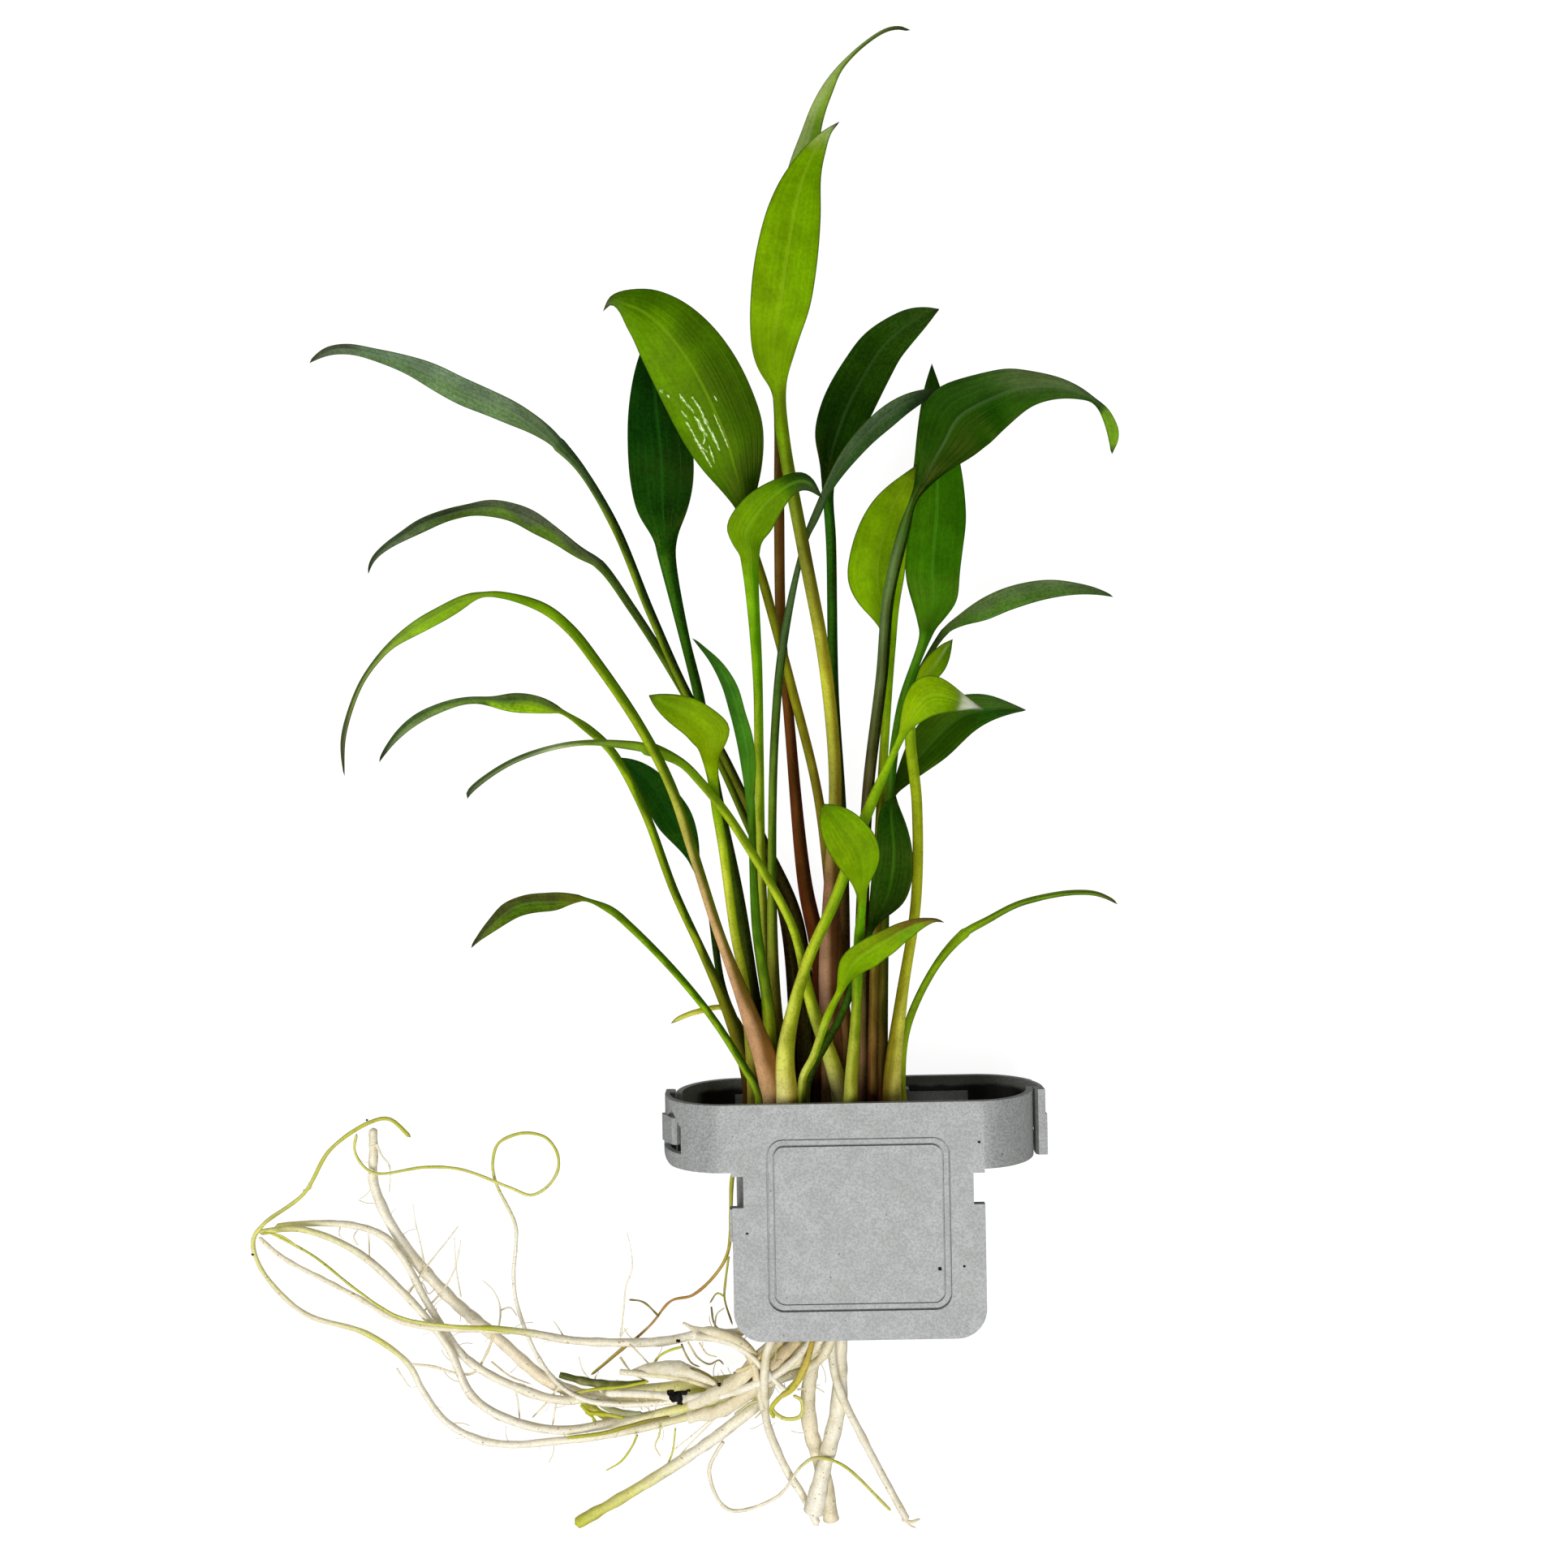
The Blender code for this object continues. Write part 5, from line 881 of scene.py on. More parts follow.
# Some stalks widen into a sheath at the foot: how much wider (mm), and over what length (mm).
SHEATHS = {
    "leaf_tall_front": (1.6, 70), "leaf_tall_back": (2.0, 85), "leaf_big_bright": (1.6, 70), "leaf_dark_left": (1.8, 70),
    "leaf_grey_arch_upper": (2.2, 60), "leaf_grey_arch_lower": (2.2, 60), "leaf_long_arch": (3.0, 42),
    "leaf_twisted": (1.8, 40), "leaf_edge_on": (1.8, 45), "leaf_small_light_left": (0.9, 40), "leaf_narrow_dark": (1.2, 60),
    "leaf_curled_over": (1.2, 50), "leaf_oblique": (1.5, 60), "leaf_dark_upper_right": (1.4, 70), "leaf_arch_right": (1.4, 60),
    "leaf_dark_behind": (1.0, 50), "leaf_small_light_right": (1.4, 36), "leaf_whitish_tip": (2.2, 38),
    "leaf_dark_right": (1.2, 50), "leaf_small_light_middle": (0.6, 30), "leaf_low_arch_right": (0.7, 24),
    "leaf_small_dark_left": (0.8, 30), "leaf_small_dark_middle": (0.8, 12), "leaf_brown_edge": (0.6, 12),
}
print(len(SHEATHS), "of the stalks widen at the foot")


def wander(share, seed, waves=5):
    """A smooth wobble between about -1 and 1 along the leaf, the same each run."""
    rng = np.random.default_rng(seed)
    total = np.zeros_like(share)
    for k in range(1, waves + 1):
        total += rng.uniform(-1, 1) * np.sin(2 * math.pi * (k * share * 1.3 + rng.uniform()))
    return total / math.sqrt(waves)


def grow_leaf(name, seed):
    foot, (stout, neck), fold, stem, blade = LEAVES[name]
    finish, rib_colour, waviness, stalk_rows, blade_rows = LOOKS[name]
    stalk = [(foot[0], STOCK_TOP + GAP, foot[1])] + [true_place(p) for p in stem]
    leafy = [(*true_place(row[:3]), row[3], row[4]) for row in blade]
    turn = leafy[0][4]
    rows = []
    for i, p in enumerate(stalk):
        t = i / len(stalk)
        rows.append((*p, stout + (neck - stout) * min(1.0, 3 * t), turn * max(0.0, 2 * t - 1), 0.0, i / len(stalk)))
    for i, row in enumerate(leafy):
        rows.append((*row, min(1.0, i / 3), 1 + i / (len(leafy) - 1)))
    line = spline(rows, 0.8)
    ease = smooth(line[:, 5], 0.0, 0.4)[:, None] * smooth(np.arange(len(line))[::-1], 0.0, 5.0)[:, None]
    line[:, :4] = line[:, :4] * (1 - ease) + evened(line[:, :4], 3) * ease
    ahead, side, up = frames(line, (0.0, 1.0, 0.0))
    ease = smooth(line[:, 5], 0.0, 0.6)[:, None]
    side = side * (1 - ease) + evened(side, 9) * ease
    side /= np.linalg.norm(side, axis=1)[:, None]
    up = np.cross(side, ahead)
    up /= np.linalg.norm(up, axis=1)[:, None]
    wide = np.clip(line[:, 3], 0.12, None)
    turned = np.radians(line[:, 4])
    leafiness = smooth(line[:, 5], 0.0, 1.0)
    travelled = np.concatenate([[0], np.cumsum(np.linalg.norm(np.diff(line[:, :3], axis=0), axis=1))])
    share = travelled / travelled[-1]
    extra, length = SHEATHS.get(name, (0.0, 1.0))
    wide = wide + extra * (1 - smooth(travelled, 0.0, length))
    across = np.cos(turned)[:, None] * side + np.sin(turned)[:, None] * up
    out = np.cos(turned)[:, None] * up - np.sin(turned)[:, None] * side
    angle = 2 * math.pi * np.arange(AROUND) / AROUND
    u, v = np.cos(angle)[None, :], np.sin(angle)[None, :]
    round_stalk = np.minimum(wide, stout * 1.15)
    thick = np.where(leafiness > 0, (1 - leafiness) * np.minimum(wide, neck) + leafiness * BLADE_THICK, round_stalk)
    thick = np.minimum(thick, wide)[:, None]
    w, leaf_share = wide[:, None], leafiness[:, None]
    off_rib = np.abs(u) * w / 2
    lift = fold * leaf_share * np.abs(u) * w / 2
    lift = lift - leaf_share * 0.16 * np.exp(-(off_rib / 0.5) ** 2) * (v > 0.05)
    lift = lift - leaf_share * 0.30 * np.exp(-(off_rib / 0.55) ** 2) * (v < -0.05)
    # The margins wave, each side by itself, more where the blade is broad.
    left, right = wander(share * 2.2, seed), wander(share * 2.2, seed + 50)
    wave = np.where(u < 0, left[:, None], right[:, None]) * np.abs(u) ** 2.2
    lift = lift + leaf_share * waviness * np.minimum(w, 8.0) / 6.0 * wave
    # A stalk is a little ribbed.
    rib = 1 + (1 - leaf_share) * 0.035 * np.cos(5 * angle[None, :] + seed)
    rings = (line[:, None, :3] + (u * w / 2 * rib)[..., None] * across[:, None, :]
             + (v * thick / 2 * rib + lift)[..., None] * out[:, None, :])
    # Colours: the stalk's rows, then the blade's, each with a left and a right half; the halves hold painted light and
    # shade as well as the leaf's own colours.
    place = line[:, 6]
    stalk_pair = between(stalk_rows, np.clip(place * len(stalk) / (len(stalk) - 1), 0, 1))
    blade_pair = between(blade_rows, np.clip(place - 1, 0, 1))
    into = smooth(place, 0.97, 1.03)[:, None]
    pair = [a * (1 - into) + b * into for a, b in zip(stalk_pair, blade_pair)]
    drift = 0.35 * wander(share * 3, seed + 9)[:, None]
    half = smooth(u - drift, -0.5, 0.5)[..., None]
    tint = pair[0][:, None, :] * (1 - half) + pair[1][:, None, :] * half
    ribs = np.broadcast_to(np.array(linear(rib_colour)), tint.shape).copy()
    near_tip = smooth(place, 1.78, 1.9)[:, None, None]
    ribs = ribs * (1 - near_tip) + tint * near_tip
    lay = np.stack([np.broadcast_to(u, tint.shape[:2]), np.broadcast_to(travelled[:, None], tint.shape[:2]),
                    np.broadcast_to(w, tint.shape[:2])], axis=-1)
    obj = skin(name.replace("leaf_", "blade_"), rings[:-1], line[-1, :3], finish,
               {"tint": tint[:-1], "rib": ribs[:-1]}, lay=lay[:-1],
               leafy=np.broadcast_to(leaf_share, tint.shape[:2])[:-1],
               seed=np.full(tint.shape[:2], float(seed))[:-1])
    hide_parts(name)
    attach(obj, "root")
    return obj


total = 0
for number, name in enumerate(LEAVES):
    total += len(grow_leaf(name, 11 + number).data.polygons)
print("28 leaves,", total, "faces")

# %% [markdown]
# ## Roots
# Washed roots are ivory and a little see-through, with yellow-green stretches where light reached
# them. They are round tubes of slowly changing thickness, so each is a loft of round rings along a
# smooth line, with small knots and a slow wander added, and its colours run along it.

# %% Root finish
IVORY = (240, 234, 216)
SHELL = (232, 224, 198)
TAN = (218, 204, 162)
LEMON = (214, 212, 116)
MOULD = (186, 188, 60)
PALE_OLIVE = (188, 186, 118)


def root_finish(name, rough):
    made, tree, shader = new_material(name)
    tint = attribute(tree, "tint").outputs["Color"]
    patch = place_group(tree, MOTTLE, Fine=1500.0, Broad=240.0)
    grain = map_range(tree, patch.outputs["Fine"], 0.3, 0.7, 0.88, 1.06)
    shade = tree.nodes.new("ShaderNodeCombineColor")
    for k in range(3):
        wire(tree, grain, shade.inputs[k])
    colour = mix_colour(tree, 1.0, tint, shade.outputs[0], "MULTIPLY")
    darken = map_range(tree, patch.outputs["Broad"], 0.52, 0.72, 0.0, 0.4)
    colour = mix_colour(tree, darken, colour, linear((190, 176, 124)))
    speck = map_range(tree, patch.outputs["Fine"], 0.62, 0.7, 0.0, 0.6)
    colour = mix_colour(tree, speck, colour, linear((120, 96, 46)))
    wire(tree, colour, shader.inputs["Base Color"])
    shader.inputs["Roughness"].default_value = rough
    shader.inputs["Specular IOR Level"].default_value = 0.35
    shader.inputs["Subsurface Weight"].default_value = 0.15
    shader.inputs["Subsurface Radius"].default_value = (1.0, 0.9, 0.7)
    shader.inputs["Subsurface Scale"].default_value = 0.0006
    bump = tree.nodes.new("ShaderNodeBump")
    bump.inputs["Strength"].default_value = 0.3
    bump.inputs["Distance"].default_value = 0.0002
    wire(tree, patch.outputs["Fine"], bump.inputs["Height"])
    wire(tree, bump.outputs["Normal"], shader.inputs["Normal"])
    return made


ROOT_SKIN = root_finish("root_skin", 0.42)

# %% Root courses
# Each root: its diameters at even shares of the way, where it leaves the stock (x, y, z), then its course.
ROOTS = {
    "root_outer_loop": (
        (2.6, 2.0, 1.6, 1.4, 1.0, 0.8, 0.75), (-11, 3.7, 4),
        [(-9, -14, 4), (-11.5, -24, 4.6), (-18.5, -30.5, 5.3), (-29, -34.5, 1.5), (-47, -38.5, 1.3),
         (-56.5, -39.5, 1.2), (-65, -40, 1.2), (-71, -39, 1.2), (-77, -35.5, 1.2), (-81, -30, 1.2),
         (-84, -24.5, 1.2), (-91.5, -19, 1.1), (-102, -15.5, 1.1), (-107, -11.5, 1.1), (-111, -6, 1),
         (-112, -1.5, 1), (-110, 1.5, 1), (-102.5, 7, 1), (-97.5, 15, 1), (-90, 20, 1),
         (-86.5, 20.5, 1), (-82.5, 17, 0.8)],
    ),
    "root_second": (
        (2.4, 1.2), (-12, 3.7, 10.6),
        [(-11.5, -14, 10.6), (-14, -23.5, 10.2), (-20.5, -29.5, 8), (-32, -33.5, 4.2), (-47, -36.5, 3.9),
         (-56, -37.5, 3.8), (-65, -35.5, 4), (-72, -31, 4.3), (-76.5, -21.5, 5.6),
         (-84.5, -11.5, 5.8), (-93.5, -3.5, 5.8), (-103.5, 0.5, 5.8), (-111, 0, 5.8)],
    ),
    "root_third": (
        (2.4, 1.2), (-7, 3.7, 12),
        [(-6, -14, 12.2), (-8.5, -23, 12.8), (-17, -27.5, 13.6), (-27.5, -29, 7), (-38, -30, 4),
         (-47, -31, 3.7), (-55, -32, 3.7), (-62.5, -30, 3.6), (-73, -24, 3.5), (-79.5, -14.5, 3.4),
         (-84.5, -5, 3.4), (-88, -1, 3.4), (-93.5, 1, 3.4), (-100.5, 1.5, 3.4), (-108, 1, 3.4)],
    ),
    "root_fourth": (
        (2.6, 2.4, 2.2, 2.3, 2.2, 1.6), (-14.5, 3.7, 7.4),
        [(-13, -15.5, 7.4), (-14.5, -22, 6.8), (-19.5, -27, 4.8), (-30.5, -30.5, 1.8),
         (-42.5, -31.5, 1.4), (-51.5, -31, 1.2), (-58.5, -28, 1.2), (-67, -20.5, 1.2),
         (-76.5, -12, 1.1), (-85, -1.5, 1), (-89.5, 8.5, 1), (-89.5, 14, 1.5), (-89.5, 19, 3.4)],
    ),
    "root_round_loop": (
        (2.2, 1.8, 1.2, 0.8, 0.6, 0.6, 0.55), (-4, 3.7, 14.5),
        [(-4.5, -15.5, 14.5), (-7, -24.5, 14), (-15.5, -29, 10.8), (-22, -30.6, 10.6), (-30.5, -32, 7),
         (-42.5, -33, 6.4), (-51, -32, 6.3), (-56, -29, 5.2), (-60, -23.5, 3.8), (-63.5, -14, 2),
         (-64, -8.5, 1), (-63.5, -3.5, 0.9), (-63.5, 0.5, 0.9), (-67, 8.5, 0.9), (-67.5, 12, 0.9),
         (-66.5, 15.5, 0.9), (-64, 17, 0.9), (-61, 17.5, 0.9), (-57.5, 16.5, 1), (-55.5, 13.5, 1.2),
         (-55.5, 10.5, 1.6), (-57.5, 7.5, 2), (-60.5, 6, 2.4), (-64.5, 7.5, 2.7), (-73.5, 11, 1.4),
         (-80, 11.5, 1.6), (-89, 10.5, 3), (-91.5, 12, 3), (-93, 15, 2.9), (-92.5, 18, 2.7)],
    ),
    "root_upper": (
        (2.2, 2.1, 1.9, 1.7, 1.4, 0.6, 0.5, 0.5), (-18, 3.7, 13),
        [(-19.5, -14, 12.6), (-22.5, -20, 11), (-28.5, -20, 7), (-37.5, -21.5, 3), (-53, -21, 4),
         (-61, -19.5, 6.4), (-68, -18.5, 6.4), (-75.5, -18, 6.8), (-85.5, -16, 8), (-93, -11, 8),
         (-101, -4.5, 8.2), (-109, 0, 8.2)],
    ),
    "root_low_left": (
        (2.6, 2.2), (-17.5, 3.7, 5),
        [(-16.5, -15.5, 4.2), (-16.5, -24, 2.6), (-17.5, -31, 1.6), (-24, -37, 1.6),
         (-33.5, -43.5, 1.5), (-43.5, -49.5, 1.4), (-53.5, -55, 1.2)],
    ),
    "root_down_left": (
        (1.8, 1.5), (-16.5, 3.7, 17),
        [(-14.5, -15.5, 17), (-17.5, -24, 16.8), (-18, -28.5, 16), (-18, -32, 13), (-17.5, -37.5, 6),
         (-14, -46, 1.2), (-11.5, -50, 1.1), (-8.5, -56, 1)],
    ),
    "root_down_middle": (
        (2.4, 2.6, 3.0, 3.2), (-7, 3.7, 7),
        [(-7.5, -14, 7.4), (-8.5, -23, 7.2), (-10, -32, 4), (-9.5, -39, 2), (-8, -44, 1.4),
         (-6, -55.5, 1.2)],
    ),
    "root_down_thick": (
        (2.4, 2.6, 3.1, 3.6), (-1, 3.7, 6.2),
        [(-3, -15.5, 6.2), (-4, -23, 6), (-4, -27.5, 5.2), (-4.5, -34.5, 3.4), (-7.5, -46, 4.2),
         (-9.5, -54, 3.8)],
    ),
    "root_down_right": (
        (2.0, 1.4), (-3, 3.7, 9.8),
        [(-5, -15.5, 9.6), (-5.5, -23, 9.2), (-4.5, -30, 7.5), (0, -40, 3), (2.5, -45, 1.5),
         (8, -55.5, 1)],
    ),
    "root_thin_loop": (
        (0.8, 0.6, 0.6), (-27, -50.9, 1.6),
        [(-27, -42, 1.2), (-28.5, -45.5, 0.8), (-26.5, -51.5, 0.8), (-24, -53, 0.8),
         (-16, -50.5, 1.4), (-11.5, -45, 4.6), (-9, -43.5, 5.6), (-4.5, -44.5, 6.4), (5, -53.5, 1)],
    ),
    "root_through_notch": (
        (0.9, 0.6, 0.45), (-21.4, 5.6, 3),
        [(-22, 12, 3), (-23.2, 9, 3), (-24.3, -5, 2.6), (-26.5, -9, 2.4), (-31, -13, 1.8),
         (-35, -14, 1.2), (-39, -18.5, 0.6), (-50, -27.5, 0.6)],
    ),
}

# Colours along each root: (share of the way, colour).
ROOT_LOOKS = {
    "root_outer_loop": [(0, TAN), (0.12, SHELL), (0.24, LEMON), (0.34, SHELL), (0.45, IVORY), (0.58, IVORY), (0.63, LEMON),
                        (0.7, SHELL), (0.8, LEMON), (0.9, MOULD), (1, MOULD)],
    "root_second": [(0, TAN), (0.2, SHELL), (0.35, LEMON), (0.45, SHELL), (0.6, IVORY), (0.85, SHELL), (1, LEMON)],
    "root_third": [(0, TAN), (0.2, SHELL), (0.36, LEMON), (0.5, SHELL), (0.7, IVORY), (0.92, SHELL), (1, LEMON)],
    "root_fourth": [(0, TAN), (0.14, SHELL), (0.3, MOULD), (0.4, (190, 180, 110)), (0.55, (226, 212, 182)), (0.85, IVORY), (1, SHELL)],
    "root_round_loop": [(0, TAN), (0.2, SHELL), (0.4, IVORY), (0.56, IVORY), (0.66, MOULD), (0.73, MOULD), (0.82, LEMON),
                        (0.9, MOULD), (1, LEMON)],
    "root_upper": [(0, TAN), (0.3, IVORY), (0.55, SHELL), (0.62, MOULD), (0.72, LEMON), (0.9, MOULD), (1, LEMON)],
    "root_low_left": [(0, TAN), (0.3, SHELL), (0.7, IVORY), (0.86, LEMON), (1, MOULD)],
    "root_down_left": [(0, TAN), (0.3, SHELL), (1, IVORY)],
    "root_down_middle": [(0, TAN), (0.4, SHELL), (1, (232, 220, 188))],
    "root_down_thick": [(0, TAN), (0.3, SHELL), (1, IVORY)],
    "root_down_right": [(0, TAN), (0.3, SHELL), (1, IVORY)],
    "root_thin_loop": [(0, SHELL), (0.5, SHELL), (0.7, MOULD), (1, LEMON)],
    "root_through_notch": [(0, MOULD), (0.25, MOULD), (0.5, (176, 130, 50)), (1, (150, 120, 60))],
}


# %% Tubes along a line
def tube(rows, sizes, around, step, seed, first=None, knots=0.05):
    """A round loft along rows. Its diameters are sizes, at even shares of the way."""
    line = spline(rows, step)
    ahead, side, up = frames(line, first)
    share = np.linspace(0, 1, len(line))
    radius = np.interp(share, np.linspace(0, 1, len(sizes)), sizes) / 2
    radius = radius * (1 + knots * wander(share * len(line) / 40, seed))
    angle = 2 * math.pi * np.arange(around) / around
    lump = 1 + knots * 0.6 * np.sin(angle[None, :] * 2 + 4 * wander(share * len(line) / 60, seed + 1)[:, None])
    ring = (np.cos(angle)[None, :, None] * side[:, None, :] + np.sin(angle)[None, :, None] * up[:, None, :])
    rings = line[:, None, :3] + (radius[:, None] * lump)[..., None] * ring
    return line, rings, share


def colours_along(rows, share, around, painted_flank_shade=0.0, seed=0):
    """The colours of rows along a tube. Its two flanks, which face sideways, are made darker towards olive by up to the
    given share: painted shade of the see-through root's edges.
    """
    at = [row[0] for row in rows]
    picked = np.array([linear(row[1]) for row in rows])
    line = np.stack([np.interp(share, at, picked[:, k]) for k in range(3)], axis=-1)
    angle = 2 * math.pi * np.arange(around) / around
    slow = wander(share * len(line) / 30, 300 + seed)[:, None]
    # The flanks turn olive: painted shade.
    dark = np.abs(np.cos(angle[None, :] + 0.35 * slow)) ** 3 * painted_flank_shade * (1 + 0.5 * slow)
    olive = np.array(linear((112, 100, 38)))
    return line[:, None, :] * (1 - dark[..., None]) + olive * dark[..., None]


ROOT_AROUND = 14
root_lines = {}
total = 0
for number, (name, (sizes, foot, seen)) in enumerate(ROOTS.items()):
    rows = [foot] + [true_place(p) for p in seen]
    first = (0.0, -1.0, 0.0) if foot[1] == 3.7 else None
    line, rings, share = tube(rows, sizes, ROOT_AROUND, 0.7, 70 + number, first, knots=0.09)
    root_lines[name] = line
    # Root flanks are painted up to about a third darker: painted shade.
    obj = skin(name.replace("root_", "rootlet_"), rings[:-1], line[-1, :3], ROOT_SKIN,
               {"tint": colours_along(ROOT_LOOKS[name], share, ROOT_AROUND, 0.32, number)[:-1]})
    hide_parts(name)
    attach(obj, "root")
    total += len(obj.data.polygons)
print(len(ROOTS), "roots,", total, "faces")

# %% [markdown]
# ## Side roots and loose threads
# Threads too thin for a solid of their own grow from the roots. The ones that can be told apart are
# given as short courses, in the same seen places as the roots, and drawn with the same tube.

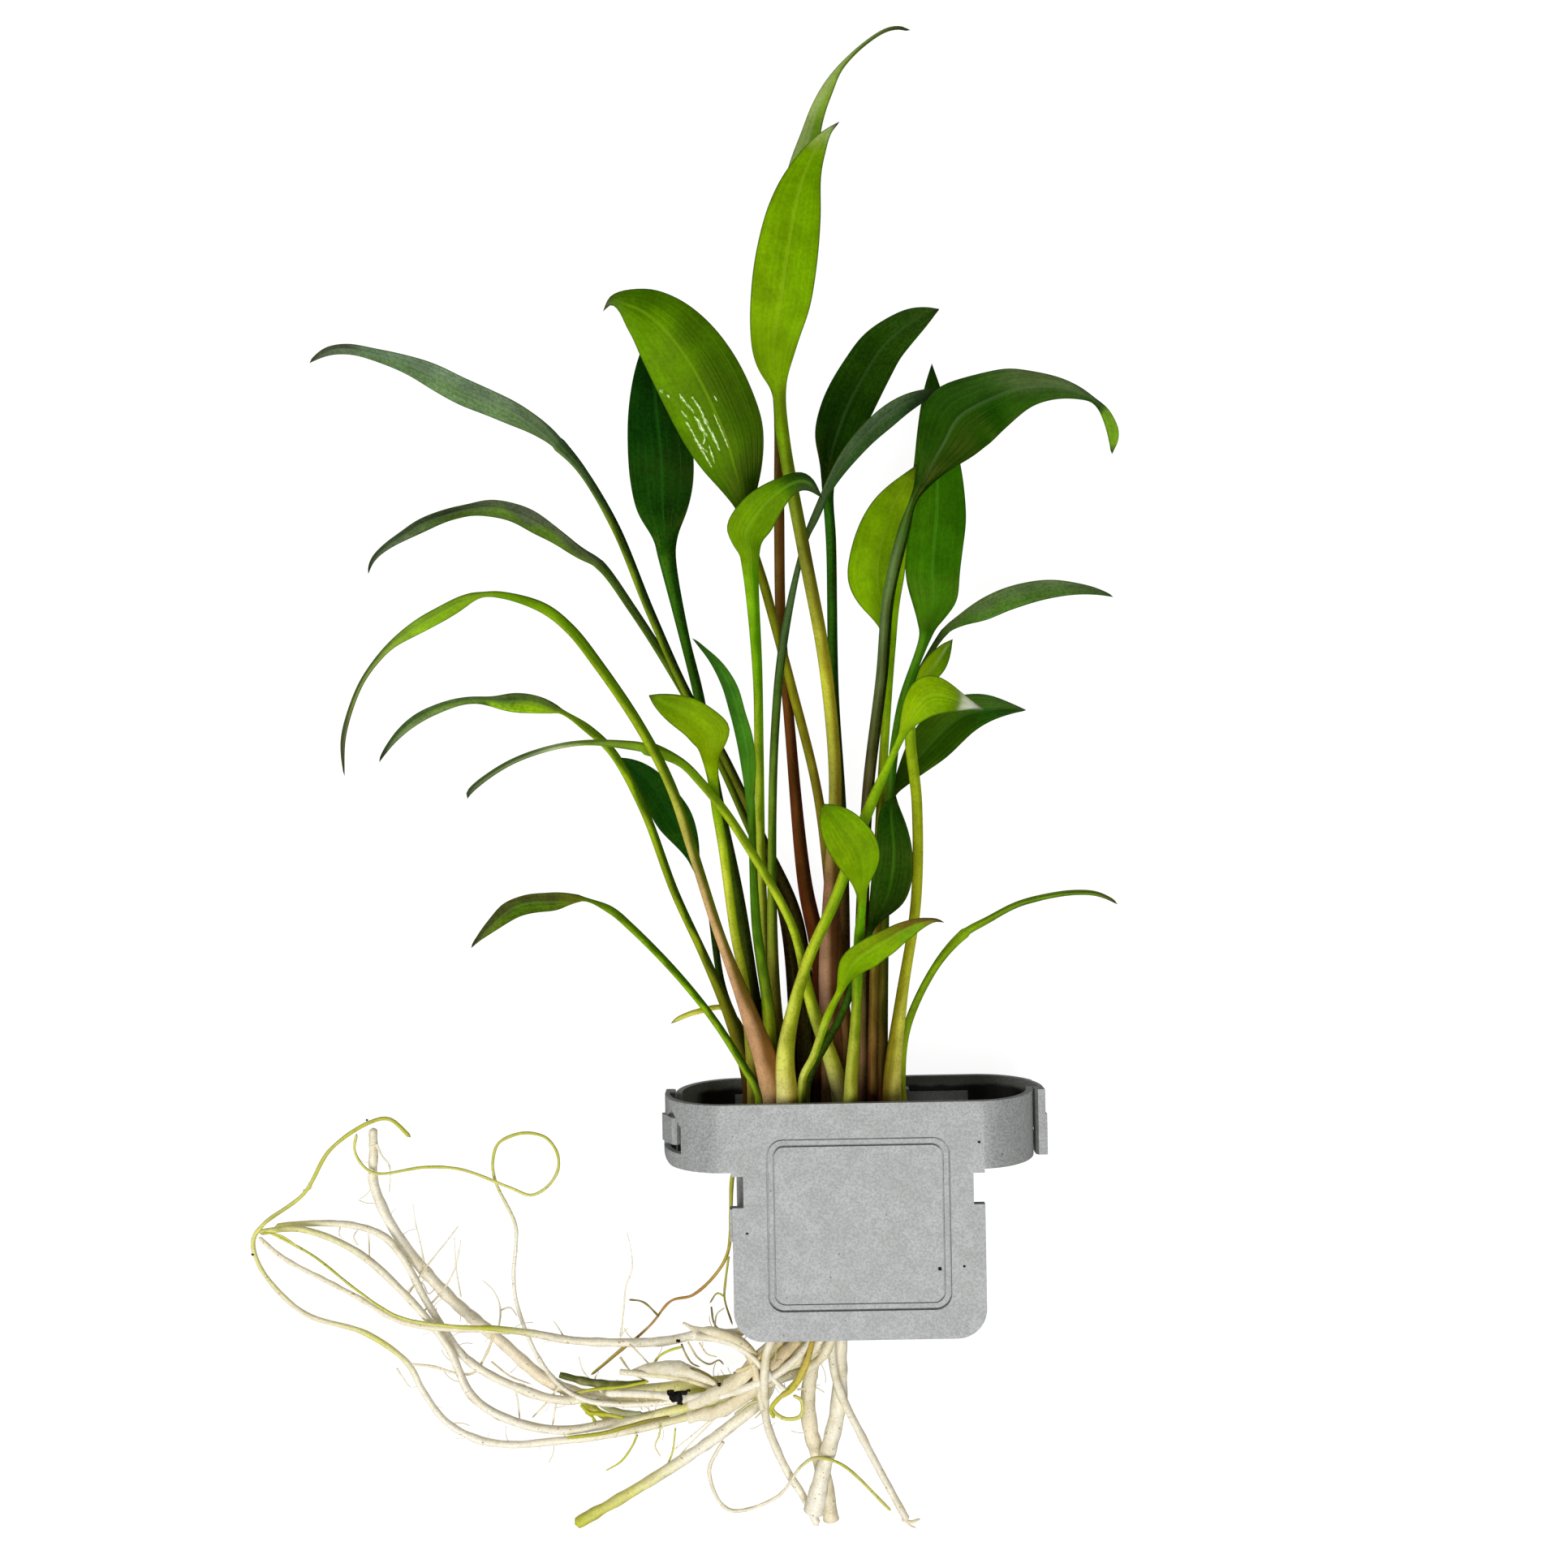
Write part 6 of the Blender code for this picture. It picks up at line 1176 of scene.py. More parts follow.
# %% Thread courses
# Each thread: its diameter at both ends, its colour at both ends, then its course.
BARK = (120, 104, 44)
CLAY = (212, 192, 146)
OCHRE = (196, 170, 66)
DARK_GREEN = (84, 92, 26)
MOSSY = (150, 154, 110)
CREAMY = (214, 208, 184)
BRIGHT = (184, 184, 40)
THREADS = [
    ((0.9, 0.7), (MOULD, LEMON), [(-9.8, -23.8, 9), (-11.8, -28.5, 8), (-15.2, -32.2, 7.5), (-16.7, -34.1, 7.5),
        (-14.4, -36.1, 7.5), (-11.5, -35.7, 7.5), (-11.2, -32.9, 7.5), (-12.8, -31.8, 8)]),
    ((0.5, 0.4), (BARK, BARK), [(-37.3, -16.8, 1.6), (-40.2, -14.1, 2), (-42.9, -13.6, 2)]),
    ((0.5, 0.4), (MOULD, BARK), [(-24.2, -6, 4), (-24.9, -10.7, 4.5), (-25.1, -13.7, 5), (-23.7, -18.7, 6)]),
    ((0.4, 0.3), (MOULD, BARK), [(-25.1, -13.4, 5), (-26.4, -12.7, 5), (-27.9, -14.6, 5)]),
    ((0.4, 0.3), (BARK, TAN), [(-27.6, -15.2, 5), (-27, -18.5, 6), (-24.6, -20.4, 7)]),
    ((0.35, 0.3), (TAN, SHELL), [(-27, -19.1, 7), (-26.6, -16.6, 6), (-25.1, -15.4, 6)]),
    ((0.45, 0.2), (SHELL, IVORY), [(-44.4, -20.3, 4), (-43.7, -14.6, 4), (-43.3, -11.2, 4),
        (-42.1, -7.9, 4), (-42.4, -3.5, 4), (-43, -1.1, 4)]),
    ((0.5, 0.4), (BARK, MOULD), [(-41.1, -20.4, 0.6), (-44.4, -22.7, 0.6), (-47.3, -25.1, 0.6), (-50.1, -27.4, 0.6)]),
    ((0.6, 0.45), (MOULD, MOULD), [(-38.8, -27, 6), (-37.7, -24.5, 7), (-35.6, -23.2, 7.5), (-33, -22.5, 8)]),
    ((0.4, 0.3), (TAN, SHELL), [(-42.8, -21.8, 5), (-40.7, -24, 6), (-38.8, -26.1, 6)]),
    ((0.5, 0.35), (TAN, SHELL), [(-44.6, -24.2, 5), (-42.4, -27.2, 6), (-39.3, -28.9, 6)]),
    ((0.45, 0.3), (BARK, TAN), [(-33.2, -22, 8), (-32.4, -24, 8), (-31.3, -25.6, 8), (-29.8, -26.3, 8)]),
    ((0.45, 0.3), (TAN, BARK), [(-32, -21.7, 8), (-30.2, -24.6, 8), (-28.1, -25.8, 8),
        (-26.3, -25.1, 8), (-25.4, -26, 8)]),
    ((0.35, 0.25), (TAN, TAN), [(-29.9, -21.8, 8), (-28.5, -23.9, 8), (-26.6, -24.5, 8)]),
    ((0.5, 0.35), (MOULD, MOULD), [(-41.7, -38.7, 3), (-42.8, -41, 1.5), (-44.9, -43.6, 0.8), (-47.7, -45.2, 0.6)]),
    ((0.4, 0.3), (LEMON, TAN), [(-37.3, -37.1, 3), (-37.7, -39, 2), (-38.4, -40.8, 1), (-37.4, -42.8, 0.6)]),
    ((0.45, 0.3), (LEMON, MOULD), [(-34.6, -37.6, 3), (-35.3, -42.2, 1), (-36.6, -45, 0.6)]),
    ((0.4, 0.25), (SHELL, SHELL), [(-23.4, -30.9, 6), (-27.3, -35.9, 4), (-31.5, -40, 1.5), (-34.3, -43, 0.6)]),
    ((0.35, 0.25), (SHELL, SHELL), [(-25.6, -34, 4), (-30.4, -38, 2), (-34.9, -41.5, 0.8)]),
    ((0.5, 0.3), (SHELL, IVORY), [(-48, -30.7, 4.5), (-50.7, -27.8, 5), (-51.7, -26.2, 5), (-52.2, -23.9, 5)]),
    ((0.35, 0.2), (SHELL, IVORY), [(-55, -20.1, 4), (-56.1, -18.3, 3.5), (-56.9, -17.2, 3)]),
    ((0.9, 0.4), (SHELL, TAN), [(7.1, -55.1, 0.8), (8.6, -55.6, 0.7), (10.4, -55, 0.6)]),
    ((0.5, 0.3), (SHELL, TAN), [(7.7, -55.4, 0.6), (8.5, -56.3, 0.5), (9.6, -56.7, 0.5)]),
    ((0.4, 0.3), (SHELL, IVORY), [(-11.9, -30.8, 6), (-8.9, -30.4, 5), (-6.8, -31.5, 4)]),
    ((0.4, 0.2), (SHELL, IVORY), [(-80.3, -7.4, 2.5), (-81.1, -2.7, 1.5), (-82, 1.5, 0.8), (-82.4, 5, 0.6)]),
    ((0.45, 0.25), (TAN, SHELL), [(-83.7, -12.1, 2.6), (-80, -6.8, 3), (-76.2, -2.2, 1.5), (-74, 0.6, 0.6)]),
    ((0.4, 0.2), (SHELL, IVORY), [(-73.8, -12.6, 2.5), (-74.6, -7.2, 1.4), (-74.8, -1.3, 0.6)]),
    ((0.45, 0.25), (TAN, IVORY), [(-80.9, -15.3, 4), (-77.1, -11.3, 2), (-74.8, -7.2, 1.4), (-73.6, -1.9, 0.6)]),
    ((0.3, 0.2), (SHELL, IVORY), [(-78, -10.4, 1), (-79.8, -11.9, 0.8), (-80.7, -10.1, 0.6), (-82.4, -9.1, 0.6)]),
    ((0.45, 0.25), (SHELL, IVORY), [(-67, -19.2, 4), (-66.6, -14.7, 2), (-67.8, -11.5, 0.8), (-69.9, -9.5, 0.6)]),
    ((0.35, 0.25), (SHELL, IVORY), [(-66.8, -15.3, 2), (-64.8, -14.7, 1.5), (-63.4, -16.4, 3)]),
    ((0.35, 0.2), (SHELL, IVORY), [(-92.7, -2.7, 0.5), (-93.4, -1.1, 0.5), (-92.2, 0.6, 1.5)]),
    ((0.4, 0.3), (SHELL, IVORY), [(-90.6, -5.4, 3), (-90.6, -2.4, 2), (-90.7, 0.3, 2)]),
    ((0.5, 0.3), (IVORY, IVORY), [(-88.9, 15.9, 3), (-87.9, 13.6, 1.5), (-86.6, 11.8, 0.6), (-86.7, 6.8, 0.6)]),
    ((0.4, 0.25), (SHELL, IVORY), [(-85.9, -25.6, 1), (-84.7, -27.4, 0.6), (-83.4, -29.1, 0.6), (-82, -29, 0.8)]),
    ((0.6, 0.5), (SHELL, TAN), [(-83, -24.9, 1.5), (-79.1, -25.4, 1), (-74.8, -26.7, 1),
        (-71.8, -26.7, 1.5), (-69.6, -23.8, 3), (-67.6, -19.2, 5)]),
    ((0.45, 0.3), (SHELL, SHELL), [(-64.2, -28.7, 4), (-63.6, -32.4, 2), (-63.3, -35.7, 1.5)]),
    ((0.45, 0.3), (SHELL, TAN), [(-55.9, -29.4, 4), (-58.4, -32.5, 2), (-61.1, -35.2, 1.5)]),
    ((0.45, 0.3), (TAN, SHELL), [(-68.3, -24.7, 4), (-65.1, -27.3, 2.5), (-60.9, -29, 3)]),
    ((0.45, 0.3), (SHELL, SHELL), [(-56.4, -31.5, 3), (-57.3, -36.7, 2)]),
    ((1.8, 1.2), (MOULD, LEMON), [(-51.9, -31.6, 2), (-48.4, -34.6, 2), (-44.8, -35.9, 2.4), (-40.6, -36.3, 3)]),
    ((0.7, 0.4), (LEMON, MOULD), [(-51.1, -32.9, 2.2), (-49.9, -35.1, 2), (-49.3, -37.3, 2.4)]),
    ((1.1, 0.8), (SHELL, TAN), [(-44.7, -26.9, 8.2), (-39.3, -27.6, 8.6), (-32.4, -28.6, 9), (-26.7, -30.8, 10)]),
    ((0.35, 0.2), (SHELL, IVORY), [(-42.3, -30.8, 5), (-41.4, -32.5, 4), (-40.6, -34.2, 3.5)]),
    ((0.35, 0.2), (SHELL, IVORY), [(-40.4, -30.9, 5), (-39.7, -32.7, 4), (-39.4, -34.5, 3.5)]),
    ((0.4, 0.2), (TAN, IVORY), [(-38.4, -30.3, 5), (-37.5, -31.8, 4), (-37.9, -33.3, 3.5)]),
    ((0.3, 0.2), (IVORY, IVORY), [(-48.6, -26.8, 5), (-49.3, -28.3, 4), (-48.2, -30.1, 3.5)]),
    ((0.45, 0.3), (TAN, MOULD), [(-23.5, -27.3, 10), (-24.3, -30.6, 10), (-22.4, -32.1, 9.5)]),
    ((0.4, 0.3), (TAN, SHELL), [(-27.3, -28.7, 9), (-29.1, -31.1, 9), (-31.8, -31.9, 8)]),
    ((0.6, 0.35), (SHELL, TAN), [(-19.8, -27.3, 10), (-17.4, -30.7, 8), (-18.4, -34.3, 6), (-19.9, -36, 4)]),
    ((0.5, 0.3), (TAN, LEMON), [(-23.5, -35.1, 5), (-20.5, -33, 6), (-17.1, -32.2, 7)]),
    ((0.3, 0.2), (SHELL, IVORY), [(-95.8, 1, 0.6), (-96.1, -0.7, 0.6), (-95.2, -1.7, 0.6)]),
    ((0.4, 0.25), (TAN, IVORY), [(-102.6, 7.6, 0.8), (-101, 8.1, 0.7), (-101.8, 9.3, 0.6)]),
    ((1.3, 1.0, 0.9), (SHELL, SHELL), [(-64.9, -19.0, 6.2), (-81.1, -17.9, 6.4), (-86.5, -16.3, 6.8),
        (-92.4, -12.6, 7.4), (-97.8, -9.6, 7.6), (-106.2, -5.0, 7.8), (-109.6, -2.2, 8), (-111.0, -0.8, 8)]),
    ((1.5, 1.2, 0.9), (SHELL, IVORY), [(-30.4, -20.6, 12), (-26.5, -21.2, 13), (-23.4, -22.3, 14.5),
        (-20.5, -24.3, 15.4), (-18.1, -26.8, 15.6), (-16.0, -29.1, 15.4), (-14.1, -30.9, 15)]),
    ((0.5, 1.8, 2.2, 1.6), (SHELL, TAN), [(-32.8, -18.1, 8), (-30.4, -19.4, 10), (-27.1, -19.9, 12.4),
        (-23.8, -21.1, 13.6), (-20.9, -23.0, 14.6), (-19.1, -25.3, 14.4)]),
    ((2.4, 3.2, 2.4), (TAN, SHELL), [(-14.9, -21.4, 12.6), (-17.3, -23.2, 13.6), (-19.7, -25.8, 14),
        (-23.1, -29.1, 13.4), (-27.3, -31.4, 12), (-32.2, -33.3, 9.6)]),
    ((2.4, 3.0, 2.2), (CLAY, SHELL), [(-11.6, -21.5, 12.4), (-14.3, -24.1, 13.4), (-17.7, -28.0, 13.8),
        (-21.6, -31.5, 13), (-25.9, -34.3, 11.6), (-32.5, -35.7, 9.4)]),
    ((1.4, 1.8, 1.2), (SHELL, IVORY), [(-9.2, -21.8, 13.4), (-12.5, -25.4, 14.6), (-15.6, -27.7, 15),
        (-20.6, -30.0, 14.8), (-26.6, -32.0, 13.6)]),
    ((1.0, 1.5, 0.9, 0.8), (OCHRE, MOULD), [(-9.0, -21.8, 14), (-9.7, -24.5, 15), (-10.9, -27.5, 15.2),
        (-12.9, -30.6, 14.6), (-15.6, -32.5, 13.6), (-16.9, -34.6, 12.6), (-16.2, -36.0, 12)]),
    ((1.2, 1.6, 1.2), (CLAY, SHELL), [(-23.4, -21.1, 14), (-20.6, -24.6, 15), (-19.5, -28.2, 14.8),
        (-18.9, -31.3, 13.6), (-18.4, -34.6, 11.6)]),
    ((1.1, 0.8), (OCHRE, TAN), [(-16.4, -21.7, 14.6), (-17.6, -23.5, 15.2), (-20.9, -26.4, 15.2),
        (-23.4, -27.3, 14.6)]),
    ((0.5, 2.6, 2.8, 1.2), (CREAMY, SHELL), [(-43.5, -27.2, 6.4), (-39.2, -26.4, 7.8), (-34.0, -26.5, 9.4),
        (-29.4, -28.1, 10.6), (-26.4, -29.6, 11.6)]),
    ((0.4, 0.5, 0.4), (BARK, BARK), [(-31.7, -26.5, 10.6), (-29.4, -27.3, 11.6), (-27.3, -28.7, 12.4),
        (-26.4, -29.5, 12.6)]),
    ((1.4, 1.6, 1.4), (IVORY, SHELL), [(-47.1, -30.8, 6.4), (-39.3, -31.2, 8), (-31.8, -31.9, 10.4),
        (-24.3, -30.9, 13)]),
    ((1.2, 1.7, 1.0), (DARK_GREEN, DARK_GREEN), [(-55.8, -27.3, 4.8), (-50.1, -28.8, 5.4), (-45.3, -29.3, 6),
        (-39.7, -28.9, 7)]),
    ((0.5, 0.7, 0.5), (BRIGHT, BRIGHT), [(-53.1, -30.7, 5.4), (-48.9, -30.0, 6.2), (-43.8, -29.6, 6.8),
        (-39.3, -28.8, 7.6)]),
    ((0.7, 0.8, 0.5), (BRIGHT, BARK), [(-54.5, -38.9, 5), (-48.1, -38.2, 6), (-43.6, -37.1, 7),
        (-39.4, -36.0, 8), (-35.5, -35.3, 9)]),
    ((0.7, 0.9, 0.5), (BRIGHT, BRIGHT), [(-52.0, -32.9, 4.4), (-50.5, -34.3, 4.6), (-47.5, -34.7, 5),
        (-43.9, -35.5, 5.6)]),
    ((0.5, 0.4), (BRIGHT, BRIGHT), [(-51.1, -34.3, 4.4), (-49.6, -35.5, 3.6), (-48.9, -36.9, 3.4)]),
    ((1.0, 1.3, 0.8), (MOSSY, MOSSY), [(-49.2, -32.2, 4.6), (-46.6, -33.8, 5), (-43.6, -34.6, 5.4),
        (-40.6, -34.6, 6)]),
    ((0.8, 0.5), (BRIGHT, BRIGHT), [(-37.5, -31.8, 8.4), (-36.3, -32.0, 9)]),
    ((0.35, 0.3), (BRIGHT, LEMON), [(-110.0, 0.0, 8.4), (-106.6, -0.8, 8.6), (-103.0, -3.4, 8.6)]),
]


def joined(name, parts):
    """Several skins made one piece. Each is a closed shape of its own."""
    bpy.ops.object.select_all(action="DESELECT")
    for part in parts:
        part.select_set(True)
    bpy.context.view_layer.objects.active = parts[0]
    bpy.ops.object.join()
    parts[0].name = name
    parts[0].data.name = name
    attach(parts[0], "root")
    return parts[0]

made = []
for number, (sizes, shades, course) in enumerate(THREADS):
    line, rings, share = tube([true_place(p) for p in course], sizes, 8, 0.5, 200 + number, knots=0.12)
    tint = colours_along([(0, shades[0]), (1, shades[1])], share, 8)
    made.append(skin("thread", rings[:-1], line[-1, :3], ROOT_SKIN, {"tint": tint[:-1]}))
threads = joined("root_threads", made)
print(len(THREADS), "threads,", len(threads.data.polygons), "faces")

# %% [markdown]
# The short side hairs repeat by the hundred and all follow the roots, so Geometry Nodes sets them:
# the tree reads the roots' lines, puts points along them, stands a bent, tapered hair on each with a
# random turn and length, and makes the copies real. A fixed seed gives the same hairs every time.

# %% Node tree: side hairs
HAIRS = bpy.data.node_groups.new("side_hairs", "GeometryNodeTree")
for label, kind, value in (("Root lines", "NodeSocketGeometry", None), ("Spacing", "NodeSocketFloat", 0.002),
                           ("Length", "NodeSocketFloat", 0.003), ("Thickness", "NodeSocketFloat", 0.0001),
                           ("Bend", "NodeSocketFloat", 0.0008), ("Seed", "NodeSocketInt", 5),
                           ("Finish", "NodeSocketMaterial", None)):
    socket = HAIRS.interface.new_socket(label, in_out="INPUT", socket_type=kind)
    if value is not None:
        socket.default_value = value
HAIRS.interface.new_socket("Hairs", in_out="OUTPUT", socket_type="NodeSocketGeometry")
node = HAIRS.nodes.new
come, go = node("NodeGroupInput"), node("NodeGroupOutput")


def random_value(kind, low, high, seed_shift):
    made = node("FunctionNodeRandomValue")
    made.data_type = kind
    names = {"FLOAT": (2, 3), "FLOAT_VECTOR": (0, 1)}[kind]
    made.inputs[names[0]].default_value = low
    made.inputs[names[1]].default_value = high
    shift = math_node(HAIRS, "ADD", come.outputs["Seed"], seed_shift)
    HAIRS.links.new(shift, made.inputs["Seed"])
    return made.outputs[{"FLOAT": 1, "FLOAT_VECTOR": 0}[kind]]


points = node("GeometryNodeCurveToPoints")
points.mode = "LENGTH"
HAIRS.links.new(come.outputs["Root lines"], points.inputs["Curve"])
HAIRS.links.new(come.outputs["Spacing"], points.inputs["Length"])
arc = node("GeometryNodeCurveQuadraticBezier")
arc.inputs["Resolution"].default_value = 7
arc.inputs["Start"].default_value = (0.0, 0.0, 0.0)
middle, end = node("ShaderNodeCombineXYZ"), node("ShaderNodeCombineXYZ")
HAIRS.links.new(math_node(HAIRS, "MULTIPLY", come.outputs["Length"], 0.5), middle.inputs[0])
HAIRS.links.new(come.outputs["Bend"], middle.inputs[1])
HAIRS.links.new(come.outputs["Length"], end.inputs[0])
HAIRS.links.new(middle.outputs[0], arc.inputs["Middle"])
HAIRS.links.new(end.outputs[0], arc.inputs["End"])
taper = node("GeometryNodeSetCurveRadius")
along = node("GeometryNodeSplineParameter")
HAIRS.links.new(arc.outputs[0], taper.inputs["Curve"])
HAIRS.links.new(map_range(HAIRS, along.outputs["Factor"], 0.0, 1.0, 1.0, 0.25), taper.inputs["Radius"])
ring = node("GeometryNodeCurvePrimitiveCircle")
ring.inputs["Resolution"].default_value = 5
HAIRS.links.new(come.outputs["Thickness"], ring.inputs["Radius"])
body = node("GeometryNodeCurveToMesh")
HAIRS.links.new(taper.outputs[0], body.inputs["Curve"])
HAIRS.links.new(ring.outputs[0], body.inputs["Profile Curve"])
body.inputs["Fill Caps"].default_value = True
stand = node("GeometryNodeInstanceOnPoints")
HAIRS.links.new(points.outputs["Points"], stand.inputs["Points"])
HAIRS.links.new(body.outputs[0], stand.inputs["Instance"])
HAIRS.links.new(random_value("FLOAT_VECTOR", (-0.5, -0.12, 0.0), (0.5, 0.12, 6.28), 1), stand.inputs["Rotation"])
HAIRS.links.new(random_value("FLOAT", 0.35, 1.3, 2), stand.inputs["Scale"])
real = node("GeometryNodeRealizeInstances")
HAIRS.links.new(stand.outputs[0], real.inputs[0])
paint = node("GeometryNodeSetMaterial")
HAIRS.links.new(real.outputs[0], paint.inputs["Geometry"])
HAIRS.links.new(come.outputs["Finish"], paint.inputs["Material"])
HAIRS.links.new(paint.outputs[0], go.inputs[0])


def line_curve(name, lines):
    """Polylines in mm as one curve object, for the tree to read."""
    data = bpy.data.curves.new(name, "CURVE")
    data.dimensions = "3D"
    for line in lines:
        run = data.splines.new("POLY")
        run.points.add(len(line) - 1)
        for point, place in zip(run.points, line):
            point.co = (*(float(c) * MM for c in place[:3]), 1.0)
    obj = bpy.data.objects.new(name, data)
    scene.collection.objects.link(obj)
    return obj


def grown(obj, group, name, **values):
    """Runs the tree on obj and gives back its result as a plain mesh object."""
    mod = obj.modifiers.new(group.name, "NODES")
    mod.node_group = group
    for item in group.interface.items_tree:
        key = item.name.replace(" ", "_")
        if item.item_type == "SOCKET" and item.in_out == "INPUT" and key in values:
            mod[item.identifier] = values[key]
    bpy.context.view_layer.update()
    graph = bpy.context.evaluated_depsgraph_get()
    mesh = bpy.data.meshes.new_from_object(obj.evaluated_get(graph))
    obj.modifiers.clear()
    bpy.data.objects.remove(obj, do_unlink=True)
    made = bpy.data.objects.new(name, mesh)
    mesh.name = name
    scene.collection.objects.link(made)
    return made


def hair_finish(name, rgb):
    made, tree, shader = new_material(name)
    patch = place_group(tree, MOTTLE, Fine=900.0, Broad=90.0)
    colour = mix_colour(tree, map_range(tree, patch.outputs["Broad"], 0.35, 0.7), linear(rgb), linear((206, 196, 120)))
    wire(tree, colour, shader.inputs["Base Color"])
    wire(tree, map_range(tree, patch.outputs["Fine"], 0.2, 0.8, 0.45, 0.6), shader.inputs["Roughness"])
    return made


HAIR = hair_finish("root_hair", (196, 186, 164))
haired = [root_lines[name][int(len(root_lines[name]) * a):int(len(root_lines[name]) * b)] for name, a, b in (
    ("root_outer_loop", 0.1, 0.55), ("root_second", 0.1, 0.8), ("root_third", 0.1, 0.8), ("root_fourth", 0.1, 0.95),
    ("root_round_loop", 0.1, 0.4), ("root_upper", 0.1, 0.7), ("root_low_left", 0.1, 0.6), ("root_down_left", 0.3, 0.7),
    ("root_down_thick", 0.3, 0.8), ("root_down_middle", 0.3, 0.8))]
hairs = grown(line_curve("hair_lines", haired), HAIRS, "root_hairs", Spacing=0.0042, Length=0.0036, Thickness=0.00007,
              Bend=0.0009, Seed=5, Finish=HAIR)
for v in hairs.data.vertices:
    v.co.z = max(v.co.z, 0.0001)
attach(hairs, "root")
print("side hairs:", len(hairs.data.polygons), "faces")

# %% [markdown]
# ## Water on the big bright leaf
# That leaf is still wet: thin lines of water stand between its veins and catch the light, by their gloss and by pale
# patches of painted highlight in their colour. Each line is a slim tube half sunk in the blade. Its points are found
# where the sight line meets the leaf.

# %% Water lines
# Each line: its width, then where it is seen.
STREAKS = [
    (0.8, [(-28.2, 153.0), (-27.4, 151.8), (-26.8, 150.9), (-26.0, 148.9), (-25.0, 146.9), (-24.0, 144.8), (-23.2, 142.8)]),
    (0.7, [(-29.4, 148.5), (-28.4, 146.8), (-27.5, 145.0), (-26.7, 143.5), (-25.7, 141.6), (-24.6, 139.6)]),
    (0.9, [(-27.8, 149.5), (-27.0, 148.2), (-26.3, 146.8), (-25.3, 145.3)]),
    (0.7, [(-30.5, 153.6), (-30.0, 152.7), (-29.2, 151.7), (-28.3, 150.7), (-27.8, 149.7)]),
    (0.9, [(-34.1, 154.4), (-33.4, 153.8)]),
    (0.6, [(-32.8, 153.4), (-32.1, 152.8)]),
    (0.6, [(-30.3, 150.6), (-29.6, 149.7), (-28.8, 148.8)]),
    (0.5, [(-26.3, 146.7), (-26.0, 145.1), (-26.4, 144.0)]),
    (0.6, [(-25.2, 143.9), (-24.7, 142.3), (-24.2, 140.5)]),
    (0.45, [(-24.3, 149.9), (-23.3, 147.6), (-22.3, 145.2), (-21.6, 143.3)]),
    (0.4, [(-24.1, 153.1), (-23.5, 152.0)]),
    (0.45, [(-25.5, 142.7), (-26.2, 143.3), (-26.7, 144.0)]),
]
WATER, tree, shader = new_material("water_film")
tint = attribute(tree, "tint").outputs["Color"]
# Pale patches in the film's colour are painted highlight; the low roughness adds real gloss.
painted_highlight_mask = place_group(tree, MOTTLE, Fine=1900.0, Broad=500.0).outputs["Fine"]
wire(tree, mix_colour(tree, map_range(tree, painted_highlight_mask, 0.42, 0.6), tint, linear((196, 218, 150))), shader.inputs["Base Color"])
shader.inputs["Roughness"].default_value = 0.12
shader.inputs["Specular IOR Level"].default_value = 0.9
wet_leaf = bpy.data.objects["blade_big_bright"]
eye = Vector(EYE) * MM
made = []
for number, (wide, seen) in enumerate(STREAKS):
    rows = []
    for x, y in seen:
        hit, place, *_ = wet_leaf.ray_cast(eye, (Vector((x, y, DEPTH)) * MM - eye).normalized())
        if hit:
            rows.append(tuple(place / MM))
    line, rings, share = tube(rows, (0.5 * wide, wide, 0.4 * wide), 8, 0.3, 400 + number, knots=0.25)
    tint = colours_along([(0, (120, 160, 40)), (1, (120, 160, 40))], share, 8)
    made.append(skin("film", rings[:-1], line[-1, :3], WATER, {"tint": tint[:-1]}))
water = joined("water_lines", made)
print(len(made), "water lines,", len(water.data.polygons), "faces")

# %% [markdown]
# ## The holder
# Two alike half shells of speckled grey plastic clip together round the stock. Each is a flat plate
# with thin side walls under a rim shaped like half a running track. The long left end of a rim laps
# over the other rim's short end, where a tongue springs into a window. The shells are built from
# prisms joined and cut with exact booleans, like the moulding tool's own blocks, then every outer
# edge is rounded a little with Bevel. The square sunk line on the plate frames a bare field.

# %% Holder sizes
RIM_TOP = 21.9
RIM_UNDER = 9.4
RIM_WALL = 1.2
RIM_LONG_END = 36.8
RIM_SHORT_END = 34.4
LAP = 3.0
PLATE_HALF = 23.4
PLATE_FOOT = -21.9
PLATE_THICK = 1.5
PLATE_CORNER = 5.5
SIDE_WALL = 0.9
NOTCH_WIDE = 2.1
NOTCH_TALL = 5.8
NOTCH_BELOW = 7.0
NOTCH_TOP = RIM_UNDER - 0.7
PANEL_HALF = (17.0, 16.0)
PANEL_MIDDLE = -0.5
PANEL_CORNER = 3.0
GROOVE_WIDE = 1.5
GROOVE_DEEP = 0.3
RIDGE = [(17.2, 20.8), (23.0, 16.85)]
WINDOW = [(12.2, 13.2), (12.2, 20.8), (17.2, 20.8), (20.0, 18.2), (18.5, 16.2), (18.5, 13.2)]
CATCH = [(33.2, 12.1), (34.3, 12.1), (34.3, 10.4), (36.9, 9.9), (36.9, 9.2), (36.2, 8.0), (34.8, 5.4),
         (33.8, 5.0), (33.2, 5.6)]
CATCH_FOOT, CATCH_TOP = 13.5, 18.5
print("holder", 2 * RIM_LONG_END, "mm wide,", RIM_TOP - PLATE_FOOT, "mm tall")


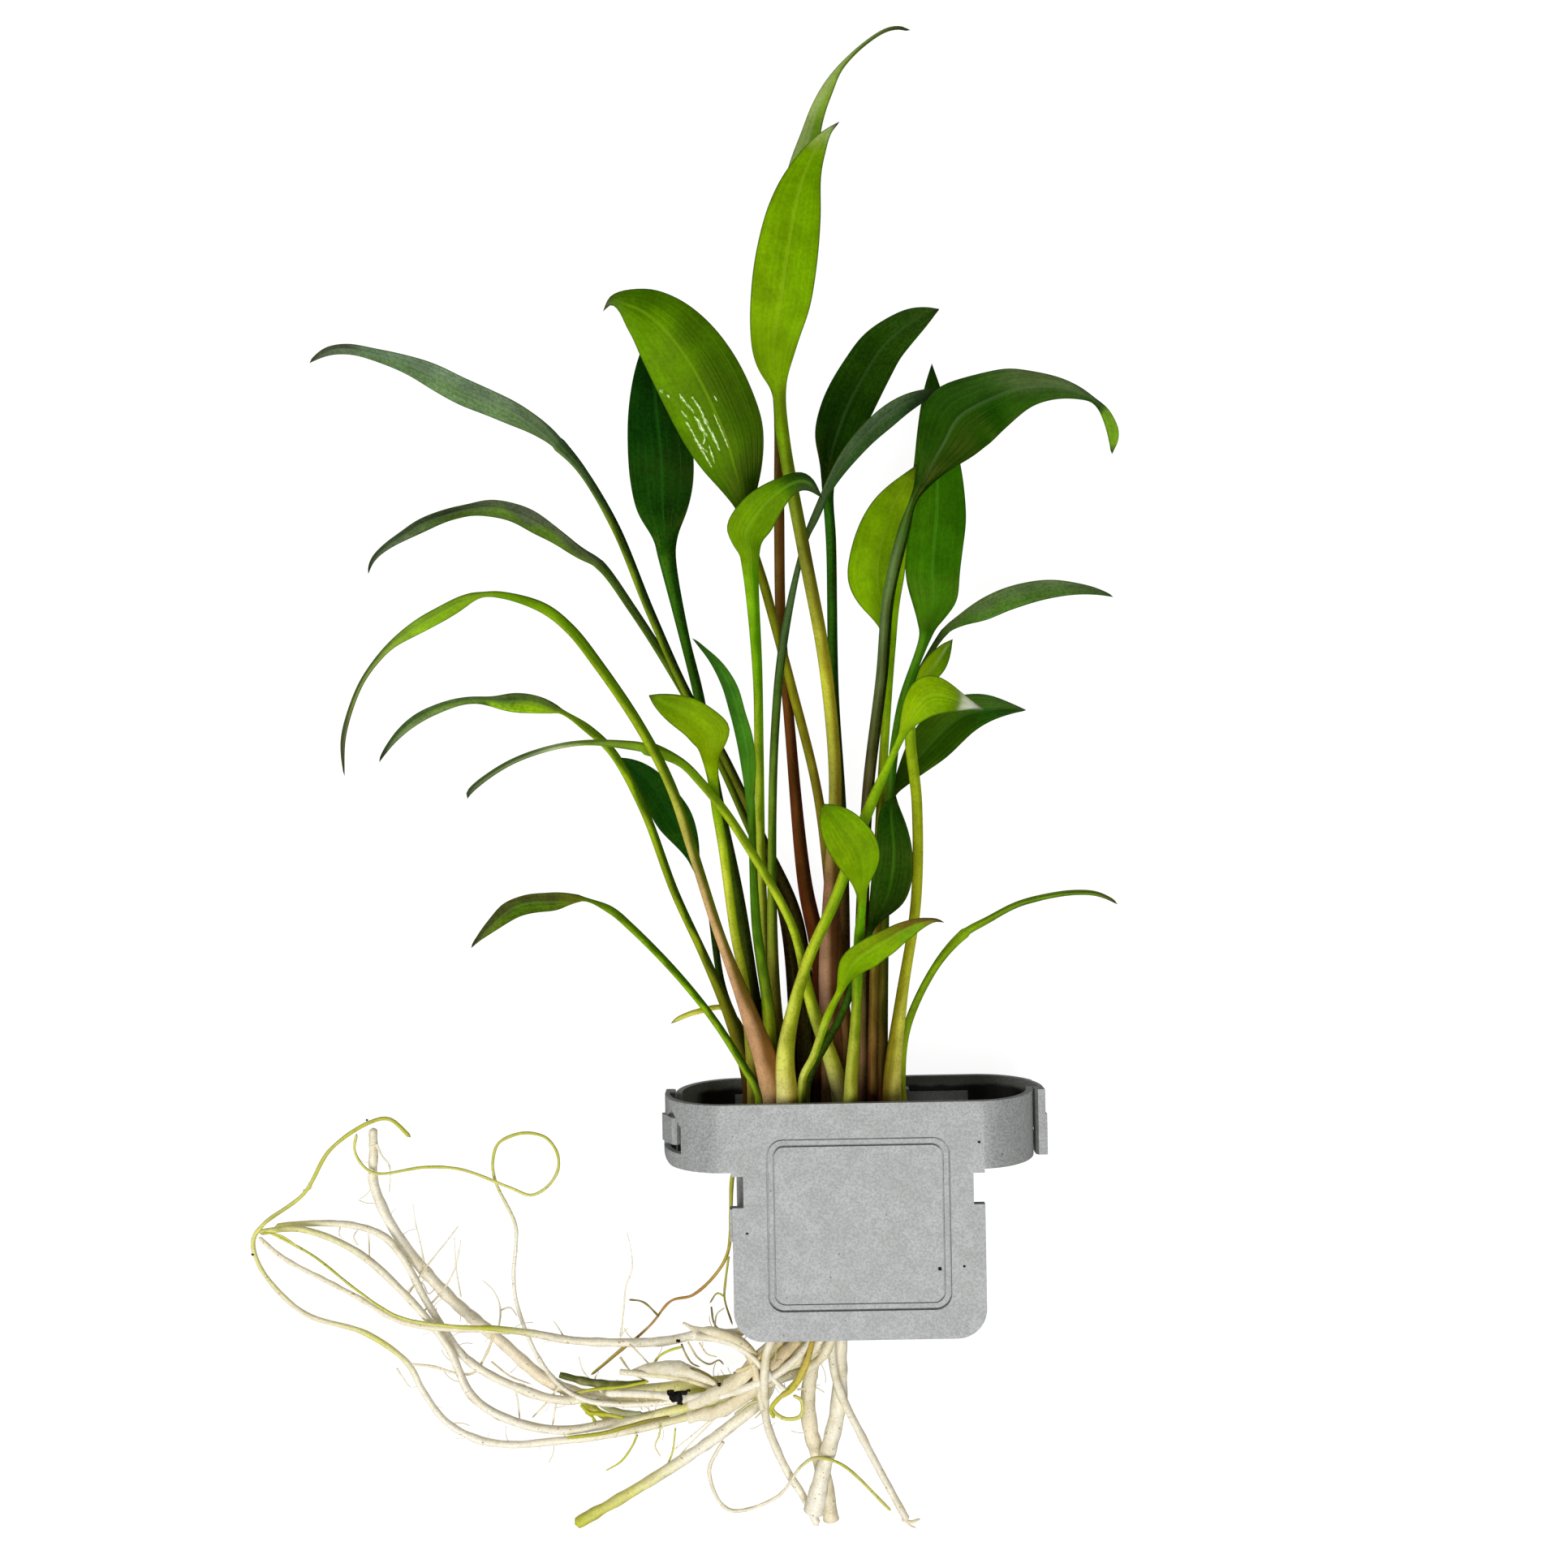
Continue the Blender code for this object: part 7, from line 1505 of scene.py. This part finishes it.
# %% Moulded plastic
def plastic_finish(name):
    made, tree, shader = new_material(name)
    patch = place_group(tree, MOTTLE, Fine=2600.0, Broad=260.0)
    grey = mix_colour(tree, map_range(tree, patch.outputs["Fine"], 0.34, 0.66), linear((127, 129, 128)), linear((154, 156, 155)))
    haze = map_range(tree, patch.outputs["Broad"], 0.42, 0.7, 0.0, 0.22)
    grey = mix_colour(tree, haze, grey, linear((150, 151, 149)))
    spot = tree.nodes.new("ShaderNodeTexCoord")
    for size, reach, rgb, amount in ((230.0, 0.05, (58, 58, 54), 0.75), (520.0, 0.10, (96, 96, 92), 0.5),
                                     (410.0, 0.09, (176, 178, 176), 0.4)):
        cells = tree.nodes.new("ShaderNodeTexVoronoi")
        cells.inputs["Scale"].default_value = size
        wire(tree, spot.outputs["Object"], cells.inputs["Vector"])
        mask = map_range(tree, cells.outputs["Distance"], reach * 0.7, reach, amount, 0.0)
        grey = mix_colour(tree, mask, grey, linear(rgb))
    # Faces inside the rim are darkened towards brown-grey: painted shade of the deep mouth.
    inside = attribute(tree, "inside").outputs["Fac"]
    grey = mix_colour(tree, math_node(tree, "MULTIPLY", inside, 0.5), grey, linear((74, 74, 60)))
    # Inside the rim, below a ragged line just under its top edge, the plastic is painted almost black: a painted shadow
    # of the opposite wall.
    place = tree.nodes.new("ShaderNodeSeparateXYZ")
    wire(tree, spot.outputs["Object"], place.inputs[0])
    ragged = math_node(tree, "MULTIPLY", patch.outputs["Broad"], 0.0012)
    height = math_node(tree, "ADD", place.outputs[1], ragged)
    painted_shadow = math_node(tree, "MULTIPLY", inside, map_range(tree, height, 0.0202, 0.0211, 1.0, 0.0))
    span = math_node(tree, "ABSOLUTE", math_node(tree, "SUBTRACT", place.outputs[0], 0.0018))
    painted_shadow = math_node(tree, "MULTIPLY", painted_shadow, map_range(tree, span, 0.0312, 0.0335, 1.0, 0.0))
    grey = mix_colour(tree, math_node(tree, "MULTIPLY", painted_shadow, 0.97), grey, linear((9, 8, 6)))
    wire(tree, grey, shader.inputs["Base Color"])
    wire(tree, map_range(tree, patch.outputs["Broad"], 0.3, 0.7, 0.34, 0.44), shader.inputs["Roughness"])
    shader.inputs["Specular IOR Level"].default_value = 0.5
    bump = tree.nodes.new("ShaderNodeBump")
    bump.inputs["Strength"].default_value = 0.25
    bump.inputs["Distance"].default_value = 0.0001
    wire(tree, patch.outputs["Fine"], bump.inputs["Height"])
    wire(tree, bump.outputs["Normal"], shader.inputs["Normal"])
    return made


PLASTIC = plastic_finish("speckled_plastic")


# %% Blocks and cuts
def prism(name, outline, low, high, axis):
    """The outline drawn on a plane, pulled from low to high along the axis that it leaves out."""
    points = []
    for level in (low, high):
        for u, v in outline:
            points.append([c * MM for c in {"x": (level, u, v), "y": (u, level, v), "z": (u, v, level)}[axis]])
    n = len(outline)
    faces = [tuple(range(n)), tuple(range(n, 2 * n))]
    faces += [(i, (i + 1) % n, n + (i + 1) % n, n + i) for i in range(n)]
    mesh = bpy.data.meshes.new(name)
    mesh.from_pydata(points, [], faces)
    bm = bmesh.new()
    bm.from_mesh(mesh)
    bmesh.ops.recalc_face_normals(bm, faces=bm.faces)
    bm.to_mesh(mesh)
    bm.free()
    obj = bpy.data.objects.new(name, mesh)
    scene.collection.objects.link(obj)
    return obj


def settled(obj):
    """Applies every modifier on obj."""
    bpy.context.view_layer.update()
    graph = bpy.context.evaluated_depsgraph_get()
    mesh = bpy.data.meshes.new_from_object(obj.evaluated_get(graph))
    obj.modifiers.clear()
    obj.data = mesh
    return obj


def join(target, tool, operation):
    mod = target.modifiers.new(operation, "BOOLEAN")
    mod.operation = operation
    mod.solver = "EXACT"
    mod.object = tool
    settled(target)
    bpy.data.objects.remove(tool, do_unlink=True)


def bow(cx, cy, radius, start, end, steps):
    turns = np.radians(np.linspace(start, end, steps + 1))
    return [(cx + radius * math.cos(t), cy + radius * math.sin(t)) for t in turns]


def half_stadium(inset, lap):
    radius = DEPTH / 2 - inset
    middle = DEPTH / 2
    left = -RIM_LONG_END + DEPTH / 2
    right = RIM_SHORT_END - DEPTH / 2
    line = bow(right, middle, radius, 0, 90, 18) + bow(left, middle, radius, 90, 180, 18)
    return [(line[0][0], middle + GAP / 2)] + line[1:-1] + [(line[-1][0], middle - lap)]


def rounded_plate(half, top, foot, corner, steps=14):
    return ([(-half, top)] + bow(-half + corner, foot + corner, corner, 180, 270, steps)
            + bow(half - corner, foot + corner, corner, 270, 360, steps) + [(half, top)])


def rounded_square(half, middle, corner):
    w, h = half
    out = []
    for sx, sy, start in ((1, 1, 0), (-1, 1, 90), (-1, -1, 180), (1, -1, 270)):
        out += bow(sx * (w - corner), middle + sy * (h - corner), corner, start, start + 90, 9)
    return out


# %% One half shell
def half_shell(name, corner):
    joint = DEPTH / 2 + GAP / 2
    band = prism(name, half_stadium(0.0, LAP) + half_stadium(RIM_WALL, LAP)[::-1], RIM_UNDER, RIM_TOP, "y")
    room = PLATE_HALF - SIDE_WALL
    floor = prism("floor", half_stadium(0.5, -GAP / 2), RIM_UNDER, RIM_UNDER + RIM_WALL, "y")
    neck = [(-room, 0), (room, 0), (room, DEPTH + 1), (-room, DEPTH + 1)]
    join(floor, prism("neck", neck, RIM_UNDER - 1, RIM_UNDER + 3, "y"), "DIFFERENCE")
    join(band, floor, "UNION")
    plate = rounded_plate(PLATE_HALF, RIM_TOP - 3, PLATE_FOOT, PLATE_CORNER)
    join(band, prism("plate", plate, DEPTH - PLATE_THICK, DEPTH, "z"), "UNION")
    walls = prism("walls", rounded_plate(PLATE_HALF, RIM_UNDER + 0.5, PLATE_FOOT, PLATE_CORNER), joint, DEPTH - 0.4, "z")
    hollow = [(-room, RIM_TOP), (-room, PLATE_FOOT + 2.2), (-room + 2, PLATE_FOOT - 2),
              (room - 2, PLATE_FOOT - 2), (room, PLATE_FOOT + 2.2), (room, RIM_TOP)]
    join(walls, prism("hollow", hollow, joint - 1, DEPTH, "z"), "DIFFERENCE")
    for side in (-1, 1):
        a, b = sorted((side * (PLATE_HALF + 1), side * (PLATE_HALF - NOTCH_WIDE)))
        foot = NOTCH_TOP - NOTCH_TALL
        low = foot - NOTCH_BELOW
        join(walls, prism("gap", [(a, low), (b, low), (b, NOTCH_TOP), (a, NOTCH_TOP)], 0, DEPTH + 1, "z"), "DIFFERENCE")
        join(band, prism("notch", [(a, foot), (b, foot), (b, NOTCH_TOP), (a, NOTCH_TOP)], 12, DEPTH + 1, "z"), "DIFFERENCE")
    join(band, walls, "UNION")
    a, b = -PLATE_HALF - 0.5, -PLATE_HALF + 0.4
    join(band, prism("tab", [(a, -3.6), (b, -3.6), (b, 2.4), (a, 2.4)], DEPTH - 3.0, DEPTH - 1.0, "z"), "UNION")
    for inset, wide, deep in ((0.0, GROOVE_WIDE, GROOVE_DEEP), (0.0, 0.32, 0.62), (GROOVE_WIDE - 0.32, 0.32, 0.62)):
        outer = rounded_square([h - inset for h in PANEL_HALF], PANEL_MIDDLE, PANEL_CORNER - 0.8 * inset)
        inner = rounded_square([h - inset - wide for h in PANEL_HALF], PANEL_MIDDLE, PANEL_CORNER - 0.8 * (inset + wide))
        line = prism("line", outer, DEPTH - deep, DEPTH + 1, "z")
        join(line, prism("middle", inner, DEPTH - 2, DEPTH + 2, "z"), "DIFFERENCE")
        join(band, line, "DIFFERENCE")
    left = -RIM_LONG_END
    # The lapping end is thicker, its upper part is sunk behind a slanting ridge, and a window takes the catch.
    pad = [(left + 0.4, 11.8), (left + 0.4, 9.6), (left + 0.7, 9.0), (left + 1.7, 9.0), (left + 2.2, 9.5), (left + 2.2, 11.8)]
    join(band, prism("pad", pad, RIM_UNDER, RIM_TOP, "y"), "UNION")
    sunk = prism("sunk", half_stadium(-1.0, 6) + half_stadium(0.3, 6)[::-1], RIM_UNDER + 1, RIM_TOP + 1, "y")
    slant = RIDGE + [(23.0, 5.0), (17.2, 5.0)]
    join(sunk, prism("slant", slant, left - 2, left + 7, "x"), "INTERSECT")
    join(band, sunk, "DIFFERENCE")
    join(band, prism("window", WINDOW, left - 2, left + 7, "x"), "DIFFERENCE")
    if corner:
        foot, start = RIM_UNDER, (left + corner, RIM_UNDER + corner)
        cut = [(left - 1, foot - 1), (start[0], foot - 1)] + bow(*start, corner, 270, 180, 8) + [(left - 1, start[1])]
        join(band, prism("corner", cut, 5, DEPTH + 1, "z"), "DIFFERENCE")
    join(band, prism("catch", CATCH, CATCH_FOOT, CATCH_TOP, "y"), "UNION")
    # Ribs that stiffen the inside of the rim.
    for rib_x, half in ((-10.4, 1.0), (12.0, 1.0)):
        rib = [(rib_x - half, DEPTH - 4.2), (rib_x + half, DEPTH - 4.2), (rib_x + half, DEPTH - 1.0), (rib_x - half, DEPTH - 1.0)]
        join(band, prism("rib", rib, RIM_UNDER + 0.4, RIM_TOP - 1.9, "y"), "UNION")
    pip = [(18.9, DEPTH - 2.6), (20.6, DEPTH - 2.4), (20.6, DEPTH - 1.0), (18.9, DEPTH - 1.0)]
    join(band, prism("pip", pip, RIM_TOP - 2.2, RIM_TOP - 0.8, "y"), "UNION")
    return band


def darken(mesh):
    """Marks the faces inside the rim, which the finish darkens as painted shade of the deep mouth."""
    marks = mesh.attributes.new("inside", "FLOAT", "FACE")
    for face in mesh.polygons:
        x, y, z = face.center / MM
        over = max(abs(x + 1.2) - 23.6, 0.0)
        inset = DEPTH / 2 - math.hypot(over, z - DEPTH / 2)
        inward = face.normal.z * (DEPTH / 2 - z) + face.normal.x * (-x if over else 0.0) > 0
        marks.data[face.index].value = float(0.5 < inset < 1.6 and y > RIM_UNDER and inward)


def finished_shell(name, node, turned):
    shell = half_shell(name, 0.0 if turned else 2.4)
    bm = bmesh.new()
    bm.from_mesh(shell.data)
    bmesh.ops.remove_doubles(bm, verts=bm.verts, dist=1e-6)
    bmesh.ops.dissolve_limit(bm, angle_limit=math.radians(0.5), verts=bm.verts, edges=bm.edges)
    bm.to_mesh(shell.data)
    bm.free()
    bevel = shell.modifiers.new("soft_edges", "BEVEL")
    bevel.width = 0.2 * MM
    bevel.segments = 2
    bevel.limit_method = "ANGLE"
    bevel.angle_limit = math.radians(50)
    bevel.use_clamp_overlap = True
    mesh = settled(shell).data
    darken(mesh)
    mesh.polygons.foreach_set("use_smooth", [True] * len(mesh.polygons))
    mesh.set_sharp_from_angle(angle=math.radians(32))
    weigh = shell.modifiers.new("even_faces", "WEIGHTED_NORMAL")
    weigh.keep_sharp = True
    mesh = settled(shell).data
    if turned:
        about = Matrix.Rotation(math.pi, 4, "Y")
        mesh.transform(Matrix.Translation((0, 0, DEPTH * MM)) @ about)
    mesh.materials.clear()
    mesh.materials.append(PLASTIC)
    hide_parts(node)
    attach(shell, "root")
    print(name, len(mesh.polygons), "faces")
    return shell


finished_shell("shell_front", "holder_front", False)
finished_shell("shell_back", "holder_back", True)

# %% [markdown]
# ## The stock, and soil left on the roots
# Between the shells sits the short, knobbly stock that all leaves and roots grow from. Only its top
# shows, deep in the mouth. A few crumbs of dark soil still cling to the roots. Both are lumps: a
# rounded body whose points are pushed in or out by noise.

# %% Earth and bark
def crumb_finish(name, dark, light, rough):
    made, tree, shader = new_material(name)
    patch = place_group(tree, MOTTLE, Fine=2200.0, Broad=500.0)
    mask = map_range(tree, patch.outputs["Fine"], 0.4, 0.7)
    wire(tree, mix_colour(tree, mask, linear(dark), linear(light)), shader.inputs["Base Color"])
    wire(tree, map_range(tree, patch.outputs["Broad"], 0.3, 0.7, rough - 0.1, rough + 0.1), shader.inputs["Roughness"])
    shader.inputs["Specular IOR Level"].default_value = 0.2
    return made


BARK_SKIN = crumb_finish("stock_bark", (52, 40, 22), (118, 96, 52), 0.7)
SOIL = crumb_finish("wet_soil", (5, 4, 3), (22, 18, 12), 0.7)


def lump(name, low, high, finish, cuts, rough, seed):
    """A closed lump that fills the box from low to high (mm), less where noise bites into it."""
    bm = bmesh.new()
    bmesh.ops.create_cube(bm, size=2.0)
    bmesh.ops.subdivide_edges(bm, edges=bm.edges, cuts=cuts, use_grid_fill=True)
    low, high = np.array(low, float), np.array(high, float)
    centre, half = (low + high) / 2, (high - low) / 2
    for v in bm.verts:
        p = v.co.copy()
        ball = p.normalized()
        p = p * 0.45 + ball * 0.55 * 1.18
        p = Vector([max(-1.0, min(1.0, c)) for c in p])
        bite = noise.fractal(Vector([c * 1.7 + seed for c in p]), 1.0, 2.1, 4)
        p = p * (1 - rough * (0.5 + bite))
        v.co = [(c + h * max(-1.0, min(1.0, q))) * MM for c, h, q in zip(centre, half, p)]
    mesh = bpy.data.meshes.new(name)
    bm.to_mesh(mesh)
    bm.free()
    mesh.polygons.foreach_set("use_smooth", [True] * len(mesh.polygons))
    mesh.materials.append(finish)
    obj = bpy.data.objects.new(name, mesh)
    scene.collection.objects.link(obj)
    return obj


low, high = [np.array(c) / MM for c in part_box("stock")]
stock = lump("stock_lump", low, high, BARK_SKIN, 24, 0.12, 3.0)
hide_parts("stock")
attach(stock, "root")

# Crumbs: where each is seen (x, y), its height, and its size.
CRUMBS = [
    (-34.4, -31.7, 11.5, 2.6, 2.2),
    (-33, -31, 11.8, 1.6, 0.9),
    (-35.4, -31, 11.4, 1.5, 1.3),
    (-32.1, -30.6, 12, 0.9, 0.5),
    (-33.8, -21.4, 7, 0.9, 0.6),
    (-26.4, -29.6, 13.5, 0.7, 0.8),
    (-33.7, -32.8, 11.2, 1.2, 0.9),
    (-90.6, 20.4, 1.4, 0.5, 0.4),
    (-112.1, -4.1, 1.3, 0.7, 0.5),
    (-87.6, 2.4, 1.5, 0.4, 0.5),
    (-70.2, -39.6, 1.8, 0.5, 0.4),
    (-94.8, -9.7, 8.1, 0.4, 0.3),
    (22.4, 14.4, 24.0, 0.6, 0.5),
    (14.8, -8.9, 24.0, 0.8, 0.7),
    (19.3, -8.5, 24.0, 0.5, 0.5),
    (-20.7, -1.8, 24.0, 0.5, 0.4),
]
made = []
for number, (x, y, z, wide, tall) in enumerate(CRUMBS):
    x, y, z = true_place((x, y, z))
    made.append(lump("crumb", (x - wide / 2, y - tall / 2, z - 0.7 * min(wide, tall) / 2),
                     (x + wide / 2, y + tall / 2, z + 0.7 * min(wide, tall) / 2), SOIL, 6, 0.45, 7.0 + 3 * number))
crumbs = joined("soil_crumbs", made)
print(len(CRUMBS), "crumbs,", len(crumbs.data.polygons), "faces")

# %% [markdown]
# ## Table finish and sizes
# The table is plain and pale. Last, the reach of the dressed plant is printed.

# %% Table finish
TABLE_TOP, tree, shader = new_material("pale_table")
shader.inputs["Base Color"].default_value = (0.2, 0.2, 0.2, 1.0)
shader.inputs["Roughness"].default_value = 0.9
shader.inputs["Specular IOR Level"].default_value = 0.1
shader.inputs["Emission Color"].default_value = (1.0, 1.0, 1.0, 1.0)
shader.inputs["Emission Strength"].default_value = 0.92
table_mesh.materials.append(TABLE_TOP)

# %% Sizes
low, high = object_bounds()
print("dressed plant reaches from", [round(c, 4) for c in low], "to", [round(c, 4) for c in high])
